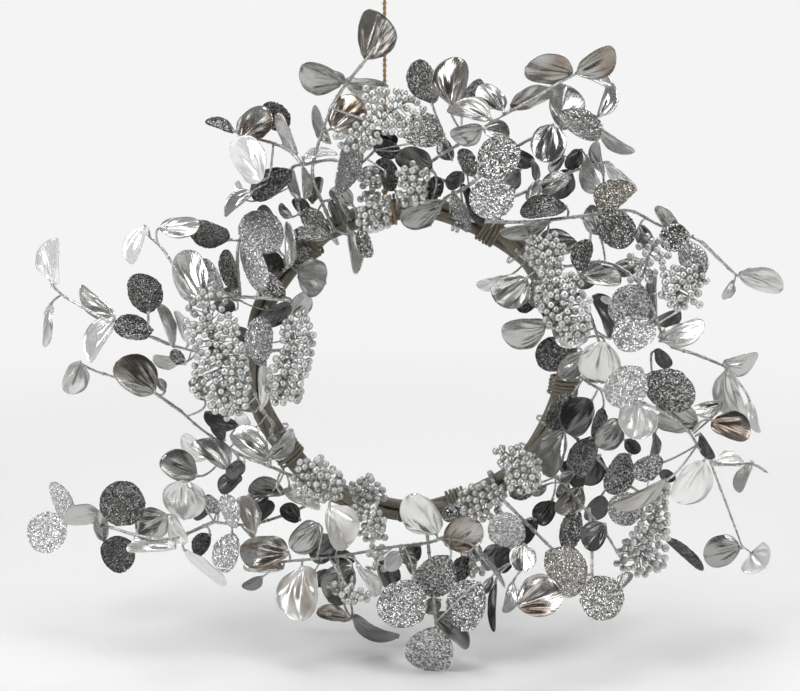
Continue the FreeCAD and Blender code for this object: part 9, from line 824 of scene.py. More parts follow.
L 93.8 -83.9 -134.1 93.8 -79.7 -136.2 93.9 -75.5 -138.4 94 -71.3 -140.7 94.1 -67.2 -143
94.2 -63.1 -145.2 94.3 -58.9 -147.5
L 32.8 -74.6 -149.7 33.7 -72 -146.7 32.9 -69.5 -143.6 30.8 -67.3 -140.9 28 -65.4 -138.5
25.5 -62.5 -137.2
L 50.4 -49.6 -160.5 51.7 -49.1 -156.4 51 -48.9 -152.1 49 -48.6 -148.3 46.3 -48.5 -144.9
43.3 -48.3 -141.8 40.2 -48.3 -138.7 37 -48.3 -135.8
L 54 -107.7 -130.1 52.1 -103.6 -129.5 50.1 -99.5 -129.4 48 -95.5 -129.6 45.6 -91.7 -129.9
43.1 -88 -130.4 40.8 -84.1 -131.2 38.3 -80.4 -132 35.7 -76.9 -132.9 33.2 -73.2 -133.9
30.5 -69.7 -134.9 27.7 -66.3 -135.9 25.5 -62.5 -137.2
L 56.8 -104.6 -160.7 53.4 -102.9 -162.5 50.2 -102.2 -165.6 47.2 -101.7 -168.7 44.2 -101 -171.9
41.2 -100.5 -175.1 38.3 -99.8 -178.4 35.4 -99 -181.7 32.5 -98.6 -185 29.6 -97.9 -188.2
26.6 -97.4 -191.5 23.7 -96.8 -194.8 20.8 -96.3 -198.1
L 71.5 -55.8 -178.8 72.7 -56 -174.6 74.8 -56.4 -170.7 77.5 -57.1 -167.2 80.3 -58.4 -164
82.9 -60.4 -160.9 85.9 -62 -158.1 89.5 -61.8 -155.6 93.3 -60.6 -153.7 97.2 -60 -151.6
S 68 -74.8 -166.5 70.7 -72.9 -163.2 74 -71 -160.7 77.8 -69.3 -158.8 81.8 -67.7 -157.2
85.9 -66.2 -155.9 90.1 -64.7 -154.8 94.4 -63.3 -153.9 98.7 -61.9 -153
L 85.7 -74.8 -170.9 88 -73.1 -166.9 91.1 -71.5 -163.5 94.9 -70 -160.8 99.1 -68.7 -158.7
103.5 -67.5 -156.9
L 85.6 -151.1 -162.9 86.8 -146.9 -163.3 89.4 -143.3 -163 92.2 -139.8 -162.5 95 -136.3 -162.2
97.9 -133 -161.7 100.8 -129.6 -161.3 103.6 -126.2 -161 106.5 -122.8 -160.6
109.3 -119.3 -160.3 112.2 -116 -159.9 115.1 -112.5 -159.6 117.9 -109.1 -159.2
120.8 -105.8 -158.8 123.7 -102.3 -158.5 126.6 -99 -158.1 129.5 -95.6 -157.8
132.5 -92.3 -157.3
L 111.2 -119.4 -128.5 112.4 -115.6 -130 114.9 -113.1 -132.8 117.3 -110.6 -135.7
119.7 -108.3 -138.6 122.3 -106.2 -141.5 124.9 -104.1 -144.5 127.3 -101.8 -147.5
129.6 -99.4 -150.4 132.1 -97.2 -153.3 134.7 -95.1 -156.3
L 147.7 -115.9 -151.3 147.8 -114.8 -150.8 147.9 -113.8 -150.4
S 174.6 -66.4 -179.4 171.9 -69.9 -179.4 169 -73.1 -178.8 166.2 -76.3 -177.5
163.4 -79.3 -175.7 160.7 -82 -173.6 158 -84.7 -171.4 155.4 -87.4 -169 153.1 -90.3 -166.6
150.7 -93 -164.1 148.3 -95.7 -161.5 145.9 -98.3 -158.8 143.6 -100.9 -156.2
141.4 -103.7 -153.5
L -102.5 -70.8 -145.8 -100.9 -71 -149.6 -101 -71.3 -153.7
L -77.7 -58.7 -125.3 -74.6 -58.8 -128.1 -74.5 -59.8 -132.5 -75.1 -60.9 -136.8
-75.9 -61.5 -141.2 -76.8 -61.8 -145.6 -77.7 -62.6 -149.9 -78.8 -63.7 -154.2
L -47.5 -28 -168.2 -48.3 -27.7 -165.6 -49.6 -27.3 -163.1
L -26.1 -23.4 -169.9 -27 -22.8 -165.3 -26.8 -22 -160.7
L 8.2 -25.9 -155.4 8.5 -27.7 -154.3 8.9 -29.4 -153.3
S 59.2 -41 -163.6 59.2 -41.7 -159.6 57.2 -41.9 -155.7 54.9 -42 -151.9 52.7 -42.2 -148.1
50.4 -42.4 -144.3 48.1 -42.6 -140.6 45.7 -42.8 -136.8 43.4 -43 -133.1
L 106.5 -25.3 -133.1 102.8 -25.7 -131.1 98.5 -26.9 -132.5 94.3 -27.9 -134.4 90.2 -29.1 -136.4
86.2 -30.4 -138.4
L -86.3 -28.7 -190.8 -87.8 -32.3 -188.9 -87.4 -35.3 -185.6 -86.1 -37.9 -182.2
-84.7 -40.3 -178.8 -83.2 -42.8 -175.5 -81.7 -45.3 -172.1 -80.1 -47.6 -168.7
-78.3 -49.7 -165.2 -76.6 -51.9 -161.8 -75.4 -55 -158.8 -74 -57.9 -155.8
L 76.9 -25.2 -155.7 79.1 -27.4 -151.7 81.8 -29.6 -148.1 84.8 -32 -144.9 88.1 -34.4 -142
S 25.3 -39 -200.5 23.2 -40.4 -198.9 20.9 -42.1 -197.7
B -35.9 -52.5 -98.8 -36.3 -48.7 -101 -36.7 -45 -103.2 -37.1 -41.3 -105.3 -37.4 -37.5 -107.4
-37.7 -33.7 -109.5 -38.1 -30 -111.6 -38.4 -26.2 -113.7 -38.8 -22.5 -115.9 -39.2 -18.8 -118.1
-39.6 -15.1 -120.3 -40 -11.4 -122.5
B -35.7 -74.8 -119.2 -35.5 -70.3 -119.5 -35.3 -65.8 -119.9 -35.2 -61.2 -120.4 -35 -56.7 -120.9
-34.9 -52.2 -121.2 -34.7 -47.7 -121.6 -34.5 -43.1 -121.9 -34.3 -38.6 -122.2
-34.2 -34.1 -122.6 -34 -29.5 -123.1 -33.9 -25 -123.5 -33.7 -20.5 -123.8 -33.5 -15.9 -124.1
-33.3 -11.4 -124.4
B -29.4 -59 -156.9 -26.3 -56.4 -155.5 -23.2 -53.8 -154 -20.1 -51.1 -152.7 -17.1 -48.4 -151.2
-14.1 -45.6 -149.9
B -49.7 -87 -175.5 -51.9 -83.5 -173.3 -54 -79.9 -171.2 -56.1 -76.2 -169.2 -58.2 -72.5 -167.2
-60.3 -68.9 -165.1 -62.6 -65.6 -162.7 -64.8 -62.2 -160.3 -66.9 -58.6 -158.3 -69 -54.9 -156.2
B 59 -69.2 -102.7 59 -64.7 -103.7 58.9 -60.3 -104.6 58.9 -55.9 -105.6 58.9 -51.4 -106.5
58.8 -47 -107.5 58.8 -42.5 -108.4 58.8 -38.1 -109.4 58.7 -33.6 -110.3 58.7 -29.2 -111.3
58.6 -24.8 -112.2 58.6 -20.3 -113.1 58.6 -15.9 -114 58.5 -11.4 -115
B 56.9 -57.4 -165.7 54.4 -56.4 -161.9 51.9 -55.4 -158.1 49.4 -54.4 -154.4 46.9 -53 -150.7
44.5 -51.3 -147.2 42 -50.2 -143.4 39.5 -49.2 -139.6 37 -48.3 -135.8
""",
"left_lower_stems": """
M -83.6 -11.7 -102.8 -87.1 -11.7 -99.9 -90.4 -11.9 -96.9 -96.4 -18.4 -95.9 -101.2 -25.3 -93.2
-104.9 -32.5 -89.3 -108.1 -39.7 -85.3 -111.3 -47 -81.3 -115.5 -53.6 -77.2 -122.2 -57.6 -73.2
-130.4 -56.4 -70.3 -137.5 -51.4 -69 -143.4 -44.7 -68.5 -148.3 -37.3 -68.3 -153.2 -29.9 -67.7
-159.3 -23.8 -65.6 -166.5 -20.5 -61.8 -173.8 -19.3 -56.9 -180.8 -18.7 -51.4
-187.5 -17.8 -45.6 -193.9 -16.6 -39.6
M -64.5 -11.7 -115.7 -68.4 -11.7 -113.5 -72.2 -11.9 -111.1 -79.3 -12.8 -116.9
-86.9 -13.9 -122.2 -95.1 -15.2 -126.2 -103.6 -16.6 -129.5 -112.2 -18.2 -132.4
-120.9 -20.5 -134.6 -128.8 -25.1 -135.5 -134.3 -32.3 -134.5 -137.5 -40.7 -132.2
-139.9 -49.2 -129.5 -142.7 -57.5 -126.5 -149.2 -62.5 -124.2 -156.2 -56.9 -125.3
-161.4 -49.5 -127.2 -166.5 -42 -129.2
M -114.8 -11.7 -66.2 -117 -11.7 -62.3 -119 -11.9 -58.3 -116.7 -18.3 -52.4 -116.6 -25.4 -46.8
-118.5 -32.5 -41.6 -121.3 -38.7 -35.7 -125 -41.8 -28.1 -128.7 -41.2 -20 -131.8 -38.6 -11.9
-134.2 -35.6 -3.7 -136 -32.7 4.6 -137.3 -30.6 13.3 -138.5 -29 22.1
L -180.1 -40.8 -88.8 -175.5 -39.6 -88.9 -171.4 -38.2 -87.3 -167.8 -36.3 -84.9
-164.6 -34.6 -81.9 -161.6 -32.7 -78.8 -158.9 -30.7 -75.5 -156.3 -28.9 -72 -153.7 -26.9 -68.6
L -170.2 -25 -76.9 -166.3 -23.4 -76.6 -163.6 -21.4 -73.9 -161.9 -19.3 -70.5 -160.7 -17.2 -66.9
L -152.7 -53.5 -77.7 -149 -52.3 -77.3 -146.4 -50.7 -74.7 -144.8 -48.8 -71.4 -143.6 -46.9 -68.1
L -189.6 -62.9 -87 -186.9 -59.7 -88.1 -184.6 -57.7 -91.4 -182.5 -56.2 -95 -180.6 -54.5 -98.7
-178.7 -52.9 -102.5 -176.9 -51.5 -106.3 -175.2 -49.7 -110 -173.4 -48 -113.8
-171.6 -46.6 -117.7 -170 -45 -121.5 -168.2 -43.6 -125.3 -166.5 -42 -129.2
L -144.8 -28.4 -48.5 -142.8 -28.2 -52.9 -144.2 -28 -57.5 -147 -27.7 -61.5 -150.3 -27.3 -65.1
-153.7 -26.9 -68.6
S -135.2 -44 -44.9 -130.7 -44.3 -45.2 -126.8 -44.2 -42.8 -123.8 -44.1 -39.2 -121.2 -43.4 -35.4
L -117.2 -57.6 -67.8 -116.4 -60.5 -70.5 -116.9 -63.6 -73.1
L -116.7 -65.3 -66.3 -118 -65 -69 -119.1 -64.8 -71.8
L -153.7 -29.4 -32.5 -150.3 -32 -34 -146.3 -34.1 -33.6 -142.6 -35.7 -31.7 -139.1 -37.3 -29.1
-135.9 -38.9 -26.3 -132.7 -40.2 -23.3 -129.5 -41.1 -20.2
L -132.7 -30.4 -35.7 -130.5 -33.7 -34.4 -128.9 -36.9 -32.2 -127.6 -39.8 -29.6
-126.5 -42.8 -26.9
L -135.6 -42.9 -14.8 -133.6 -41.9 -14.1 -131.9 -40.8 -12.9
L -123.7 -51.6 -28.8 -123.7 -49.9 -29.3 -123.8 -48.2 -29.9
L -119.7 -64.2 15.7 -120.3 -60 13.8 -121 -55.7 12.1 -121.9 -51.4 10.7 -123 -47 9.5
-124 -42.6 8.4 -125.2 -38.1 7.4 -126.3 -33.7 6.5 -127.4 -29.3 5.7 -128.5 -24.8 4.8
-129.6 -20.3 4 -130.6 -15.9 3.2 -131.7 -11.4 2.4
L -135.2 -28.2 21.9 -136.8 -28.6 22 -138.5 -29 22.1
S -142.9 -28 60.4 -140.1 -25 58 -136.9 -22.3 55.7 -133.6 -19.6 53.6 -130 -17.1 51.8
-126.1 -15 50.1 -123.5 -11.4 48.6
L -100.5 -29.4 47.1 -103.9 -27.6 44.8 -107.5 -25 44.1 -111.2 -22.5 44.8 -114.4 -19.7 46.3
-117.7 -17.8 48.7 -120.6 -15.5 51.1 -122.3 -11.4 51.8
L -99 -40.9 60 -99.4 -37.9 63 -101.7 -33.9 63.4 -104.1 -29.9 63.3 -106.6 -26 63.1
-109.5 -22.5 63 -112.9 -19.2 63.1 -115.7 -15.6 62.9 -117.6 -11.4 62.3
S -100.9 -41.2 34.6 -102.3 -40.4 30.6 -105.9 -39.3 28.5 -109.8 -38 27.2 -113.9 -36.9 26.2
-118 -35.6 25.3 -122 -34.2 24.5 -126.2 -33 23.9 -130.3 -31.7 23.3 -134.3 -30.3 22.7
-138.5 -29 22.1
L -130.1 -68.4 -133.4 -133.6 -66.5 -133.1 -136.6 -64.7 -130.7 -139.5 -63 -128.1
-142.4 -61.2 -125.4
L -144.5 -84.1 -119.2 -145.4 -79 -119.9 -146.3 -73.9 -120.7
L -148.9 -72.2 -128.6 -148.7 -72.3 -124.7 -148.9 -72.4 -120.8
S -163 -41.2 -122.3 -163 -42.5 -125.6 -163.8 -43.5 -128.9
S -139 -57 -71.4 -138.7 -55.8 -69.7 -138.5 -54.6 -68
L -145.1 -24.3 -92.2 -143.4 -25.3 -88.2 -143.1 -26.4 -83.8 -144.3 -27.6 -79.6
-146.3 -28.8 -75.7 -148.7 -30.2 -72.1 -151.3 -31.6 -68.7
L -106 -42.6 -102.3 -103 -40 -100.1 -102.7 -37.2 -96.6 -103.7 -34.5 -93 -105.1 -32.1 -89.3
L -120.4 -41.4 -105.4 -117.2 -40.9 -102.8 -114.7 -42.3 -99.8 -112.4 -41.1 -96.9
-110.5 -38.5 -94.2 -108.7 -37.1 -90.7 -107.1 -36.1 -86.9
L -108.8 -52.7 -99.9 -111.4 -50.6 -97.5 -112.4 -48.4 -94.1 -111.9 -46.1 -90.6
-110.7 -43.7 -87.4 -109.1 -41.6 -84.1
L -67.2 -42.1 -102.5 -67 -37.7 -103.7 -67 -33.4 -104.9 -67 -29 -106 -67 -24.6 -107.1
-67.1 -20.2 -108.2 -67.1 -15.8 -109.2 -67.2 -11.4 -110.3
S -157.9 -17.3 -64.1 -159.2 -17.3 -65.6 -160.7 -17.2 -66.9
L -133.3 -19.6 -135 -133.1 -20.4 -136.6 -132.7 -21.1 -138.3
L -94.7 -20.9 -134.5 -96.2 -17.9 -131.2 -98.8 -15.5 -128.2
L -167.6 -15.9 -118.2 -165.3 -19.3 -117.6 -164.5 -23.2 -119.1 -164.7 -26.9 -121.3
-165 -30.7 -123.2 -165.5 -34.4 -125.3 -166 -38.2 -127.3 -166.5 -42 -129.2
S -153.5 -22 7.4 -149.4 -24.4 6.6 -145.2 -26.5 7.5 -141.2 -28.3 9.5 -137.4 -30 12.1
L -173.5 -23.1 -27.2 -173.4 -22.4 -31.5 -175.5 -21.6 -35.1 -178.8 -20.6 -37.7
-182.5 -19.5 -39.8 -186.4 -18.4 -41.6 -190.4 -17.4 -43.1
B -76.5 -72.1 -83.1 -76.6 -67.8 -84.6 -76.7 -63.5 -86 -76.9 -59.1 -87.4 -77 -54.8 -88.7
-77.2 -50.4 -90.1 -77.4 -46.1 -91.5 -77.5 -41.8 -92.9 -77.7 -37.4 -94.3 -77.9 -33.1 -95.7
-78 -28.8 -97.1 -78.2 -24.4 -98.5 -78.4 -20.1 -99.9 -78.5 -15.7 -101.3 -78.7 -11.4 -102.6
""",
"left_upper_stems": """
M -193.9 -16.6 -39.6 -199.5 -20.4 -34 -204.6 -25.1 -28.5 -208.9 -30.7 -23.2 -214.1 -35.4 -18
-221.6 -34.8 -13.9 -229.2 -31 -11.5 -237 -27.7 -9.3 -245.4 -25.9 -7.2 -253.9 -25.1 -4.9
-262.3 -25 -2.3 -270.1 -26 1.5 -277.1 -28.3 6.4
M -99 -55 66.6 -106.7 -59.4 68.1 -115.4 -61.8 69.3 -124.2 -60.4 69.6 -130.6 -54.3 68.6
-135.5 -46.8 67.1 -141.6 -40.5 65.6 -150.4 -39.8 64.9 -158.2 -44.2 65.2 -164.5 -50.6 66
-171.4 -56 67.9 -178.6 -55.5 72.8 -184.1 -51.1 78.6 -188.9 -45.9 84.2 -193.6 -40.4 89.7
-198.3 -35.7 95.8 -203.3 -32.2 102.4 -209.2 -28.9 108.4 -215.8 -24.9 113.2
M -141.4 -35.4 64.7 -141.8 -36.9 74.1 -142.5 -36.4 83.6 -143 -34.5 92.9 -142.9 -32 102.1
-141.2 -28.8 110.9 -136.9 -25.1 118.6 -130.4 -22.3 124.9 -123.1 -20.4 130.8
M -104.8 -34.4 19.2 -113.7 -34 18.6 -122.4 -32.6 17.8 -130.8 -29.8 16.7 -138.7 -26 15.5
-146.7 -22.3 14.3 -155.3 -20.3 13.6 -164 -21.5 13.8 -171.7 -25.8 15.2 -178.2 -31.4 17.3
-185.3 -36 20 -193.7 -36.5 22.4 -202.2 -34.6 24.4
L -149.9 -31.4 111.9 -146.3 -30.9 111.4 -142.7 -30 111.3
L -172 -61.9 69 -172.9 -61.4 68.6 -173.8 -60.8 68.2
L -108.4 -52.5 107.8 -107.7 -48.4 105.9 -106.8 -44.3 103.9 -106 -40.2 101.9
-105.2 -36.1 100.1 -104.4 -31.9 98.2 -103.6 -27.8 96.4 -102.6 -23.7 94.5 -101.6 -19.6 92.6
-100.7 -15.5 90.8 -99.7 -11.4 89
L -124.4 -65.5 74.8 -124.7 -65.1 72.8 -125 -64.8 70.8
L -143.4 -39.8 72.4 -142.5 -38.9 72.6 -141.5 -38 72.8
L -158 -44.6 65 -159.3 -45.3 65.2 -160.6 -46.1 65.3
L -105.8 -30.1 86.4 -105.7 -25.5 85.3 -105.7 -20.8 84.1 -105.6 -16.1 83 -105.5 -11.4 81.8
L -104.5 -59.3 68.4 -104.1 -57.8 67.8 -103.8 -56.4 67.2
L -100.4 -68.7 96.2 -100.5 -64.3 95.5 -100.8 -59.9 94.6 -101 -55.5 93.7 -101.2 -51.1 92.7
-101.5 -46.7 91.8 -101.7 -42.3 90.9 -101.9 -37.8 90 -102.2 -33.4 89.1 -102.4 -29 88.2
-102.7 -24.6 87.3 -102.9 -20.2 86.4 -103.1 -15.8 85.4 -103.4 -11.4 84.5
L -93.7 -41.4 87.9 -95 -37.2 87.7 -96.2 -32.9 87.4 -97.3 -28.6 87.2 -98.3 -24.3 87.1
-99.3 -20 87.1 -100.3 -15.7 87.1 -101.2 -11.4 87.2
L -51.6 -38.5 122.5 -51.9 -34 122.5 -52.4 -29.4 122.5 -52.9 -24.9 122.5 -53.5 -20.4 122.5
-54.2 -15.9 122.5 -55 -11.4 122.6
L -41.7 -41 125.5 -42.1 -36.7 125.7 -42.5 -32.5 125.9 -42.9 -28.3 126.1 -43.2 -24.1 126.2
-43.6 -19.8 126.4 -44 -15.6 126.6 -44.3 -11.4 126.9
L -196.9 -37.6 22.6 -195.8 -37.1 22.6 -194.7 -36.6 22.7
L -184.9 -40.3 24.9 -186 -40.2 23.1 -187.2 -40 21.4
L -203.4 -58.1 127.1 -205.4 -54.1 125.4 -206.9 -50.1 123.3 -207.9 -46.2 120.8
-208.4 -42.2 118.2 -208.7 -38.2 115.6 -208.9 -34.2 112.9 -208.9 -30.2 110.3
L -219.7 -24.2 122.3 -216.9 -24.2 118.1 -215.8 -24.9 113.2
L -277.4 -25.6 6.6 -277.3 -27 6.5 -277.1 -28.3 6.4
L -213.2 -43.1 -14.7 -213.4 -41.6 -15.6 -213.6 -40.1 -16.4
L -192.4 -20.4 5.2 -189.1 -23.1 6.3 -185.8 -25.6 8.1 -182.9 -27.7 10.7 -180.4 -29.8 13.8
-178.2 -31.8 17.1
S -206.3 -29.6 -17.6 -207.9 -31.1 -19.7 -210.4 -32.1 -21.3
S -189.9 -36.9 7.8 -185.8 -37.8 10.1 -183.9 -37.7 14.7 -182.6 -37.4 19.5
S -147 -20.2 50.1 -145 -23.8 51.7 -144 -27.2 54.4 -143.7 -30.5 57.4 -143.8 -33.5 60.6
-144.3 -35.4 64.6
L -112.2 -26.4 119.3 -115.3 -24.6 121.4 -117.9 -23.4 124.6 -120.5 -21.9 127.7
-123.1 -20.4 130.8
L -83.8 -18.4 100.9 -85.4 -15.1 102 -86.7 -11.4 102
B -159.4 -77.2 26.9 -162 -73.5 26.3 -164.6 -69.8 25.7 -167.2 -66.2 25.1 -169.6 -62.4 24.5
-171.9 -58.6 23.8 -174.3 -54.8 23.1 -176.9 -51.1 22.5 -179.5 -47.5 21.9 -182.1 -43.8 21.4
-184.8 -40.2 20.8
B -97.9 -69.1 19.5 -98.7 -64.8 19.4 -99.6 -60.5 19.4 -100.5 -56.1 19.4 -101.4 -51.8 19.4
-102.2 -47.4 19.3 -103.1 -43.1 19.3 -104 -38.7 19.3 -104.8 -34.4 19.2
""",
}

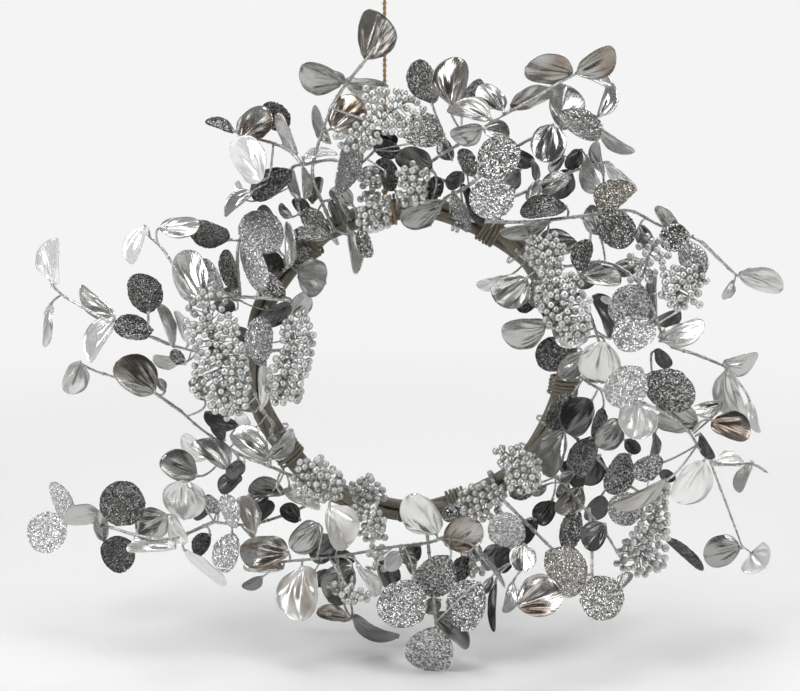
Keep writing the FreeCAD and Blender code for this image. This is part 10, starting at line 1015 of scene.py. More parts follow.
# Berry centres, x y z after x y z. A slash starts the next cluster.
BERRIES = {
"crown_left_berries": """
-3.8 -85.8 228.1 -27.1 -93.9 217.9 -25.4 -93.9 203.6 -2.8 -91.1 220 -55.3 -91.5 206.8
-21.1 -92.5 223.6 -8.1 -94.9 209 -23.2 -87.6 233.6 -33.8 -94 198.9 -25.7 -83 241.8
-11.8 -82.6 240.9 -20 -83.8 240.8 -55.3 -90.4 199.4 -33.3 -93.8 221.9 -5.8 -80.8 239.2
-16.6 -87.7 229.9 -28.7 -87.5 235 -5.3 -86 236 -47.5 -93.3 204.6 -27 -96.5 208.9
1.2 -87.6 225.8 -20.9 -93.9 210.6 4.3 -88.8 215.7 -9.5 -92.7 216.3 -59.4 -88 206.2
-33.5 -93.4 210.2 -38.2 -90.2 221.8 -47.4 -91.4 210.8 -39.4 -93.1 212.4 -15 -86.4 234.8
-44.3 -94.7 199.2 -3.6 -93.2 211.5 -29.8 -96.8 203.1 -36.2 -85.5 236.9 -9.1 -89.8 220.8
-15.4 -94.1 210.7 -29.1 -90.5 225.9 -31 -83.5 239.3 4.4 -84.5 232.5 -24.7 -89.8 229.1
-33.9 -89.8 230 0.2 -82.7 235.2 9.3 -84.2 227.4 -30.7 -95.9 214.8 -43.5 -91.4 215.3
5.6 -85.2 220.6 -38.5 -97.1 197.1 -43.1 -93 208 -20.7 -92 216.2 -8.9 -89.6 230.4
-10.2 -83.7 235.1 -12.3 -92.4 223.8 -15.6 -93.6 216.6 -39.5 -93.9 201.3 -50.9 -92.9 197.2
-35.7 -92.8 217 -35.9 -83 243.3 -36.1 -95.9 205.1
/ -28.2 -45.6 172 -40.9 -44 170.6 -35.1 -53.4 163.4 -27.4 -47.5 166.4 -31.7 -48.9 155.3
-40.4 -50.3 166.2 -34.4 -48.6 169.3 -36.6 -48.3 153 -31.1 -53.5 159.2 -38.9 -51.2 160.4
-26.9 -49.7 160.9 -33.4 -42.2 172.8 -27 -46.4 152.6 -30.6 -52.4 165.9
/ -39.1 -61.5 143.1 -36.5 -64.9 133.9 -33.7 -64.4 147.9 -21.4 -64.7 143.2 -40.9 -55.8 150.4
-28.6 -63.9 127 -24.2 -61.9 148.7 -26.8 -65 139 -42.5 -63.4 133 -32.4 -65.5 141.3
-28.3 -68.3 133 -18.2 -61.2 140.7 -20.4 -64.9 135.9 -20.4 -56.6 151.3 -21.4 -62.4 129.7
-28.4 -59.7 151.6 -32.2 -67.5 128.8 -37.2 -67.5 139.1 -28.6 -63.5 145.6 -34 -57.5 150
-41.1 -61.5 137.8 -31 -70 137.4 -19.1 -59.7 146.1 -36.5 -63.2 128.4 -24.6 -67 129.5
-19 -56.9 129.2 -23.2 -59.4 140.5 -41.1 -55.6 141.6 -38.1 -59.8 132.8 -23.6 -60 134.4
-32.7 -61.4 135.6 -24.2 -53.3 149 -18.8 -51.5 149.4 -32.8 -59.5 125.7
""",
"right_upper_berries": """
-4.6 -77.8 165 12.4 -72.2 170.2 -5.3 -74.6 150.1 -5.6 -73.2 170.9 -3.5 -75.9 157.6
1 -76.6 170.9 1.2 -66.4 180.9 -10.4 -71.3 173.7 -0.5 -79 161.6 2.7 -77.8 155.5
3.4 -69.4 177 9 -76 156.1 -5.3 -71.8 177.5 -9.3 -75.5 158.8 8.3 -72.8 173.9 9.6 -74 162
3.6 -74.1 151.8 -8.6 -73.3 165.8 6.5 -73.9 166.3 1.9 -76.5 165.6 11.9 -68.6 175.6
0.8 -74.5 176.5 6.2 -78.6 162.5 9.1 -72.4 152.1 0.2 -71.2 161.1 12.8 -64.6 172.3
-5.8 -68.9 152 -2 -66.5 174.1 3.2 -68.8 150.3 10.5 -69.5 165.2 10.6 -69.8 157.2
4.1 -71.6 157.1 7.1 -66.6 171.8 -2.4 -71.7 166.9
/ 104.6 -96.3 112.2 110 -97.3 105.1 109.6 -94.2 109.7 118.9 -93 109.2 96.6 -93.9 111.2
96.3 -93.2 116.3 93.8 -87.8 116.7 97.1 -90.2 121.4 112.2 -91.7 119.8 119.5 -92.2 101.3
121.4 -86.7 117.6 101.7 -89 123.9 109.4 -95.4 99.7 106.6 -94 122.5 92.4 -89.9 112.1
101.2 -96.6 107.5 100.1 -92.5 101.9 109.7 -88.6 125.4 109.1 -96.9 114.7 121.1 -91.4 114.6
115.6 -88.2 122.7 102.9 -94.2 118.7 115.7 -92.5 114.1 114.5 -85.5 127.4 104.7 -95.4 102.6
96.9 -85.7 125.4 96.1 -93.8 105.3 114 -92.5 100.4 117.8 -91.9 118.9 116.1 -94.7 105
100.1 -96.7 114.8 110.8 -86 119.8 96.5 -79.8 123.1 118 -86.8 101.1 122.8 -83.2 113.1
104 -87.2 98.2 97.8 -87.8 111.5 93.8 -85 109.2
/ 138.7 -117.8 74.2 114.1 -110.8 95.2 106.3 -109 94.3 127.3 -122 58.9 131.8 -122.1 48.8
105.6 -114.4 85.2 111.1 -107.8 100.4 106.7 -116.7 80.4 120.5 -121.6 49.5 122.5 -122.4 66.3
139.2 -119.1 53.7 120.6 -119.1 85.7 125.7 -117.5 76.9 129.3 -118.7 71.8 126.7 -106.8 98.6
130 -111.8 97.5 126.3 -115.8 92 119.7 -118 78.7 116.5 -120.7 58.6 121.5 -114.8 90.7
106.4 -119.1 65.3 109.8 -117.6 84.8 132.1 -116.7 81.1 126.2 -120.1 82.3 113.9 -119.3 73.5
135.2 -121.4 60 102.8 -118.3 75.6 131.1 -121.5 53.8 123.7 -121.8 53.6 114.9 -118.3 83.2
109.9 -112.1 89.6 110 -120.2 77.5 134.3 -114.3 85.7 140.2 -118.5 61.1 114.8 -114.1 86.5
104.2 -110.4 89.8 118.5 -123.7 63 122.6 -121.3 72.4 133.6 -118.8 65.7 134.7 -119.8 77.9
108.7 -122.9 62.4 119.8 -110.4 93.8 116.6 -105.9 100.5 116 -123.6 67.9 126.4 -109.8 94.3
122 -110.8 98.7 102.7 -108.7 100.1 106.7 -118.5 71.9 141.2 -115.4 79.9 139.3 -119.5 66.9
99.4 -114.9 82.1 127.1 -117.2 86.9 126.1 -122 46.5 110.9 -120.4 69 121.7 -121.8 58.7
133.7 -111.8 92.9 134.6 -117.7 51.4 100.1 -114 89 128.2 -120 64.7 134 -120.4 72.7
103.4 -113.1 72.1 120.6 -116.6 64 123.9 -110.8 84 113.5 -115.5 65.8 118.8 -112.6 80.5
119.5 -118.3 69.1 120.1 -110.3 88.2 131.2 -105.6 94.4 135.8 -109.6 82.5 112.2 -115.2 58.8
128 -109.5 88.3 124.8 -114.8 70.5 124.1 -117 47.4 109.8 -113 77.1 137.7 -113.7 61.1
112.5 -103.2 97 102.2 -103 100.1 139.7 -111.7 71.1 129.4 -111.3 83.2 119.6 -117.4 54.1
/ 194.2 -68.9 117.9 190.7 -66.5 121.5 207.2 -72.8 107.2 176.8 -73.9 107.2 190.9 -77.8 94.3
197.7 -74.2 112.3 190.9 -71.5 114 205.7 -68.5 116.2 191.7 -76.9 88.5 177.3 -74.4 87.7
200 -69 118.6 177.7 -74.1 101.5 197.7 -77.7 106.2 189 -73.2 109.2 201.5 -72.2 107.4
185 -73.9 90 182.6 -74.3 96.6 184.1 -69.4 114 196.4 -76 93.4 186.7 -75.1 103.2
192 -79.2 102.6 202.1 -76.3 102.6
/ 226.5 -95 86.5 219.3 -92.1 69.3 217.6 -85.3 99.2 202.6 -85.7 93.8 219.7 -93.4 85.6
222.5 -93 92.2 204.9 -93.6 77.5 231.6 -88.3 86.8 212.2 -95 85.9 209.9 -91.7 91.4
229.8 -91 80.1 223.7 -95.1 79.2 217.6 -89.8 94.8 203.4 -90.6 84 226.2 -92.2 73.6
200.9 -90.1 78.2 214.7 -96.6 77.5 213.1 -94 68.9 226.8 -85.2 100.2 203.2 -90.9 89.3
201.8 -84.5 99.5 230.7 -93.5 71.4 208.8 -89.2 96.3 207.3 -95.5 83.6 207.7 -94.9 71.7
227.4 -88.5 94.1 209.2 -96.5 77.3 233.1 -86 93.4 222.3 -89 98.3 219.4 -93.5 74.8
210.4 -84.4 99.5 216.3 -92.7 90.2 222.1 -85 103.3 236.4 -84.9 89 226.6 -89.8 89.1
212.6 -89.4 99.9 230.5 -83.6 89.8 221.5 -78.8 101.3 210.7 -89.6 82.5 214.7 -90.1 79
213.9 -88.3 87.8 216.7 -87.9 70.4
""",
"right_lower_berries": """
83.9 -77.5 -57.1 92.4 -81.1 -69.4 101.2 -75.7 -77.4 74.7 -72.6 -58 75.3 -79.8 -67.3
87.7 -79 -64.1 82.5 -79 -62.1 86.7 -83.2 -72.8 99.1 -79.4 -85.8 93.9 -79.6 -78.6
80.4 -79.8 -73.2 91.8 -75.3 -57.5 84.3 -79.8 -81 76.2 -75.7 -62.1 101.1 -75.2 -65.6
96.5 -78 -66.9 103.4 -77.2 -82 83.3 -71.8 -55.6 105.1 -74.4 -71.7 89.7 -78.9 -82.3
96.5 -80 -73.1 105.6 -71.5 -66.9 94.1 -78.5 -61.9 88.1 -73.4 -53.6 80.7 -80.9 -66.8
79.2 -82 -78.6 97.7 -73.4 -60.4 70.2 -69.5 -58.3 94 -77.3 -86.4 80.2 -74.1 -79.8
88.4 -73.2 -64.4 75.7 -65.1 -56.7 92.5 -76.7 -73.8 74.3 -72.1 -67.2
/ 88.8 -101.6 -82.1 96.5 -97.5 -61 80.8 -100.8 -70.5 101 -102.8 -77.4 81 -94.8 -65.9
92.8 -105.1 -76.2 98.3 -103.5 -69.9 103 -97.3 -70.7 81 -102.1 -79.4 86 -101.4 -68.8
91.4 -99.7 -64.5 95.3 -103.8 -81.2 92.1 -100.9 -69.9 88.8 -102.3 -74.2 99.6 -100 -65.3
91.3 -95.5 -60.8 84.9 -96 -62.4 104.3 -98 -75.9 83.4 -103.3 -74.3 80.3 -98 -75.9
99.8 -99 -81.5 99.6 -91.4 -66 82.4 -95.9 -80.8 91.2 -98.3 -78.5 97.7 -97 -73.2
78.2 -89.1 -64.9
/ 185.7 -82.4 -155.4 178.1 -83 -148.1 200.8 -63.5 -92 195 -82.9 -161.1 183 -80.9 -138.7
209.7 -83.3 -153 205.6 -77.5 -115 206.1 -80 -136.4 205 -69.5 -103.6 212.7 -76.3 -118
213.5 -63.4 -90.6 198 -84 -143.5 199.3 -76.2 -113.3 204.7 -82 -157.6 193.6 -79.2 -123.7
197.5 -79.8 -135.6 187.6 -81.5 -148 199.8 -68 -99.5 211.2 -81 -147.5 208 -64.4 -96.5
202.1 -76.9 -120.5 195.1 -82.9 -151.5 199.1 -79.9 -130.2 173.8 -80.6 -142.2 180 -84 -156
198.3 -70.6 -108.2 192.1 -82.6 -137.2 189.6 -80.2 -128.2 202.2 -83.9 -140 205.5 -81.7 -145.4
193.5 -74.6 -113.9 213.2 -72.7 -112.9 204.9 -81.5 -129.9 171.7 -78.8 -153 212.3 -76.9 -125.5
211.7 -79.9 -139.4 190.7 -78.5 -118.2 206.2 -71.2 -108.7 176.6 -80 -156.8 214.2 -63.7 -96.2
211.2 -73 -106.8 210.4 -80.1 -129.4 187.7 -82.7 -141.6 184.5 -82.5 -132.8 179.6 -79.8 -133.7
198.7 -83.2 -156.2 203.9 -84 -151.2 182.6 -80.6 -144.4 211.9 -66.8 -104 187.9 -77.2 -123.1
193.6 -82.5 -131.9 207.4 -78.9 -120.5 200.1 -81 -123.8 188.7 -81.2 -161.7 211.7 -68.2 -98.5
190.7 -85 -157.3 184.1 -79.7 -127.2 206.5 -64.4 -90.6 177.6 -82.2 -138.5 203.6 -75.8 -143.6
199.5 -71.5 -117.8 175.1 -75.9 -146.1 193.7 -73.9 -127.6 198.4 -62.5 -97 203.3 -68.5 -114.8
201.9 -76.6 -152.9 187.8 -77.8 -133.7 205.4 -70.9 -119.4 202.4 -73.9 -126.1
208.5 -72.1 -126.5 198.8 -77.9 -158.2 205.9 -76.5 -158.9 210.8 -70.4 -120.6 214 -75.2 -132.3
180.1 -75.1 -140.9 196.9 -77.5 -143.2 204.5 -61.6 -100.3 196.1 -77.7 -150.6
177.4 -75.8 -151.7 197.1 -63 -103.8 178.4 -74.5 -135.7 212.3 -58.3 -95.5
""",
"bottom_berries": """
-28.8 -55.6 -107.3 -42.6 -53.8 -89.7 -34.8 -59.5 -101.6 -33.1 -55.4 -87.4 -48.3 -55.4 -96.9
-28.8 -57.2 -97.4 -23.7 -53.3 -97.3 -40.2 -57.8 -99.1 -39.8 -59.9 -104.7 -48.9 -52 -92.6
-21.8 -52.6 -104.3 -33 -59.1 -93.5 -38.1 -56.6 -91.4 -44.7 -56 -104.7 -27.7 -54 -92
-34.7 -49.6 -86.2 -43.1 -57.4 -94.2 -28 -59.6 -102.6 -34.9 -57.4 -107 -40 -47.3 -89.7
-49.8 -47 -97.6 -33.1 -54.1 -99.2 -46.1 -50.4 -99.6 -46 -50.5 -105.7 -40.6 -53.3 -107.2
/ -46.7 -73.7 -122.9 -38.4 -79.9 -125.7 -26.2 -72.5 -111 -33.9 -77.4 -117 -23.8 -75.5 -124.5
-46 -76.2 -115.8 -41.9 -71.2 -109.5 -31.7 -75.7 -110.1 -38.5 -77.5 -112.8 -48 -70.5 -112.9
-30.4 -78.5 -127.6 -26.9 -74.8 -131 -46.8 -67.2 -107.9 -28.2 -74 -116.4 -31.2 -71.2 -106.9
-36.5 -69.2 -106.2 -51 -70.3 -119.3 -38.7 -76.7 -120.7 -37.3 -74.6 -133 -36.8 -71.9 -111
-22.5 -73.8 -116.9 -52.8 -68 -108.8 -33.1 -78.3 -122.8 -28.1 -77.3 -121 -43.1 -76.9 -127.3
-21.6 -74.2 -131.8 -30 -65.9 -106.6 -32 -77.5 -132.8 -23.4 -68.5 -124.2 -49.2 -64.6 -112.5
-42.6 -71.1 -116.8 -27.6 -70.6 -121
/ -24.2 -56.8 -146.2 -32.3 -53.6 -146.8 -29 -66.2 -157.8 -36 -61.4 -164.2 -34.6 -59.2 -151.7
-30.2 -62.6 -162.7 -22.4 -61.3 -163.8 -24.6 -60.2 -150.6 -30.2 -62.8 -151.7
-24.5 -64.9 -152.8
/ -63.6 -84.4 -169.2 -49.5 -87.1 -170 -41.8 -89.1 -180 -62.2 -84.6 -176.3 -47.4 -91.1 -175.7
-57.1 -90.7 -175.8 -56.4 -86.5 -168.6 -51.8 -92 -181.2 -41.5 -88.8 -173.1 -34.9 -87.3 -176.8
-55.2 -87.6 -181 -47 -89.7 -182.3 -36.5 -86.1 -182.4 -52.8 -90.6 -172 -67.7 -80.6 -171.8
/ 65.3 -76.8 -103.3 53.9 -77.3 -98.5 71.5 -69.6 -94.7 43.8 -70.9 -110.2 59.8 -74.9 -115.5
44.8 -69.9 -100 43.9 -75 -106.1 57 -78 -109.6 69.4 -75.2 -100.1 53.4 -71.9 -94.3
73.6 -72.3 -102.9 52.1 -76.5 -113.1 72.3 -72.1 -108.8 65.7 -74.8 -113.2 58.9 -74.7 -94.7
45.9 -69 -93.7 59.4 -75.6 -100.1 55.9 -70.1 -89.6 64.2 -70 -90.8 62.1 -76.2 -108
50.7 -73.6 -103 65.8 -74.9 -95.6 49.8 -77 -108 75.7 -68.7 -98.3 48.3 -75.5 -97.6
55.2 -78.7 -103.9 50.7 -68.9 -89.4 75.2 -65.5 -93.9 61.2 -67.3 -87.4 41.8 -66.5 -96.3
56.1 -71.1 -101.2 63.7 -70.1 -100.1 46.7 -62.8 -94.3 69.2 -65.8 -90.9 41.6 -65.7 -102.8
60.2 -62.1 -89.3 73.9 -68.2 -112.7 57.3 -72.4 -107.9 52.6 -71 -115.8 52.6 -63.8 -92
/ 51.2 -57.8 -161.5 52.3 -60.7 -170.1 59.9 -64.3 -162.8 60.3 -60.5 -167.9 54 -65.6 -163.4
""",
"left_lower_berries": """
-77.3 -78.7 -93.5 -70.3 -72.2 -68.4 -92.8 -73.7 -72.5 -78 -81.6 -83.1 -89.4 -74.6 -78
-65.4 -75.5 -73.8 -85.2 -79.1 -77 -72.7 -74.9 -72.9 -58.5 -76.8 -88.4 -82.9 -80.6 -91
-71.5 -79.8 -85 -74.2 -79.8 -75.7 -87.5 -72.6 -71 -92.6 -76.8 -84.2 -87.6 -78.8 -87.2
-77.4 -73.2 -65.1 -64.7 -79.4 -80.8 -68.5 -79.2 -76.6 -69 -81.7 -93.7 -96.8 -73 -87.8
-59.5 -77.3 -82.6 -63.1 -79.3 -88.9 -96.6 -73.1 -80.3 -77 -78.4 -88 -59.6 -75.5 -75.3
-86.1 -68.9 -66.9 -74.4 -68.6 -63.9 -84.5 -80.5 -96.7 -80.8 -76.2 -77.3 -92.2 -76.4 -92.3
-58.6 -74.2 -96.1 -62.5 -79.4 -95.6 -81.3 -74.2 -68.7 -77.8 -77.2 -72.2 -56.6 -72.7 -84
-72.8 -79.1 -97.6 -83.7 -79.1 -83.3 -91.6 -71.6 -67.2 -79.2 -67.8 -70.1 -64.6 -67.7 -73.9
-71 -74.4 -91.1 -92.4 -66.8 -73.3 -71.1 -72.9 -80.3 -77.3 -74.5 -99.7 -59.2 -69.7 -79.4
""",
"left_upper_berries": """
-157.6 -82.5 35.8 -164.7 -88.5 -6.7 -160.8 -89.6 1.9 -166 -75.4 51.2 -168.9 -87.4 22.5
-167.1 -81.5 43.6 -173 -88.4 -5.5 -160.6 -87.1 25 -145.5 -89 -7.2 -168.6 -76.7 55.9
-180.5 -69.9 63.2 -145.5 -81.6 43.8 -162.6 -69.7 73.8 -144.7 -89.8 1 -154 -89.3 -1.7
-157 -81.5 43 -163.3 -75.8 57.2 -155.4 -88 21.4 -131.6 -86.7 8 -148.2 -75.6 51.3
-157 -85.9 12.4 -133.5 -86.3 16.6 -147.1 -81.6 33.6 -176.2 -86.5 6.5 -176.4 -78.9 43.3
-139.3 -87 3 -157.8 -82 29.6 -150.4 -77.5 45.7 -162.7 -65.5 78 -165.7 -69.9 66.4
-155.4 -78.9 49.4 -145.3 -86.8 13.7 -142.2 -82 39 -170.1 -82.5 29.4 -163.7 -81.2 36.1
-136.7 -85.1 26.3 -184.9 -76.3 48.4 -134.4 -89.5 -3 -172.4 -87.6 2.5 -170 -88.9 15.4
-152 -87.3 4.7 -177.2 -69.2 67.5 -151.9 -90.8 -19 -161.8 -80 49.7 -164.7 -83.4 22.1
-153.8 -77.1 56.6 -142.8 -88 -14.3 -140.7 -78 44.2 -142 -82.9 29.8 -171.4 -77.2 47.8
-135 -87.3 -8.9 -151.6 -89.4 -8.2 -137.4 -86.1 20.3 -176.2 -76.1 51.3 -151 -88.8 15.2
-165 -86.7 17.8 -153.7 -72.1 63 -163.1 -87.4 10.7 -178.1 -80.1 38.2 -155.7 -90.3 -13.2
-160.5 -72 64.1 -143.6 -74 53.9 -144.2 -84.2 18.9 -155.8 -66.5 73.8 -167.9 -90.2 6.7
-149.9 -84.4 29.7 -151.3 -69.4 68.3 -182.3 -79.1 44.4 -167 -72.8 60.7 -137.3 -86.2 9.3
-175.2 -72.4 58.4 -176.8 -89.1 -0.2 -148.2 -74.7 58.2 -137.4 -83.3 35.5 -182.3 -76.2 54
-139.4 -89.9 -10 -144.4 -85.3 24.3 -171.2 -82.7 38.1 -140 -87.9 -19.9 -149 -88.5 -14.2
-149.7 -84 21.2 -160.7 -61.9 81.8 -155.3 -86.2 26.6 -171.5 -72.3 66.6 -152.9 -80.5 40
-175.2 -87.1 12.3 -169.2 -67 75.4 -158.1 -88.4 6.9 -175.2 -83.8 18.3 -140.2 -88.6 -3.5
-166.5 -87.6 -0.3 -152.9 -81.9 33.5 -134.6 -90.1 -13.8 -172.6 -67.6 71 -173.2 -85.2 26.2
-161.4 -90.3 -12.7 -145.7 -87.1 7.6 -165.8 -76.9 45.8 -164.8 -83.7 28.9 -146.1 -92.2 -18.8
-138.4 -88.2 14.8 -159.6 -89.3 -7.8 -158.9 -89.7 -17.8 -136.9 -80.6 30.7 -149.8 -89.1 -24.4
-142.2 -75.4 48.8 -132.7 -85.8 0.9 -134 -82.2 22.3 -174.2 -83.5 33 -162 -91.7 -2.9
-162.1 -74.8 41.1 -162.9 -84.1 -15.2 -154 -78.7 27 -141.8 -77.9 24.2 -168.5 -84.3 -6.5
-150.1 -85.4 -4.7 -177 -66.7 58.1 -142.8 -82.1 4.2 -159.2 -73.6 48.7 -147.8 -82.1 11.6
-174.6 -71.7 47.1 -157.3 -76.5 39.3 -146 -76.4 32.6 -167.4 -69.6 54.6 -170.9 -82.7 6.9
/ -91.2 -68.2 47.4 -101.3 -76.1 16.1 -106.6 -77.9 -3.8 -104.6 -76 23.2 -104.3 -71.6 36.7
-96.1 -79.1 6.4 -103.1 -80.3 12.2 -92.2 -60.3 55.6 -80.5 -69.2 33.5 -86.1 -79.1 9.9
-90.2 -77.4 25.9 -100.7 -74.1 31.6 -90.4 -78.3 13.2 -108.5 -77.6 6 -115.2 -78.5 8
-113.5 -77.3 -9.6 -110.8 -78.1 -14.1 -85.6 -66.6 41.4 -83 -63.9 46.8 -117 -76.9 -3.5
-104.5 -78.2 2.3 -86.4 -72.3 37.8 -101.1 -81.8 -4.3 -91.1 -63.1 49.2 -98.2 -64.7 53.8
-111.3 -79.1 13.8 -96 -77.8 0.3 -95.2 -76.7 16.5 -92.9 -80.2 -11.8 -89.8 -81.1 -3.9
-90.1 -75.7 20.8 -109 -78.2 21 -89.7 -73 29.5 -92.8 -70.7 34.8 -83.2 -74.7 19.7
-100.1 -68.1 46.7 -104.3 -77.8 -14.3 -91.9 -68.2 41.8 -100.5 -70.4 41 -110.4 -80.8 1.6
-90 -80.2 2.2 -95.9 -74.2 23.9 -97.5 -80.8 -9.3 -95.2 -75.1 30.6 -86.5 -60.7 57.7
-104.4 -73.1 27.7 -79.7 -69.7 40.6 -81.2 -72.7 26.3 -84 -75.8 14.3 -84.9 -71.3 31.5
-102.9 -81.1 -9.6 -97.2 -79.4 12.2 -102.3 -63.6 49.7 -85.4 -61.2 51.6 -85.1 -76.1 28
-108.3 -75.3 16 -118.4 -77.2 1.8 -86.5 -79 18 -95.8 -81.8 -3.9 -110.9 -80.9 -5.8
-89.5 -73.7 6.3 -102.7 -73.2 0.6 -97.6 -64.2 38.6 -109 -74.3 0.1 -109.9 -70.9 20.7
-103.4 -70.8 19.2 -103.8 -72.7 6.7 -100.5 -69.8 25.8 -102.7 -66.2 35.6 -82.7 -62.9 37.8
-96.1 -63.5 46 -98.3 -58.4 49.1 -107.1 -75.7 -9.5 -89.5 -68.4 25.6 -113.2 -72.2 13.4
-104.6 -62.4 40.8 -91.9 -74.5 -10.5 -98.3 -73.4 -12 -91.7 -73.8 0.1 -96.6 -66.9 33.3
""",
}

# Places round the ring in degrees, from +X towards +Z.
WRAPS = {
    "cord_wrap_upper_left": 130.8,
    "cord_wrap_upper_right": 59.7,
    "cord_wrap_right": -9.1,
    "cord_wrap_lower_left": 216.7,
    "cord_wrap_bottom": 288.0,
}
HITCH_ANGLE = 98.5


def numbers(text, columns):
    return np.array(text.split(), float).reshape(-1, columns)


# ------------------------------------------------------------------ mesh tools
class Build:
    """Collects the parts of one object in millimetres, with two vectors per vertex:
    st (place on the part) and look (painted light and shade, painted brown
    reflection and a random share)."""

    def __init__(self):
        self.verts, self.faces, self.st, self.look = [], [], [], []
        self.count = 0

    def add(self, verts, faces, st=None, look=(0, 0, 0)):
        verts = np.asarray(verts, float)
        self.verts.append(verts)
        self.faces += [tuple(int(i) + self.count for i in face) for face in faces]
        self.st.append(np.zeros((len(verts), 3)) if st is None else st)
        self.look.append(np.broadcast_to(np.asarray(look, float), (len(verts), 3)))
        self.count += len(verts)

    def place(self, name, body, slot, *nodes):
        """Makes the smooth-shaded object, and gives it its body, slot and replaced nodes."""
        mesh = bpy.data.meshes.new(name)
        mesh.from_pydata((np.vstack(self.verts) * MM).tolist(), [], self.faces)
        for key, rows in (("st", self.st), ("look", self.look)):
            attribute = mesh.attributes.new(key, "FLOAT_VECTOR", "POINT")
            attribute.data.foreach_set("vector", np.vstack(rows).astype(np.float32).ravel())
        mesh.validate()
        mesh.update()
        mesh.polygons.foreach_set("use_smooth", [True] * len(mesh.polygons))
        ob = bpy.data.objects.new(name, mesh)
        scene.collection.objects.link(ob)
        mesh.materials.append(MATERIALS[slot])
        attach(ob, body)
        if nodes:
            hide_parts(*nodes)


def seeded(label, offset=0):
    return np.random.RandomState(sum(ord(c) for c in label) + offset)


def unit(v):
    v = np.asarray(v, float)
    return v / (np.linalg.norm(v, axis=-1, keepdims=True) + 1e-12)


def run_length(path):
    return np.concatenate([[0], np.cumsum(np.linalg.norm(np.diff(path, axis=0), axis=1))])


def smooth_path(points, step):
    """Catmull-Rom through the points, resampled evenly."""
    p = np.asarray(points, float)
    q = np.vstack([2 * p[0] - p[1], p, 2 * p[-1] - p[-2]])
    t = np.linspace(0, 1, 9)[:-1, None]
    fine = []
    for i in range(1, len(q) - 2):
        a, b, c, d = q[i - 1 : i + 3]
        square = (2 * a - 5 * b + 4 * c - d) * t**2
        fine.append(0.5 * (2 * b + (c - a) * t + square + (3 * b - a - 3 * c + d) * t**3))
    fine = np.vstack(fine + [p[-1:]])
    length = run_length(fine)
    stations = np.linspace(0, length[-1], max(3, int(round(length[-1] / step)) + 1))
    return np.stack([np.interp(stations, length, fine[:, k]) for k in range(3)], 1)


def frames(path, closed=False):
    """Direction and two sideways vectors at each point, carried along without twist."""
    if closed:
        along = unit(np.roll(path, -1, 0) - np.roll(path, 1, 0))
    else:
        along = unit(np.gradient(path, axis=0))
    steep = abs(along[0][1]) >= 0.9
    side = unit(np.cross(np.array([1.0, 0.0, 0.0]) if steep else BACK, along[0]))
    sides = [side]
    for i in range(1, len(path)):
        side = unit(side - along[i] * (side @ along[i]))
        sides.append(side)
    sides = np.array(sides)
    return along, sides, np.cross(along, sides)


def tube(build, path, radius, sides=8, closed=False, look=(0, 0, 0), ridge=None):
    """radius: one number, or one per point. ridge(length, angle) gives an extra height."""
    path = np.asarray(path, float)
    count = len(path)
    _, side, up = frames(path, closed)
    radii = np.broadcast_to(np.asarray(radius, float), (count,))
    angle = np.linspace(0, TURN, sides, endpoint=False)
    length = run_length(path)
    verts, st = [], []
    for i in range(count):
        r = radii[i] * np.ones(sides)
        if ridge is not None:
            r = r + ridge(length[i], angle)
        across = side[i] * (np.cos(angle) * r)[:, None]
        verts.append(path[i] + across + up[i] * (np.sin(angle) * r)[:, None])
        st.append(np.stack([np.full(sides, length[i]), angle, np.zeros(sides)], 1))
    faces = []
    for i in range(count if closed else count - 1):
        j = (i + 1) % count
        for k in range(sides):
            m = (k + 1) % sides
            faces.append((i * sides + k, i * sides + m, j * sides + m, j * sides + k))
    if not closed:
        faces.append(tuple(range(sides))[::-1])
        faces.append(tuple((count - 1) * sides + k for k in range(sides)))
    build.add(np.vstack(verts), faces, np.vstack(st), look)


def icosphere(level):
    g = (1 + 5**0.5) / 2
    corners = (
        (-1, g, 0), (1, g, 0), (-1, -g, 0), (1, -g, 0), (0, -1, g), (0, 1, g),
        (0, -1, -g), (0, 1, -g), (g, 0, -1), (g, 0, 1), (-g, 0, -1), (-g, 0, 1),
    )
    faces = [
        (0, 11, 5), (0, 5, 1), (0, 1, 7), (0, 7, 10), (0, 10, 11), (1, 5, 9), (5, 11, 4),
        (11, 10, 2), (10, 7, 6), (7, 1, 8), (3, 9, 4), (3, 4, 2), (3, 2, 6), (3, 6, 8),
        (3, 8, 9), (4, 9, 5), (2, 4, 11), (6, 2, 10), (8, 6, 7), (9, 8, 1),
    ]
    verts = [unit(c) for c in corners]
    for _ in range(level):
        middle, finer = {}, []
        for a, b, c in faces:
            m = []
            for p, q in ((a, b), (b, c), (c, a)):
                key = (min(p, q), max(p, q))
                if key not in middle:
                    middle[key] = len(verts)
                    verts.append(unit(verts[p] + verts[q]))
                m.append(middle[key])
            finer += [(a, m[0], m[2]), (b, m[1], m[0]), (c, m[2], m[1]), tuple(m)]
        faces = finer
    return np.array(verts), faces


# ------------------------------------------------------------------ leaves
# Leaf outline: share of the length, share of the half width.
OUTLINE = np.array([
    (0, 0.07), (0.015, 0.17), (0.04, 0.31), (0.09, 0.49), (0.18, 0.75), (0.30, 0.92),
    (0.44, 0.995), (0.58, 1.0), (0.72, 0.93), (0.84, 0.76), (0.92, 0.56), (0.97, 0.35),
    (1.0, 0.05),
])
LEAF_STATIONS = 34
# Moulded folds: angle from the midrib, angular width, height.
FOLDS = (
    (-0.62, 0.10, 0.7), (-0.30, 0.085, 1.0), (0.0, 0.06, -0.75), (0.30, 0.085, 1.0),
    (0.62, 0.10, 0.7),
)


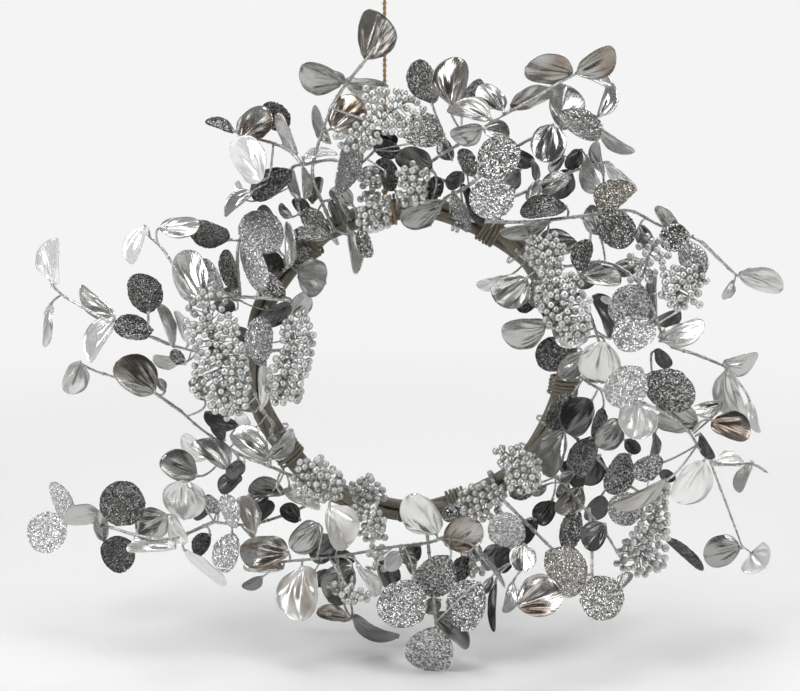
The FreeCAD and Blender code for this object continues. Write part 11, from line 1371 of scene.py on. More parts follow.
def outline(s):
    """Monotone cubic through the outline points."""
    x, y = OUTLINE.T
    h = np.diff(x)
    d = np.diff(y) / h
    m = np.zeros(len(x))
    for i in range(1, len(x) - 1):
        if d[i - 1] * d[i] > 0:
            w1, w2 = 2 * h[i] + h[i - 1], h[i] + 2 * h[i - 1]
            m[i] = (w1 + w2) / (w1 / d[i - 1] + w2 / d[i])
    m[0], m[-1] = d[0], d[-1]
    k = np.clip(np.searchsorted(x, s, side="right") - 1, 0, len(h) - 1)
    t = (s - x[k]) / h[k]
    start = y[k] * (1 + 2 * t) * (1 - t) ** 2 + m[k] * h[k] * t * (1 - t) ** 2
    return start + y[k + 1] * t * t * (3 - 2 * t) + m[k + 1] * h[k] * t * t * (t - 1)


def step01(x, a, b):
    t = np.clip((x - a) / (b - a), 0, 1)
    return t * t * (3 - 2 * t)


def glitter_relief(height, S, V, Y, width, size, wob):
    """Slow waves and a shallow groove that fades towards the tip."""
    waves = wob[4] * np.sin(3.0 * S + wob[5] * 3) + wob[6] * np.sin(2.5 * V + wob[7] * 3)
    height += 0.0175 * size * waves
    height -= 0.02 * size * np.exp(-((Y / (0.06 * width)) ** 2)) * (1 - S)


def moulded_relief(height, S, V, X, Y, length, width, size, wob):
    reach = np.hypot(X, Y) / length
    angle = np.arctan2(Y, X + 0.12 * length)
    # folds that fan out from the foot and die away past the middle
    grow = step01(reach, 0.04, 0.22) * (1 - step01(reach, 0.42 + 0.06 * wob[0], 0.80))
    fold_height = 0.066 * size * (1 + 0.25 * wob[1])
    for k, (middle, spread, weight) in enumerate(FOLDS):
        ray = middle * (1 + 0.12 * wob[k])
        ray = ray + 0.12 * np.sin(3.2 * np.hypot(X, Y) / length + wob[k]) * (middle != 0)
        height += fold_height * weight * np.exp(-(((angle - ray) / spread) ** 2)) * grow
    # shallow crease along the midrib
    crease = 0.016 * size * np.exp(-((Y / (0.05 * width)) ** 2))
    height -= crease * step01(S, 0.05, 0.3) * (1 - step01(S, 0.7, 0.98))
    # long uneven waves that break up the reflections
    waves = wob[4] * np.sin(4.2 * S + 3 * wob[5]) * np.cos(2.0 * V + wob[6])
    height += 0.028 * size * (waves + wob[7] * np.sin(3.4 * V + 2.1 * S))
    # the edge turns up into a fine rim
    rim = step01(np.abs(V), 0.86, 1.0) * step01(S, 0.02, 0.2)
    height += 0.012 * size * np.maximum(rim, step01(S, 0.90, 1.0))


def sheet_faces(rows, columns):
    """Faces of a closed sheet: top grid, bottom grid and the rim between them."""
    index = np.arange(rows * columns).reshape(rows, columns)
    under = rows * columns
    faces = []
    for i in range(rows - 1):
        for j in range(columns - 1):
            a, b, c, d = index[i, j], index[i + 1, j], index[i + 1, j + 1], index[i, j + 1]
            faces.append((a, b, c, d))
            faces.append((a + under, d + under, c + under, b + under))
    rim = [*index[:, 0], *index[-1, 1:], *index[-2::-1, -1], *index[0, -2:0:-1]]
    for k, p in enumerate(rim):
        q = rim[(k + 1) % len(rim)]
        faces.append((q, p, p + under, q + under))
    return faces


def leaf(build, row, rng, glitter):
    """S runs 0 to 1 from foot to tip, V runs -1 to 1 across the leaf."""
    foot, along, normal = row[:9].reshape(3, 3)
    # the last two columns are painted light and shade, and painted brown reflection
    length, width, cup, bend, painted_light, brown_reflection = row[9:]
    along = unit(along)
    across = unit(np.cross(normal, along))
    normal = np.cross(along, across)
    columns = 25 if glitter else 27
    # stations bunch towards the ends and edges, so the outline is round there
    t = np.linspace(0, 1, LEAF_STATIONS)
    s = 0.5 * t + 0.5 * (0.5 - 0.5 * np.cos(math.pi * t))
    quarter = np.sin(np.linspace(-math.pi / 2, math.pi / 2, columns))
    v = quarter * 0.6 + np.linspace(-1, 1, columns) * 0.4
    S, V = np.meshgrid(s, v, indexing="ij")
    half = outline(S)
    wob = rng.uniform(-1, 1, 8)
    # slightly uneven outline
    edge = 1 + 0.035 * wob[0] * np.sin(TURN * S + 3 * wob[1]) * np.sign(V)
    edge = edge + 0.025 * wob[2] * np.sin(5 * S + 2 * wob[3])
    X = S * length
    Y = V * half * width / 2 * np.clip(edge, 0.93, 1.03)
    height = cup * (V * half) ** 2 + bend * (2 * S - 1) ** 2
    size = min(length, width)
    if glitter:
        glitter_relief(height, S, V, Y, width, size, wob)
    else:
        moulded_relief(height, S, V, X, Y, length, width, size, wob)
    thickness = 0.95 if glitter else 0.5
    middle = foot + X[..., None] * along + Y[..., None] * across + height[..., None] * normal
    top = middle + normal * (thickness / 2)
    bottom = middle - normal * (thickness / 2)
    if glitter:
        # grains, and a ragged rim
        jitter = rng.normal(0, 0.13, (2,) + middle.shape)
        top, bottom = top + jitter[0], bottom + jitter[1]
        ragged = rng.uniform(-0.35, 0.45, middle.shape[:2]) * (np.abs(V) > 0.999)
        shift = (across * np.sign(V)[..., None]) * ragged[..., None]
        top += shift
        bottom += shift
    share = np.full(S.size, rng.uniform(0, 1))
    st = np.stack([S.ravel(), (V * half).ravel(), share], 1)
    # painted light and shade, painted brown reflection, random share
    look = (painted_light / 9.0, brown_reflection / 9.0, rng.uniform(0, 1))
    verts = np.vstack([top.reshape(-1, 3), bottom.reshape(-1, 3)])
    build.add(verts, sheet_faces(LEAF_STATIONS, columns), np.vstack([st, st]), look)


# ------------------------------------------------------------------ shader tools
def new_material(name):
    made = bpy.data.materials.new(name)
    made.use_nodes = True
    return made, made.node_tree, made.node_tree.nodes["Principled BSDF"]


def feed(tree, socket, value):
    """Sets a socket to a plain value, or links another socket to it."""
    if isinstance(value, (int, float, tuple)):
        socket.default_value = value
    else:
        tree.links.new(value, socket)


def feed_all(tree, node, inputs):
    for name, value in inputs.items():
        feed(tree, node.inputs[name], value)


def math_node(tree, operation, a, b=None, clamp=False):
    node = tree.nodes.new("ShaderNodeMath")
    node.operation = operation
    node.use_clamp = clamp
    feed(tree, node.inputs[0], a)
    if b is not None:
        feed(tree, node.inputs[1], b)
    return node.outputs[0]


def multiply(tree, a, b, clamp=False):
    return math_node(tree, "MULTIPLY", a, b, clamp)


def mix_color(tree, factor, a, b, blend="MIX"):
    node = tree.nodes.new("ShaderNodeMix")
    node.data_type = "RGBA"
    node.blend_type = blend
    for index, value in ((0, factor), (6, a), (7, b)):
        feed(tree, node.inputs[index], value)
    return node.outputs[2]


def ramp(tree, factor, stops):
    """stops: (position, grey or RGB)."""
    node = tree.nodes.new("ShaderNodeValToRGB")
    elements = node.color_ramp.elements
    while len(elements) < len(stops):
        elements.new(0.5)
    for element, (position, color) in zip(elements, stops):
        element.position = position
        element.color = (*color, 1) if isinstance(color, tuple) else (color, color, color, 1)
    tree.links.new(factor, node.inputs[0])
    return node.outputs[0]


def coords(tree):
    return tree.nodes.new("ShaderNodeTexCoord").outputs["Object"]


def attribute(tree, name):
    source = tree.nodes.new("ShaderNodeAttribute")
    source.attribute_name = name
    split = tree.nodes.new("ShaderNodeSeparateXYZ")
    tree.links.new(source.outputs["Vector"], split.inputs[0])
    return split.outputs


def combine(tree, *parts):
    node = tree.nodes.new("ShaderNodeCombineXYZ")
    for socket, part in zip(node.inputs, parts):
        tree.links.new(part, socket)
    return node.outputs[0]


def noise(tree, vector, scale, detail=3.0, rough=0.5, distort=0.0):
    node = tree.nodes.new("ShaderNodeTexNoise")
    feed_all(tree, node, {
        "Vector": vector, "Scale": scale, "Detail": detail, "Roughness": rough,
        "Distortion": distort,
    })
    return node.outputs[0]


def bump(tree, height, strength, distance, normal=None):
    node = tree.nodes.new("ShaderNodeBump")
    feed_all(tree, node, {"Height": height, "Strength": strength, "Distance": distance})
    if normal is not None:
        tree.links.new(normal, node.inputs["Normal"])
    return node.outputs[0]


def vector_math(tree, operation, a):
    node = tree.nodes.new("ShaderNodeVectorMath")
    node.operation = operation
    tree.links.new(a, node.inputs[0])
    return node


def sparkle(tree, vector, scale, tilt):
    """Facets that each lean their own way: normal, random value, distance in the cell."""
    cells = tree.nodes.new("ShaderNodeTexVoronoi")
    feed_all(tree, cells, {"Vector": vector, "Scale": scale})
    centred = vector_math(tree, "SUBTRACT", cells.outputs["Color"])
    centred.inputs[1].default_value = (0.5, 0.5, 0.5)
    lean = vector_math(tree, "SCALE", centred.outputs[0])
    lean.inputs["Scale"].default_value = tilt
    geometry = tree.nodes.new("ShaderNodeNewGeometry")
    leaning = vector_math(tree, "ADD", geometry.outputs["Normal"])
    tree.links.new(lean.outputs[0], leaning.inputs[1])
    normal = vector_math(tree, "NORMALIZE", leaning.outputs[0])
    split = tree.nodes.new("ShaderNodeSeparateColor")
    tree.links.new(cells.outputs["Color"], split.inputs[0])
    return normal.outputs[0], split.outputs[0], cells.outputs["Distance"]


def fibre_coords(tree, along, around):
    """Texture space of a tube, scaled along its length and round its girth."""
    st = attribute(tree, "st")
    return combine(
        tree,
        multiply(tree, st[0], along),
        multiply(tree, math_node(tree, "SINE", st[1]), around),
        multiply(tree, math_node(tree, "COSINE", st[1]), around),
    )


# ------------------------------------------------------------------ materials
def metallic_leaf_material():
    made, tree, bsdf = new_material("metallic_leaf")
    # painted light and shade, painted brown reflection, random share
    painted_light, brown_reflection, share = attribute(tree, "look")
    run, span, _ = attribute(tree, "st")
    vector = coords(tree)
    # painted light and shade of each leaf (dark where shaded, pale where lit), slightly worn
    grey = ramp(tree, painted_light, [
        (0.0, (0.045, 0.046, 0.045)), (0.30, (0.19, 0.193, 0.188)),
        (0.56, (0.56, 0.56, 0.55)), (0.76, (0.90, 0.90, 0.89)), (1.0, 1.0),
    ])
    worn = noise(tree, vector, scale=60.0, distort=0.4)
    worn = ramp(tree, worn, [(0.3, (0.55, 0.55, 0.54)), (0.7, (1.0, 1.0, 0.99))])
    grey = mix_color(tree, 0.10, grey, worn, "MULTIPLY")
    # patchy painted brown reflections
    patch = noise(tree, vector, scale=38.0, detail=1.0, rough=0.35, distort=0.5)
    reflection_mask = multiply(tree, brown_reflection, ramp(tree, patch, [(0.36, 0.12), (0.64, 1)]), clamp=True)
    reflection_mask = multiply(tree, reflection_mask, 1.05, clamp=True)
    color = mix_color(tree, reflection_mask, grey, (0.235, 0.165, 0.110, 1))
    # darker towards the rim
    edge = ramp(tree, math_node(tree, "ABSOLUTE", span), [(0.80, 1), (1.0, 0.62)])
    # fine veins that run out from the foot, and a faint orange peel
    fan = math_node(tree, "DIVIDE", span, math_node(tree, "ADD", run, 0.25))
    vein_space = combine(
        tree, multiply(tree, run, 1.6), multiply(tree, fan, 5.0), multiply(tree, share, 40.0)
    )
    veins = noise(tree, vein_space, scale=2.2, rough=0.55, distort=0.3)
    normal = bump(tree, veins, strength=0.34, distance=0.0009)
    peel = noise(tree, vector, scale=700.0, detail=2.0)
    blur = noise(tree, vector, scale=160.0, detail=5.0, rough=0.6)
    feed_all(tree, bsdf, {
        "Base Color": mix_color(tree, 0.8, color, edge, "MULTIPLY"),
        # the leaves painted brightest, as blown-out painted highlight, are partly dull white
        "Metallic": ramp(tree, painted_light, [(0.70, 0.94), (1.0, 0.45)]),
        "Roughness": ramp(tree, blur, [(0.3, 0.19), (0.7, 0.27)]),
        "Normal": bump(tree, peel, strength=0.05, distance=0.0004, normal=normal),
        "Coat Weight": 0.25,
        "Coat Roughness": 0.12,
    })
    return made


def glitter_material():
    made, tree, bsdf = new_material("glitter_leaf")
    # painted light and shade, and painted brown reflection
    painted_light, brown_reflection, _ = attribute(tree, "look")
    normal, chance, distance = sparkle(tree, coords(tree), scale=860.0, tilt=1.25)
    salt = ramp(tree, chance, [
        (0.0, 0.06), (0.30, (0.24, 0.24, 0.238)), (0.60, (0.58, 0.58, 0.575)), (0.82, 1.0),
    ])
    # painted light and shade of each leaf: dark where shaded, pale where lit
    value = ramp(tree, painted_light, [
        (0.0, (0.13, 0.13, 0.125)), (0.34, (0.38, 0.385, 0.375)),
        (0.56, (0.84, 0.84, 0.83)), (0.8, 1.0),
    ])
    color = mix_color(tree, 1.0, salt, value, "MULTIPLY")
    # the leaves painted palest fade to white as painted highlight; those with painted brown
    # reflection tint towards tan
    white = multiply(tree, math_node(tree, "SUBTRACT", painted_light, 0.6), 1.5, clamp=True)
    color = mix_color(tree, white, color, (0.95, 0.95, 0.95, 1))
    tan = multiply(tree, brown_reflection, 0.45, clamp=True)
    feed_all(tree, bsdf, {
        "Base Color": mix_color(tree, tan, color, (0.50, 0.40, 0.30, 1)),
        "Metallic": ramp(tree, chance, [(0.0, 0.55), (1.0, 0.95)]),
        "Roughness": 0.24,
        "Normal": bump(tree, distance, strength=0.6, distance=0.0005, normal=normal),
    })
    return made


def berry_material():
    made, tree, bsdf = new_material("berry_coating")
    vector = coords(tree)
    share = attribute(tree, "look")[2]
    color = ramp(tree, noise(tree, vector, scale=260.0), [
        (0.3, (0.58, 0.585, 0.575)), (0.7, (0.90, 0.905, 0.895)),
    ])
    shade = ramp(tree, share, [(0.0, (0.62, 0.62, 0.61)), (1.0, 1)])
    fine = noise(tree, vector, scale=1500.0, detail=2.0)
    feed_all(tree, bsdf, {
        "Base Color": mix_color(tree, 1.0, color, shade, "MULTIPLY"),
        "Metallic": 0.82,
        "Roughness": 0.33,
        "Normal": bump(tree, fine, strength=0.15, distance=0.0004),
        "Coat Weight": 0.3,
        "Coat Roughness": 0.1,
    })
    return made


def stem_material():
    made, tree, bsdf = new_material("stem_coating")
    flake = noise(tree, coords(tree), scale=420.0, detail=4.0, rough=0.6)
    feed_all(tree, bsdf, {
        "Base Color": ramp(tree, flake, [
            (0.30, (0.20, 0.19, 0.18)), (0.48, (0.50, 0.495, 0.49)), (0.7, (0.80, 0.80, 0.79)),
        ]),
        "Metallic": 0.85,
        "Roughness": ramp(tree, flake, [(0.3, 0.55), (0.7, 0.28)]),
        "Normal": bump(tree, flake, strength=0.5, distance=0.0006),
    })
    return made


def rattan_material():
    made, tree, bsdf = new_material("rattan_cane")
    vector = coords(tree)
    space = fibre_coords(tree, along=0.045, around=2.2)
    fibre = noise(tree, space, scale=4.0, detail=6.0, rough=0.65, distort=0.2)
    color = ramp(tree, fibre, [
        (0.28, (0.105, 0.092, 0.070)), (0.5, (0.235, 0.212, 0.165)),
        (0.72, (0.42, 0.39, 0.315)),
    ])
    blotch = ramp(tree, noise(tree, vector, scale=28.0), [(0.3, (0.55, 0.55, 0.52)), (0.7, 1)])
    grain = bump(tree, fibre, strength=0.7, distance=0.0008)
    fine = noise(tree, vector, scale=900.0, detail=2.0)
    feed_all(tree, bsdf, {
        "Base Color": mix_color(tree, 0.55, color, blotch, "MULTIPLY"),
        "Roughness": 0.52,
        "Normal": bump(tree, fine, strength=0.12, distance=0.0003, normal=grain),
        "Coat Weight": 0.12,
        "Coat Roughness": 0.4,
    })
    return made


def cord_material(name, dark, mid, light):
    made, tree, bsdf = new_material(name)
    space = fibre_coords(tree, along=0.35, around=3.0)
    fibre = noise(tree, space, scale=3.0, detail=5.0, rough=0.7, distort=0.4)
    color = ramp(tree, fibre, [(0.28, dark), (0.5, mid), (0.74, light)])
    blotch = noise(tree, coords(tree), scale=140.0)
    blotch = ramp(tree, blotch, [(0.3, (0.6, 0.58, 0.55)), (0.7, 1)])
    feed_all(tree, bsdf, {
        "Base Color": mix_color(tree, 0.4, color, blotch, "MULTIPLY"),
        "Roughness": 0.85,
        "Sheen Weight": 0.25,
        "Normal": bump(tree, fibre, strength=0.8, distance=0.0005),
    })
    return made


def wire_material():
    made, tree, bsdf = new_material("floral_wire")
    grain = noise(tree, coords(tree), scale=500.0, rough=0.6)
    feed_all(tree, bsdf, {
        "Base Color": ramp(tree, grain, [(0.3, (0.22, 0.22, 0.21)), (0.7, (0.55, 0.55, 0.54))]),
        "Metallic": 1.0,
        "Roughness": 0.38,
        "Normal": bump(tree, grain, strength=0.2, distance=0.0002),
    })
    return made


MATERIALS = {
    "metallic_leaf": metallic_leaf_material(),
    "glitter_leaf": glitter_material(),
    "berry_coating": berry_material(),
    "stem_coating": stem_material(),
    "rattan_cane": rattan_material(),
    "binding_cord": cord_material(
        "binding_cord",
        dark=(0.10, 0.085, 0.055), mid=(0.255, 0.225, 0.160), light=(0.45, 0.41, 0.31),
    ),
    "hanger_twine": cord_material(
        "hanger_twine",
        dark=(0.22, 0.12, 0.05), mid=(0.47, 0.30, 0.15), light=(0.72, 0.52, 0.31),
    ),
    "floral_wire": wire_material(),
}

# ------------------------------------------------------------------ foliage
COATING = 1.45  # how much the coating thickens a stalk's wire
STEM_RADIUS = {"M": 1.38, "L": 0.65 * COATING, "S": 0.50 * COATING, "B": 0.70 * COATING}
TAPER = 0.28
BARE_SHARE = 0.70  # the lower right sprig is thinner than the others
BERRY_RADIUS = 3.05
BERRY_BALL = icosphere(2)
KNOB_BALL = icosphere(1)


def build_leaves(label, text):
    glitter = "glitter" in label
    rng = seeded(label)
    build = Build()
    for row in numbers(text, 15):
        leaf(build, row, rng, glitter)
    slot = "glitter_leaf" if glitter else "metallic_leaf"
    build.place(label + "_foliage", BODY_OF[label], slot, label)


def stem_rows(text):
    rows = []
    for word in text.split():
        if word in STEM_RADIUS:
            rows.append((word, []))
        else:
            rows[-1][1].append(float(word))
    return [(kind, np.array(values).reshape(-1, 3)) for kind, values in rows]


def stem(build, kind, points, share, rng):
    ball, ball_faces = KNOB_BALL
    main = kind == "M"
    path = smooth_path(points, 2.0 if main else 1.3)
    count = len(path)
    radius = STEM_RADIUS[kind] * ((1.10 if main else 1.12) - TAPER * np.linspace(0, 1, count))
    radius = radius * share
    radius = radius * (1 + 0.06 * np.sin(np.arange(count) * 0.9 + rng.uniform(0, 6)))
    tube(build, path, radius, 10 if main else 8)
    if main:
        # a bud at the end, and raised leaf scars along the stem
        end = path[-1]
        along = unit(end - path[-2])
        build.add(end + ball * 1.25, ball_faces)
        bud = np.array([end, end + along * 1.8, end + along * 3.4])
        tube(build, bud, np.array([0.9, 0.6, 0.12]), 6)
        for k in range(6, count - 4, 9):
            build.add(path[k] + ball * (radius[k] * 1.35), ball_faces)
    else:
        # a swollen joint where the stalk starts, some with a tiny bract
        start = path[0]
        along = unit(path[1] - start)
        build.add(start + ball * (1.35 * rng.uniform(0.85, 1.15)), ball_faces)
        if rng.uniform() < 0.6:
            side = unit(np.cross(along, rng.normal(size=3)))
            tip = start + along * 3.2 + side * 1.9
            bract = np.array([start, (start + tip) / 2 + side * 0.4, tip])
            tube(build, bract, np.array([0.7, 0.5, 0.12]), 6)


def build_stems(label, text):
    rng = seeded(label, 7)
    build = Build()
    share = BARE_SHARE if label.startswith("right_lower_sprig") else 1.0
    for kind, points in stem_rows(text):
        stem(build, kind, points, share, rng)
    build.place(label + "_wire", BODY_OF[label], "stem_coating", label)


def berry_cluster(beads, twigs, centres, rng):
    ball, ball_faces = BERRY_BALL
    middle = centres.mean(0)
    core = middle + BACK * 7.0
    axis = unit(np.linalg.svd(centres - middle)[2][0])
    for centre in centres:
        radius = BERRY_RADIUS * rng.uniform(0.88, 1.08)
        squash = 1 + rng.uniform(-0.05, 0.05, 3)
        dents = 1 + 0.02 * np.sin(ball @ rng.normal(size=3) * 6)[:, None]
        look = (0.5, 0, rng.uniform(0, 1))
        beads.add(centre + ball * squash * radius * dents, ball_faces, look=look)
        # short stalk back to a twig behind the middle of the cluster
        foot = core + axis * ((centre - middle) @ axis) * 0.75
        knee = foot * 0.45 + centre * 0.55 + rng.normal(0, 0.6, 3)
        tube(twigs, smooth_path([foot, knee, centre], 2.2), 0.42, 5)
    reach = (centres - middle) @ axis
    twig = [core + axis * t for t in np.linspace(reach.min(), reach.max(), 5) * 0.75]
    tube(twigs, smooth_path(twig, 3.0), 0.8, 7)


def build_berries(label, text):
    rng = seeded(label, 3)
    beads, twigs = Build(), Build()
    for cluster in text.split("/"):
        berry_cluster(beads, twigs, numbers(cluster, 3), rng)
    beads.place(label + "_beads", BODY_OF[label], "berry_coating", label)
    twigs.place(label + "_twigs", BODY_OF[label], "stem_coating")


for table, build_group in ((LEAVES, build_leaves), (STEMS, build_stems), (BERRIES, build_berries)):
    for label, text in table.items():
        build_group(label, text)


# ------------------------------------------------------------------ ring
def build_cane(label, lead):
    """One cane, turning three times about the bundle's middle from the lead angle."""
    rng = np.random.RandomState(int(lead) + 11)
    angle = np.radians(np.linspace(-64.0, -64.0 + 359.5, 560))
    lay = 3 * angle + math.radians(lead)
    r = RING_RADIUS + CANE_ORBIT * np.cos(lay)
    path = np.stack([r * np.cos(angle), CANE_ORBIT * np.sin(lay), r * np.sin(angle)], 1)
    phase = rng.uniform(0, 6, 6)
    joints = np.sort(rng.uniform(0, 830, 5))

    def ridge(length, th):
        out = 0.10 * np.sin(11 * th + phase[0])
        out = out + 0.07 * np.sin(17 * th + phase[1] + 0.01 * length)
        out = out + 0.12 * np.sin(2 * th + phase[2] + 0.02 * length)
        for joint in joints:
            out = out + 0.42 * math.exp(-(((length - joint) / 1.6) ** 2))
        return out - 0.12

    build = Build()
    tube(build, path, CANE_RADIUS, 36, look=(0, 0, lead / 360), ridge=ridge)
    build.place(label + "_skin", "wreath", "rattan_cane", label)


def coil(build, degrees, pitch, strand, plies, twist, rng, turns=5, tail=False):
    """A cord of twisted plies wound round the bundle of canes."""
    a = math.radians(degrees)
    centre = np.array([RING_RADIUS * math.cos(a), 0, RING_RADIUS * math.sin(a)])
    out = np.array([math.cos(a), 0, math.sin(a)])
    tangent = np.array([-math.sin(a), 0, math.cos(a)])
    th = np.linspace(0, TURN * turns, turns * 64)
    r = BUNDLE_RADIUS + 0.22 * np.sin(th * 0.37 + rng.uniform(0, 6))
    along = (th / TURN - turns / 2) * pitch + 0.25 * np.sin(th * 1.3 + rng.uniform(0, 6))
    path = centre + np.outer(r * np.cos(th), out) + np.outer(r * np.sin(th), BACK)
    path = path + np.outer(along, tangent)
    _, side, up = frames(path)
    length = run_length(path)
    offset = strand * 0.95
    for k in range(plies):
        w = TURN * (length / twist + k / plies)
        ply = path + side * (np.cos(w) * offset)[:, None] + up * (np.sin(w) * offset)[:, None]
        tube(build, ply, strand, 8, look=(0, 0, k / plies))
    if tail:
        end = path[-1]
        points = [
            end,
            end + tangent * 1.5 + BACK * 0.6,
            end + tangent * 3.2 + out * 0.8 + BACK * 0.4,
            end + tangent * 4.6 + out * 2.0,
        ]
        tube(build, smooth_path(points, 0.8), 0.95, 7)


for label, lead in (
    ("ring_cane_first", 0.0), ("ring_cane_second", 120.0), ("ring_cane_third", 240.0),
):
    build_cane(label, lead)

for label, degrees in WRAPS.items():
    build = Build()
    coil(
        build, degrees, pitch=3.3, strand=0.74, plies=3, twist=8.0,
        rng=np.random.RandomState(int(degrees) + 400), tail=label != "cord_wrap_right",
    )
    build.place(label + "_cord", "wreath", "binding_cord", label)

# ------------------------------------------------------------------ hanger
TWINE_LAY = 8.5  # height of one full twist
TWINE_OFFSET = 0.76  # from the middle of the twine to the middle of a strand
LOOP_RADIUS = 11


def circle(count):
    return np.linspace(0, TURN, count, endpoint=False)


def strand_path(foot, z, k, offset):
    """Strand k of the two-strand twine over the heights z."""
    w = TURN * (z / TWINE_LAY + k / 2)
    return foot + np.stack([offset * np.cos(w), offset * np.sin(w), z], 1)


def build_hitch(rng):
    build = Build()
    coil(build, HITCH_ANGLE, pitch=2.8, strand=0.72, plies=2, twist=7.0, rng=rng)
    build.place("hanger_hitch_cord", "wreath", "hanger_twine", "hanger_hitch")


def build_knot():
    """A trefoil knot with short twisted ends above and below."""
    low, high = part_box("hanger_knot")
    centre = (np.array(low) + np.array(high)) / 2 / MM
    t = circle(120)
    flat = [np.sin(t) + 2 * np.sin(2 * t), np.cos(t) - 2 * np.cos(2 * t), -np.sin(3 * t) * 1.2]
    trefoil = np.stack(flat, 1) * 0.72
    upright = np.array([[1, 0, 0], [0, 0, -1], [0, 1, 0]], float)
    build = Build()
    tube(build, centre + trefoil @ upright.T, 0.98, 9, closed=True)
    for near, far in ((0.5, 4.2), (-0.5, -3.0)):
        for k in (0, 1):
            tube(build, strand_path(centre, np.linspace(near, far, 12), k, 0.7), 0.74, 8)
    build.place("hanger_knot_cord", "hanger_knot", "hanger_twine", "hanger_knot")


def build_twine(rng):
    """The two-strand twine, with loose fibres."""
    low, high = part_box("hanger_cord")
    foot = np.array([(low[0] + high[0]) / 2, (low[1] + high[1]) / 2, low[2]]) / MM
    tall = (high[2] - low[2]) / MM
    build = Build()
    for k in (0, 1):
        z = np.linspace(0, tall, 420)
        phase = rng.uniform(0, 6, 3)

        def ridge(length, th):
            return 0.05 * np.sin(5 * th + length * 1.4 + phase[2])

        radius = 0.80 + 0.05 * np.sin(z * 0.9 + phase[0]) + 0.04 * np.sin(z * 2.3 + phase[1])
        path = strand_path(foot, z, k, TWINE_OFFSET)
        tube(build, path, radius, 10, look=(0, 0, k / 2), ridge=ridge)
    for _ in range(190):
        z = rng.uniform(0, tall - 3)
        w = rng.uniform(0, TURN)
        out = np.array([math.cos(w), math.sin(w), 0.0])
        root = foot + np.array([0, 0, z]) + out * 1.3
        reach = rng.uniform(1.0, 3.2)
        knee = root + out * reach * 0.35 + np.array([0, 0, reach * 0.45])
        rise = np.array([0, 0, reach * rng.uniform(0.3, 1.1)])
        tip = root + out * reach * 0.75 + rise
        tube(build, smooth_path([root, knee, tip], 0.9), 0.06, 4)
    build.place("hanger_cord_twine", "hanger_twine", "hanger_twine", "hanger_cord")


def build_loop():
    """The loop at the top, three turns of binding below it, and a loose end."""
    low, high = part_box("hanger_loop")
    x, y, top = (low[0] + high[0]) / 2 / MM, (low[1] + high[1]) / 2 / MM, high[2] / MM
    centre = np.array([x, y, top - 12.5])
    build = Build()
    t = circle(260)
    for k in (0, 1):
        w = 8 * t + math.pi * k
        r = LOOP_RADIUS + TWINE_OFFSET * np.cos(w)
        ring = np.stack([r * np.sin(t), TWINE_OFFSET * np.sin(w), -r * np.cos(t)], 1)
        tube(build, centre + ring, 0.78, 9, closed=True)
    neck = centre + np.array([0, 0, -14.9])
    t = circle(40)
    for j, z in enumerate((-1.7, -0.2, 1.3)):
        r = 2.1 - 0.12 * j
        ring = np.stack([r * np.cos(t), r * np.sin(t), z + 0.25 * np.sin(t)], 1)
        tube(build, neck + ring, 0.85, 8, closed=True)
    end = neck + np.array([(1.5, 0, -1), (3.4, -0.6, -2.5), (4.6, -0.8, -5.5)])
    tube(build, smooth_path(end, 0.8), 0.72, 8)
    build.place("hanger_loop_twine", "hanger_twine", "hanger_twine", "hanger_loop")


hanger_rng = np.random.RandomState(5)
build_hitch(hanger_rng)
build_knot()
build_twine(hanger_rng)
build_loop()

# the wire ties keep their own shape and take the wire material
ties = frame["nodes"]["floral_wire_ties"].data.materials
ties.clear()
ties.append(MATERIALS["floral_wire"])

# ------------------------------------------------------------------ stage, in metres
FLOOR_Z = cad_box[0][2] - 0.0004
FLOOR_RINGS = (0.6, 1.2, 2.4, 6.0, 20.0, 90.0)
FLOOR_SIDES = 72
PAPER = (0.90, 0.905, 0.90, 1)


def floor_material():
    """Matt paper that turns into an even glow away from the wreath, for the camera only."""
    made, tree, bsdf = new_material("studio_paper")
    feed_all(tree, bsdf, {"Base Color": (0.92, 0.925, 0.92, 1), "Roughness": 0.9})
    glow = tree.nodes.new("ShaderNodeEmission")
    glow.inputs["Color"].default_value = PAPER
    distance = vector_math(tree, "LENGTH", coords(tree)).outputs["Value"]
    far = tree.nodes.new("ShaderNodeMapRange")
    far.interpolation_type = "SMOOTHSTEP"
    feed_all(tree, far, {"Value": distance, "From Min": 0.45, "From Max": 1.15})
    camera_ray = tree.nodes.new("ShaderNodeLightPath").outputs["Is Camera Ray"]
    mix = tree.nodes.new("ShaderNodeMixShader")
    tree.links.new(multiply(tree, far.outputs["Result"], camera_ray), mix.inputs[0])
    tree.links.new(bsdf.outputs[0], mix.inputs[1])
    tree.links.new(glow.outputs[0], mix.inputs[2])
    tree.links.new(mix.outputs[0], tree.nodes["Material Output"].inputs["Surface"])
    return made


def build_floor():
    """One wide disc just below the wreath."""
    verts = [(0.0, 0.0, FLOOR_Z)]
    for r in FLOOR_RINGS:
        for k in range(FLOOR_SIDES):
            t = TURN * k / FLOOR_SIDES
            verts.append((r * math.cos(t), r * math.sin(t), FLOOR_Z))
    faces = [(0, 1 + k, 1 + (k + 1) % FLOOR_SIDES) for k in range(FLOOR_SIDES)]
    for i in range(len(FLOOR_RINGS) - 1):
        for k in range(FLOOR_SIDES):
            p = 1 + i * FLOOR_SIDES + k
            q = 1 + i * FLOOR_SIDES + (k + 1) % FLOOR_SIDES
            faces.append((p, p + FLOOR_SIDES, q + FLOOR_SIDES, q))
    mesh = bpy.data.meshes.new("studio_floor")
    mesh.from_pydata(verts, [], faces)
    ob = bpy.data.objects.new("studio_floor", mesh)
    scene.collection.objects.link(ob)
    mesh.materials.append(floor_material())


def aim(ob, target):
    ob.rotation_euler = (Vector(target) - ob.location).to_track_quat("-Z", "Y").to_euler()


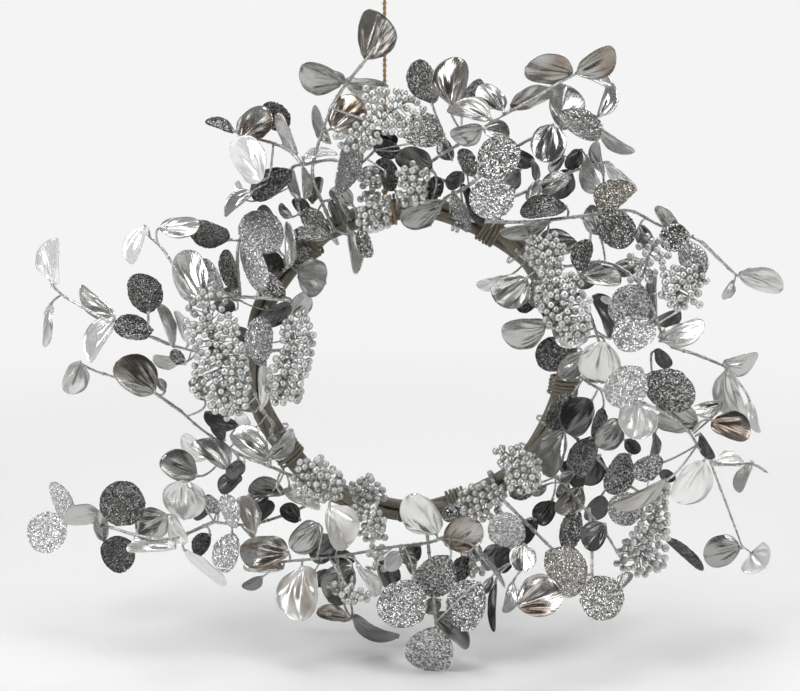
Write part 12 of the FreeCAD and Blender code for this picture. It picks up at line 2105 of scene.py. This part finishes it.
def softbox(name, place, size, energy, target=(0, 0, 0)):
    light = bpy.data.lights.new(name, "AREA")
    light.shape = "RECTANGLE"
    light.size, light.size_y = size
    light.energy = energy
    ob = bpy.data.objects.new(name, light)
    ob.location = place
    aim(ob, target)
    scene.collection.objects.link(ob)


def build_world():
    """A room darker in front and low down, paler behind and above; paper to the camera."""
    world = bpy.data.worlds.new("studio")
    scene.world = world
    world.use_nodes = True
    tree = world.node_tree
    split = tree.nodes.new("ShaderNodeSeparateXYZ")
    generated = tree.nodes.new("ShaderNodeTexCoord").outputs["Generated"]
    tree.links.new(generated, split.inputs[0])

    def share(axis):
        """Maps a direction's -1..1 to 0..1."""
        return math_node(tree, "ADD", multiply(tree, split.outputs[axis], 0.5), 0.5)

    depth = ramp(tree, share(1), [
        (0.0, 0.03), (0.35, 0.09), (0.6, (0.30, 0.305, 0.30)), (1.0, (0.46, 0.465, 0.46)),
    ])
    rise = ramp(tree, share(2), [
        (0.0, (0.30, 0.27, 0.24)), (0.5, (0.62, 0.63, 0.62)), (1.0, 1.5),
    ])
    room = mix_color(tree, 1.0, depth, rise, "MULTIPLY")
    camera_ray = tree.nodes.new("ShaderNodeLightPath").outputs["Is Camera Ray"]
    color = mix_color(tree, camera_ray, room, PAPER)
    feed_all(tree, tree.nodes["Background"], {"Color": color, "Strength": 1.0})


def build_camera():
    lens = bpy.data.cameras.new("camera")
    lens.sensor_width = 36.0
    lens.lens = 95.3
    ob = bpy.data.objects.new("camera", lens)
    tilt = math.radians(14.0)
    distance = 1.8
    target = Vector((-0.008925, 0.0, 0.01445))
    ob.location = target - distance * Vector((0, math.cos(tilt), -math.sin(tilt)))
    aim(ob, target)
    scene.collection.objects.link(ob)
    scene.camera = ob


build_floor()
softbox("softbox_left", place=(-1.35, -1.05, 0.95), size=(0.75, 0.9), energy=17)
softbox("softbox_right", place=(1.45, -0.75, 0.75), size=(0.6, 0.9), energy=10)
softbox(
    "softbox_top", place=(0.0, -0.15, 1.55), size=(1.3, 0.8), energy=11, target=(0, 0.05, 0)
)
softbox("softbox_back", place=(0.35, 1.35, 1.15), size=(0.9, 0.5), energy=7)
build_world()
build_camera()
scene.view_settings.view_transform = "Standard"
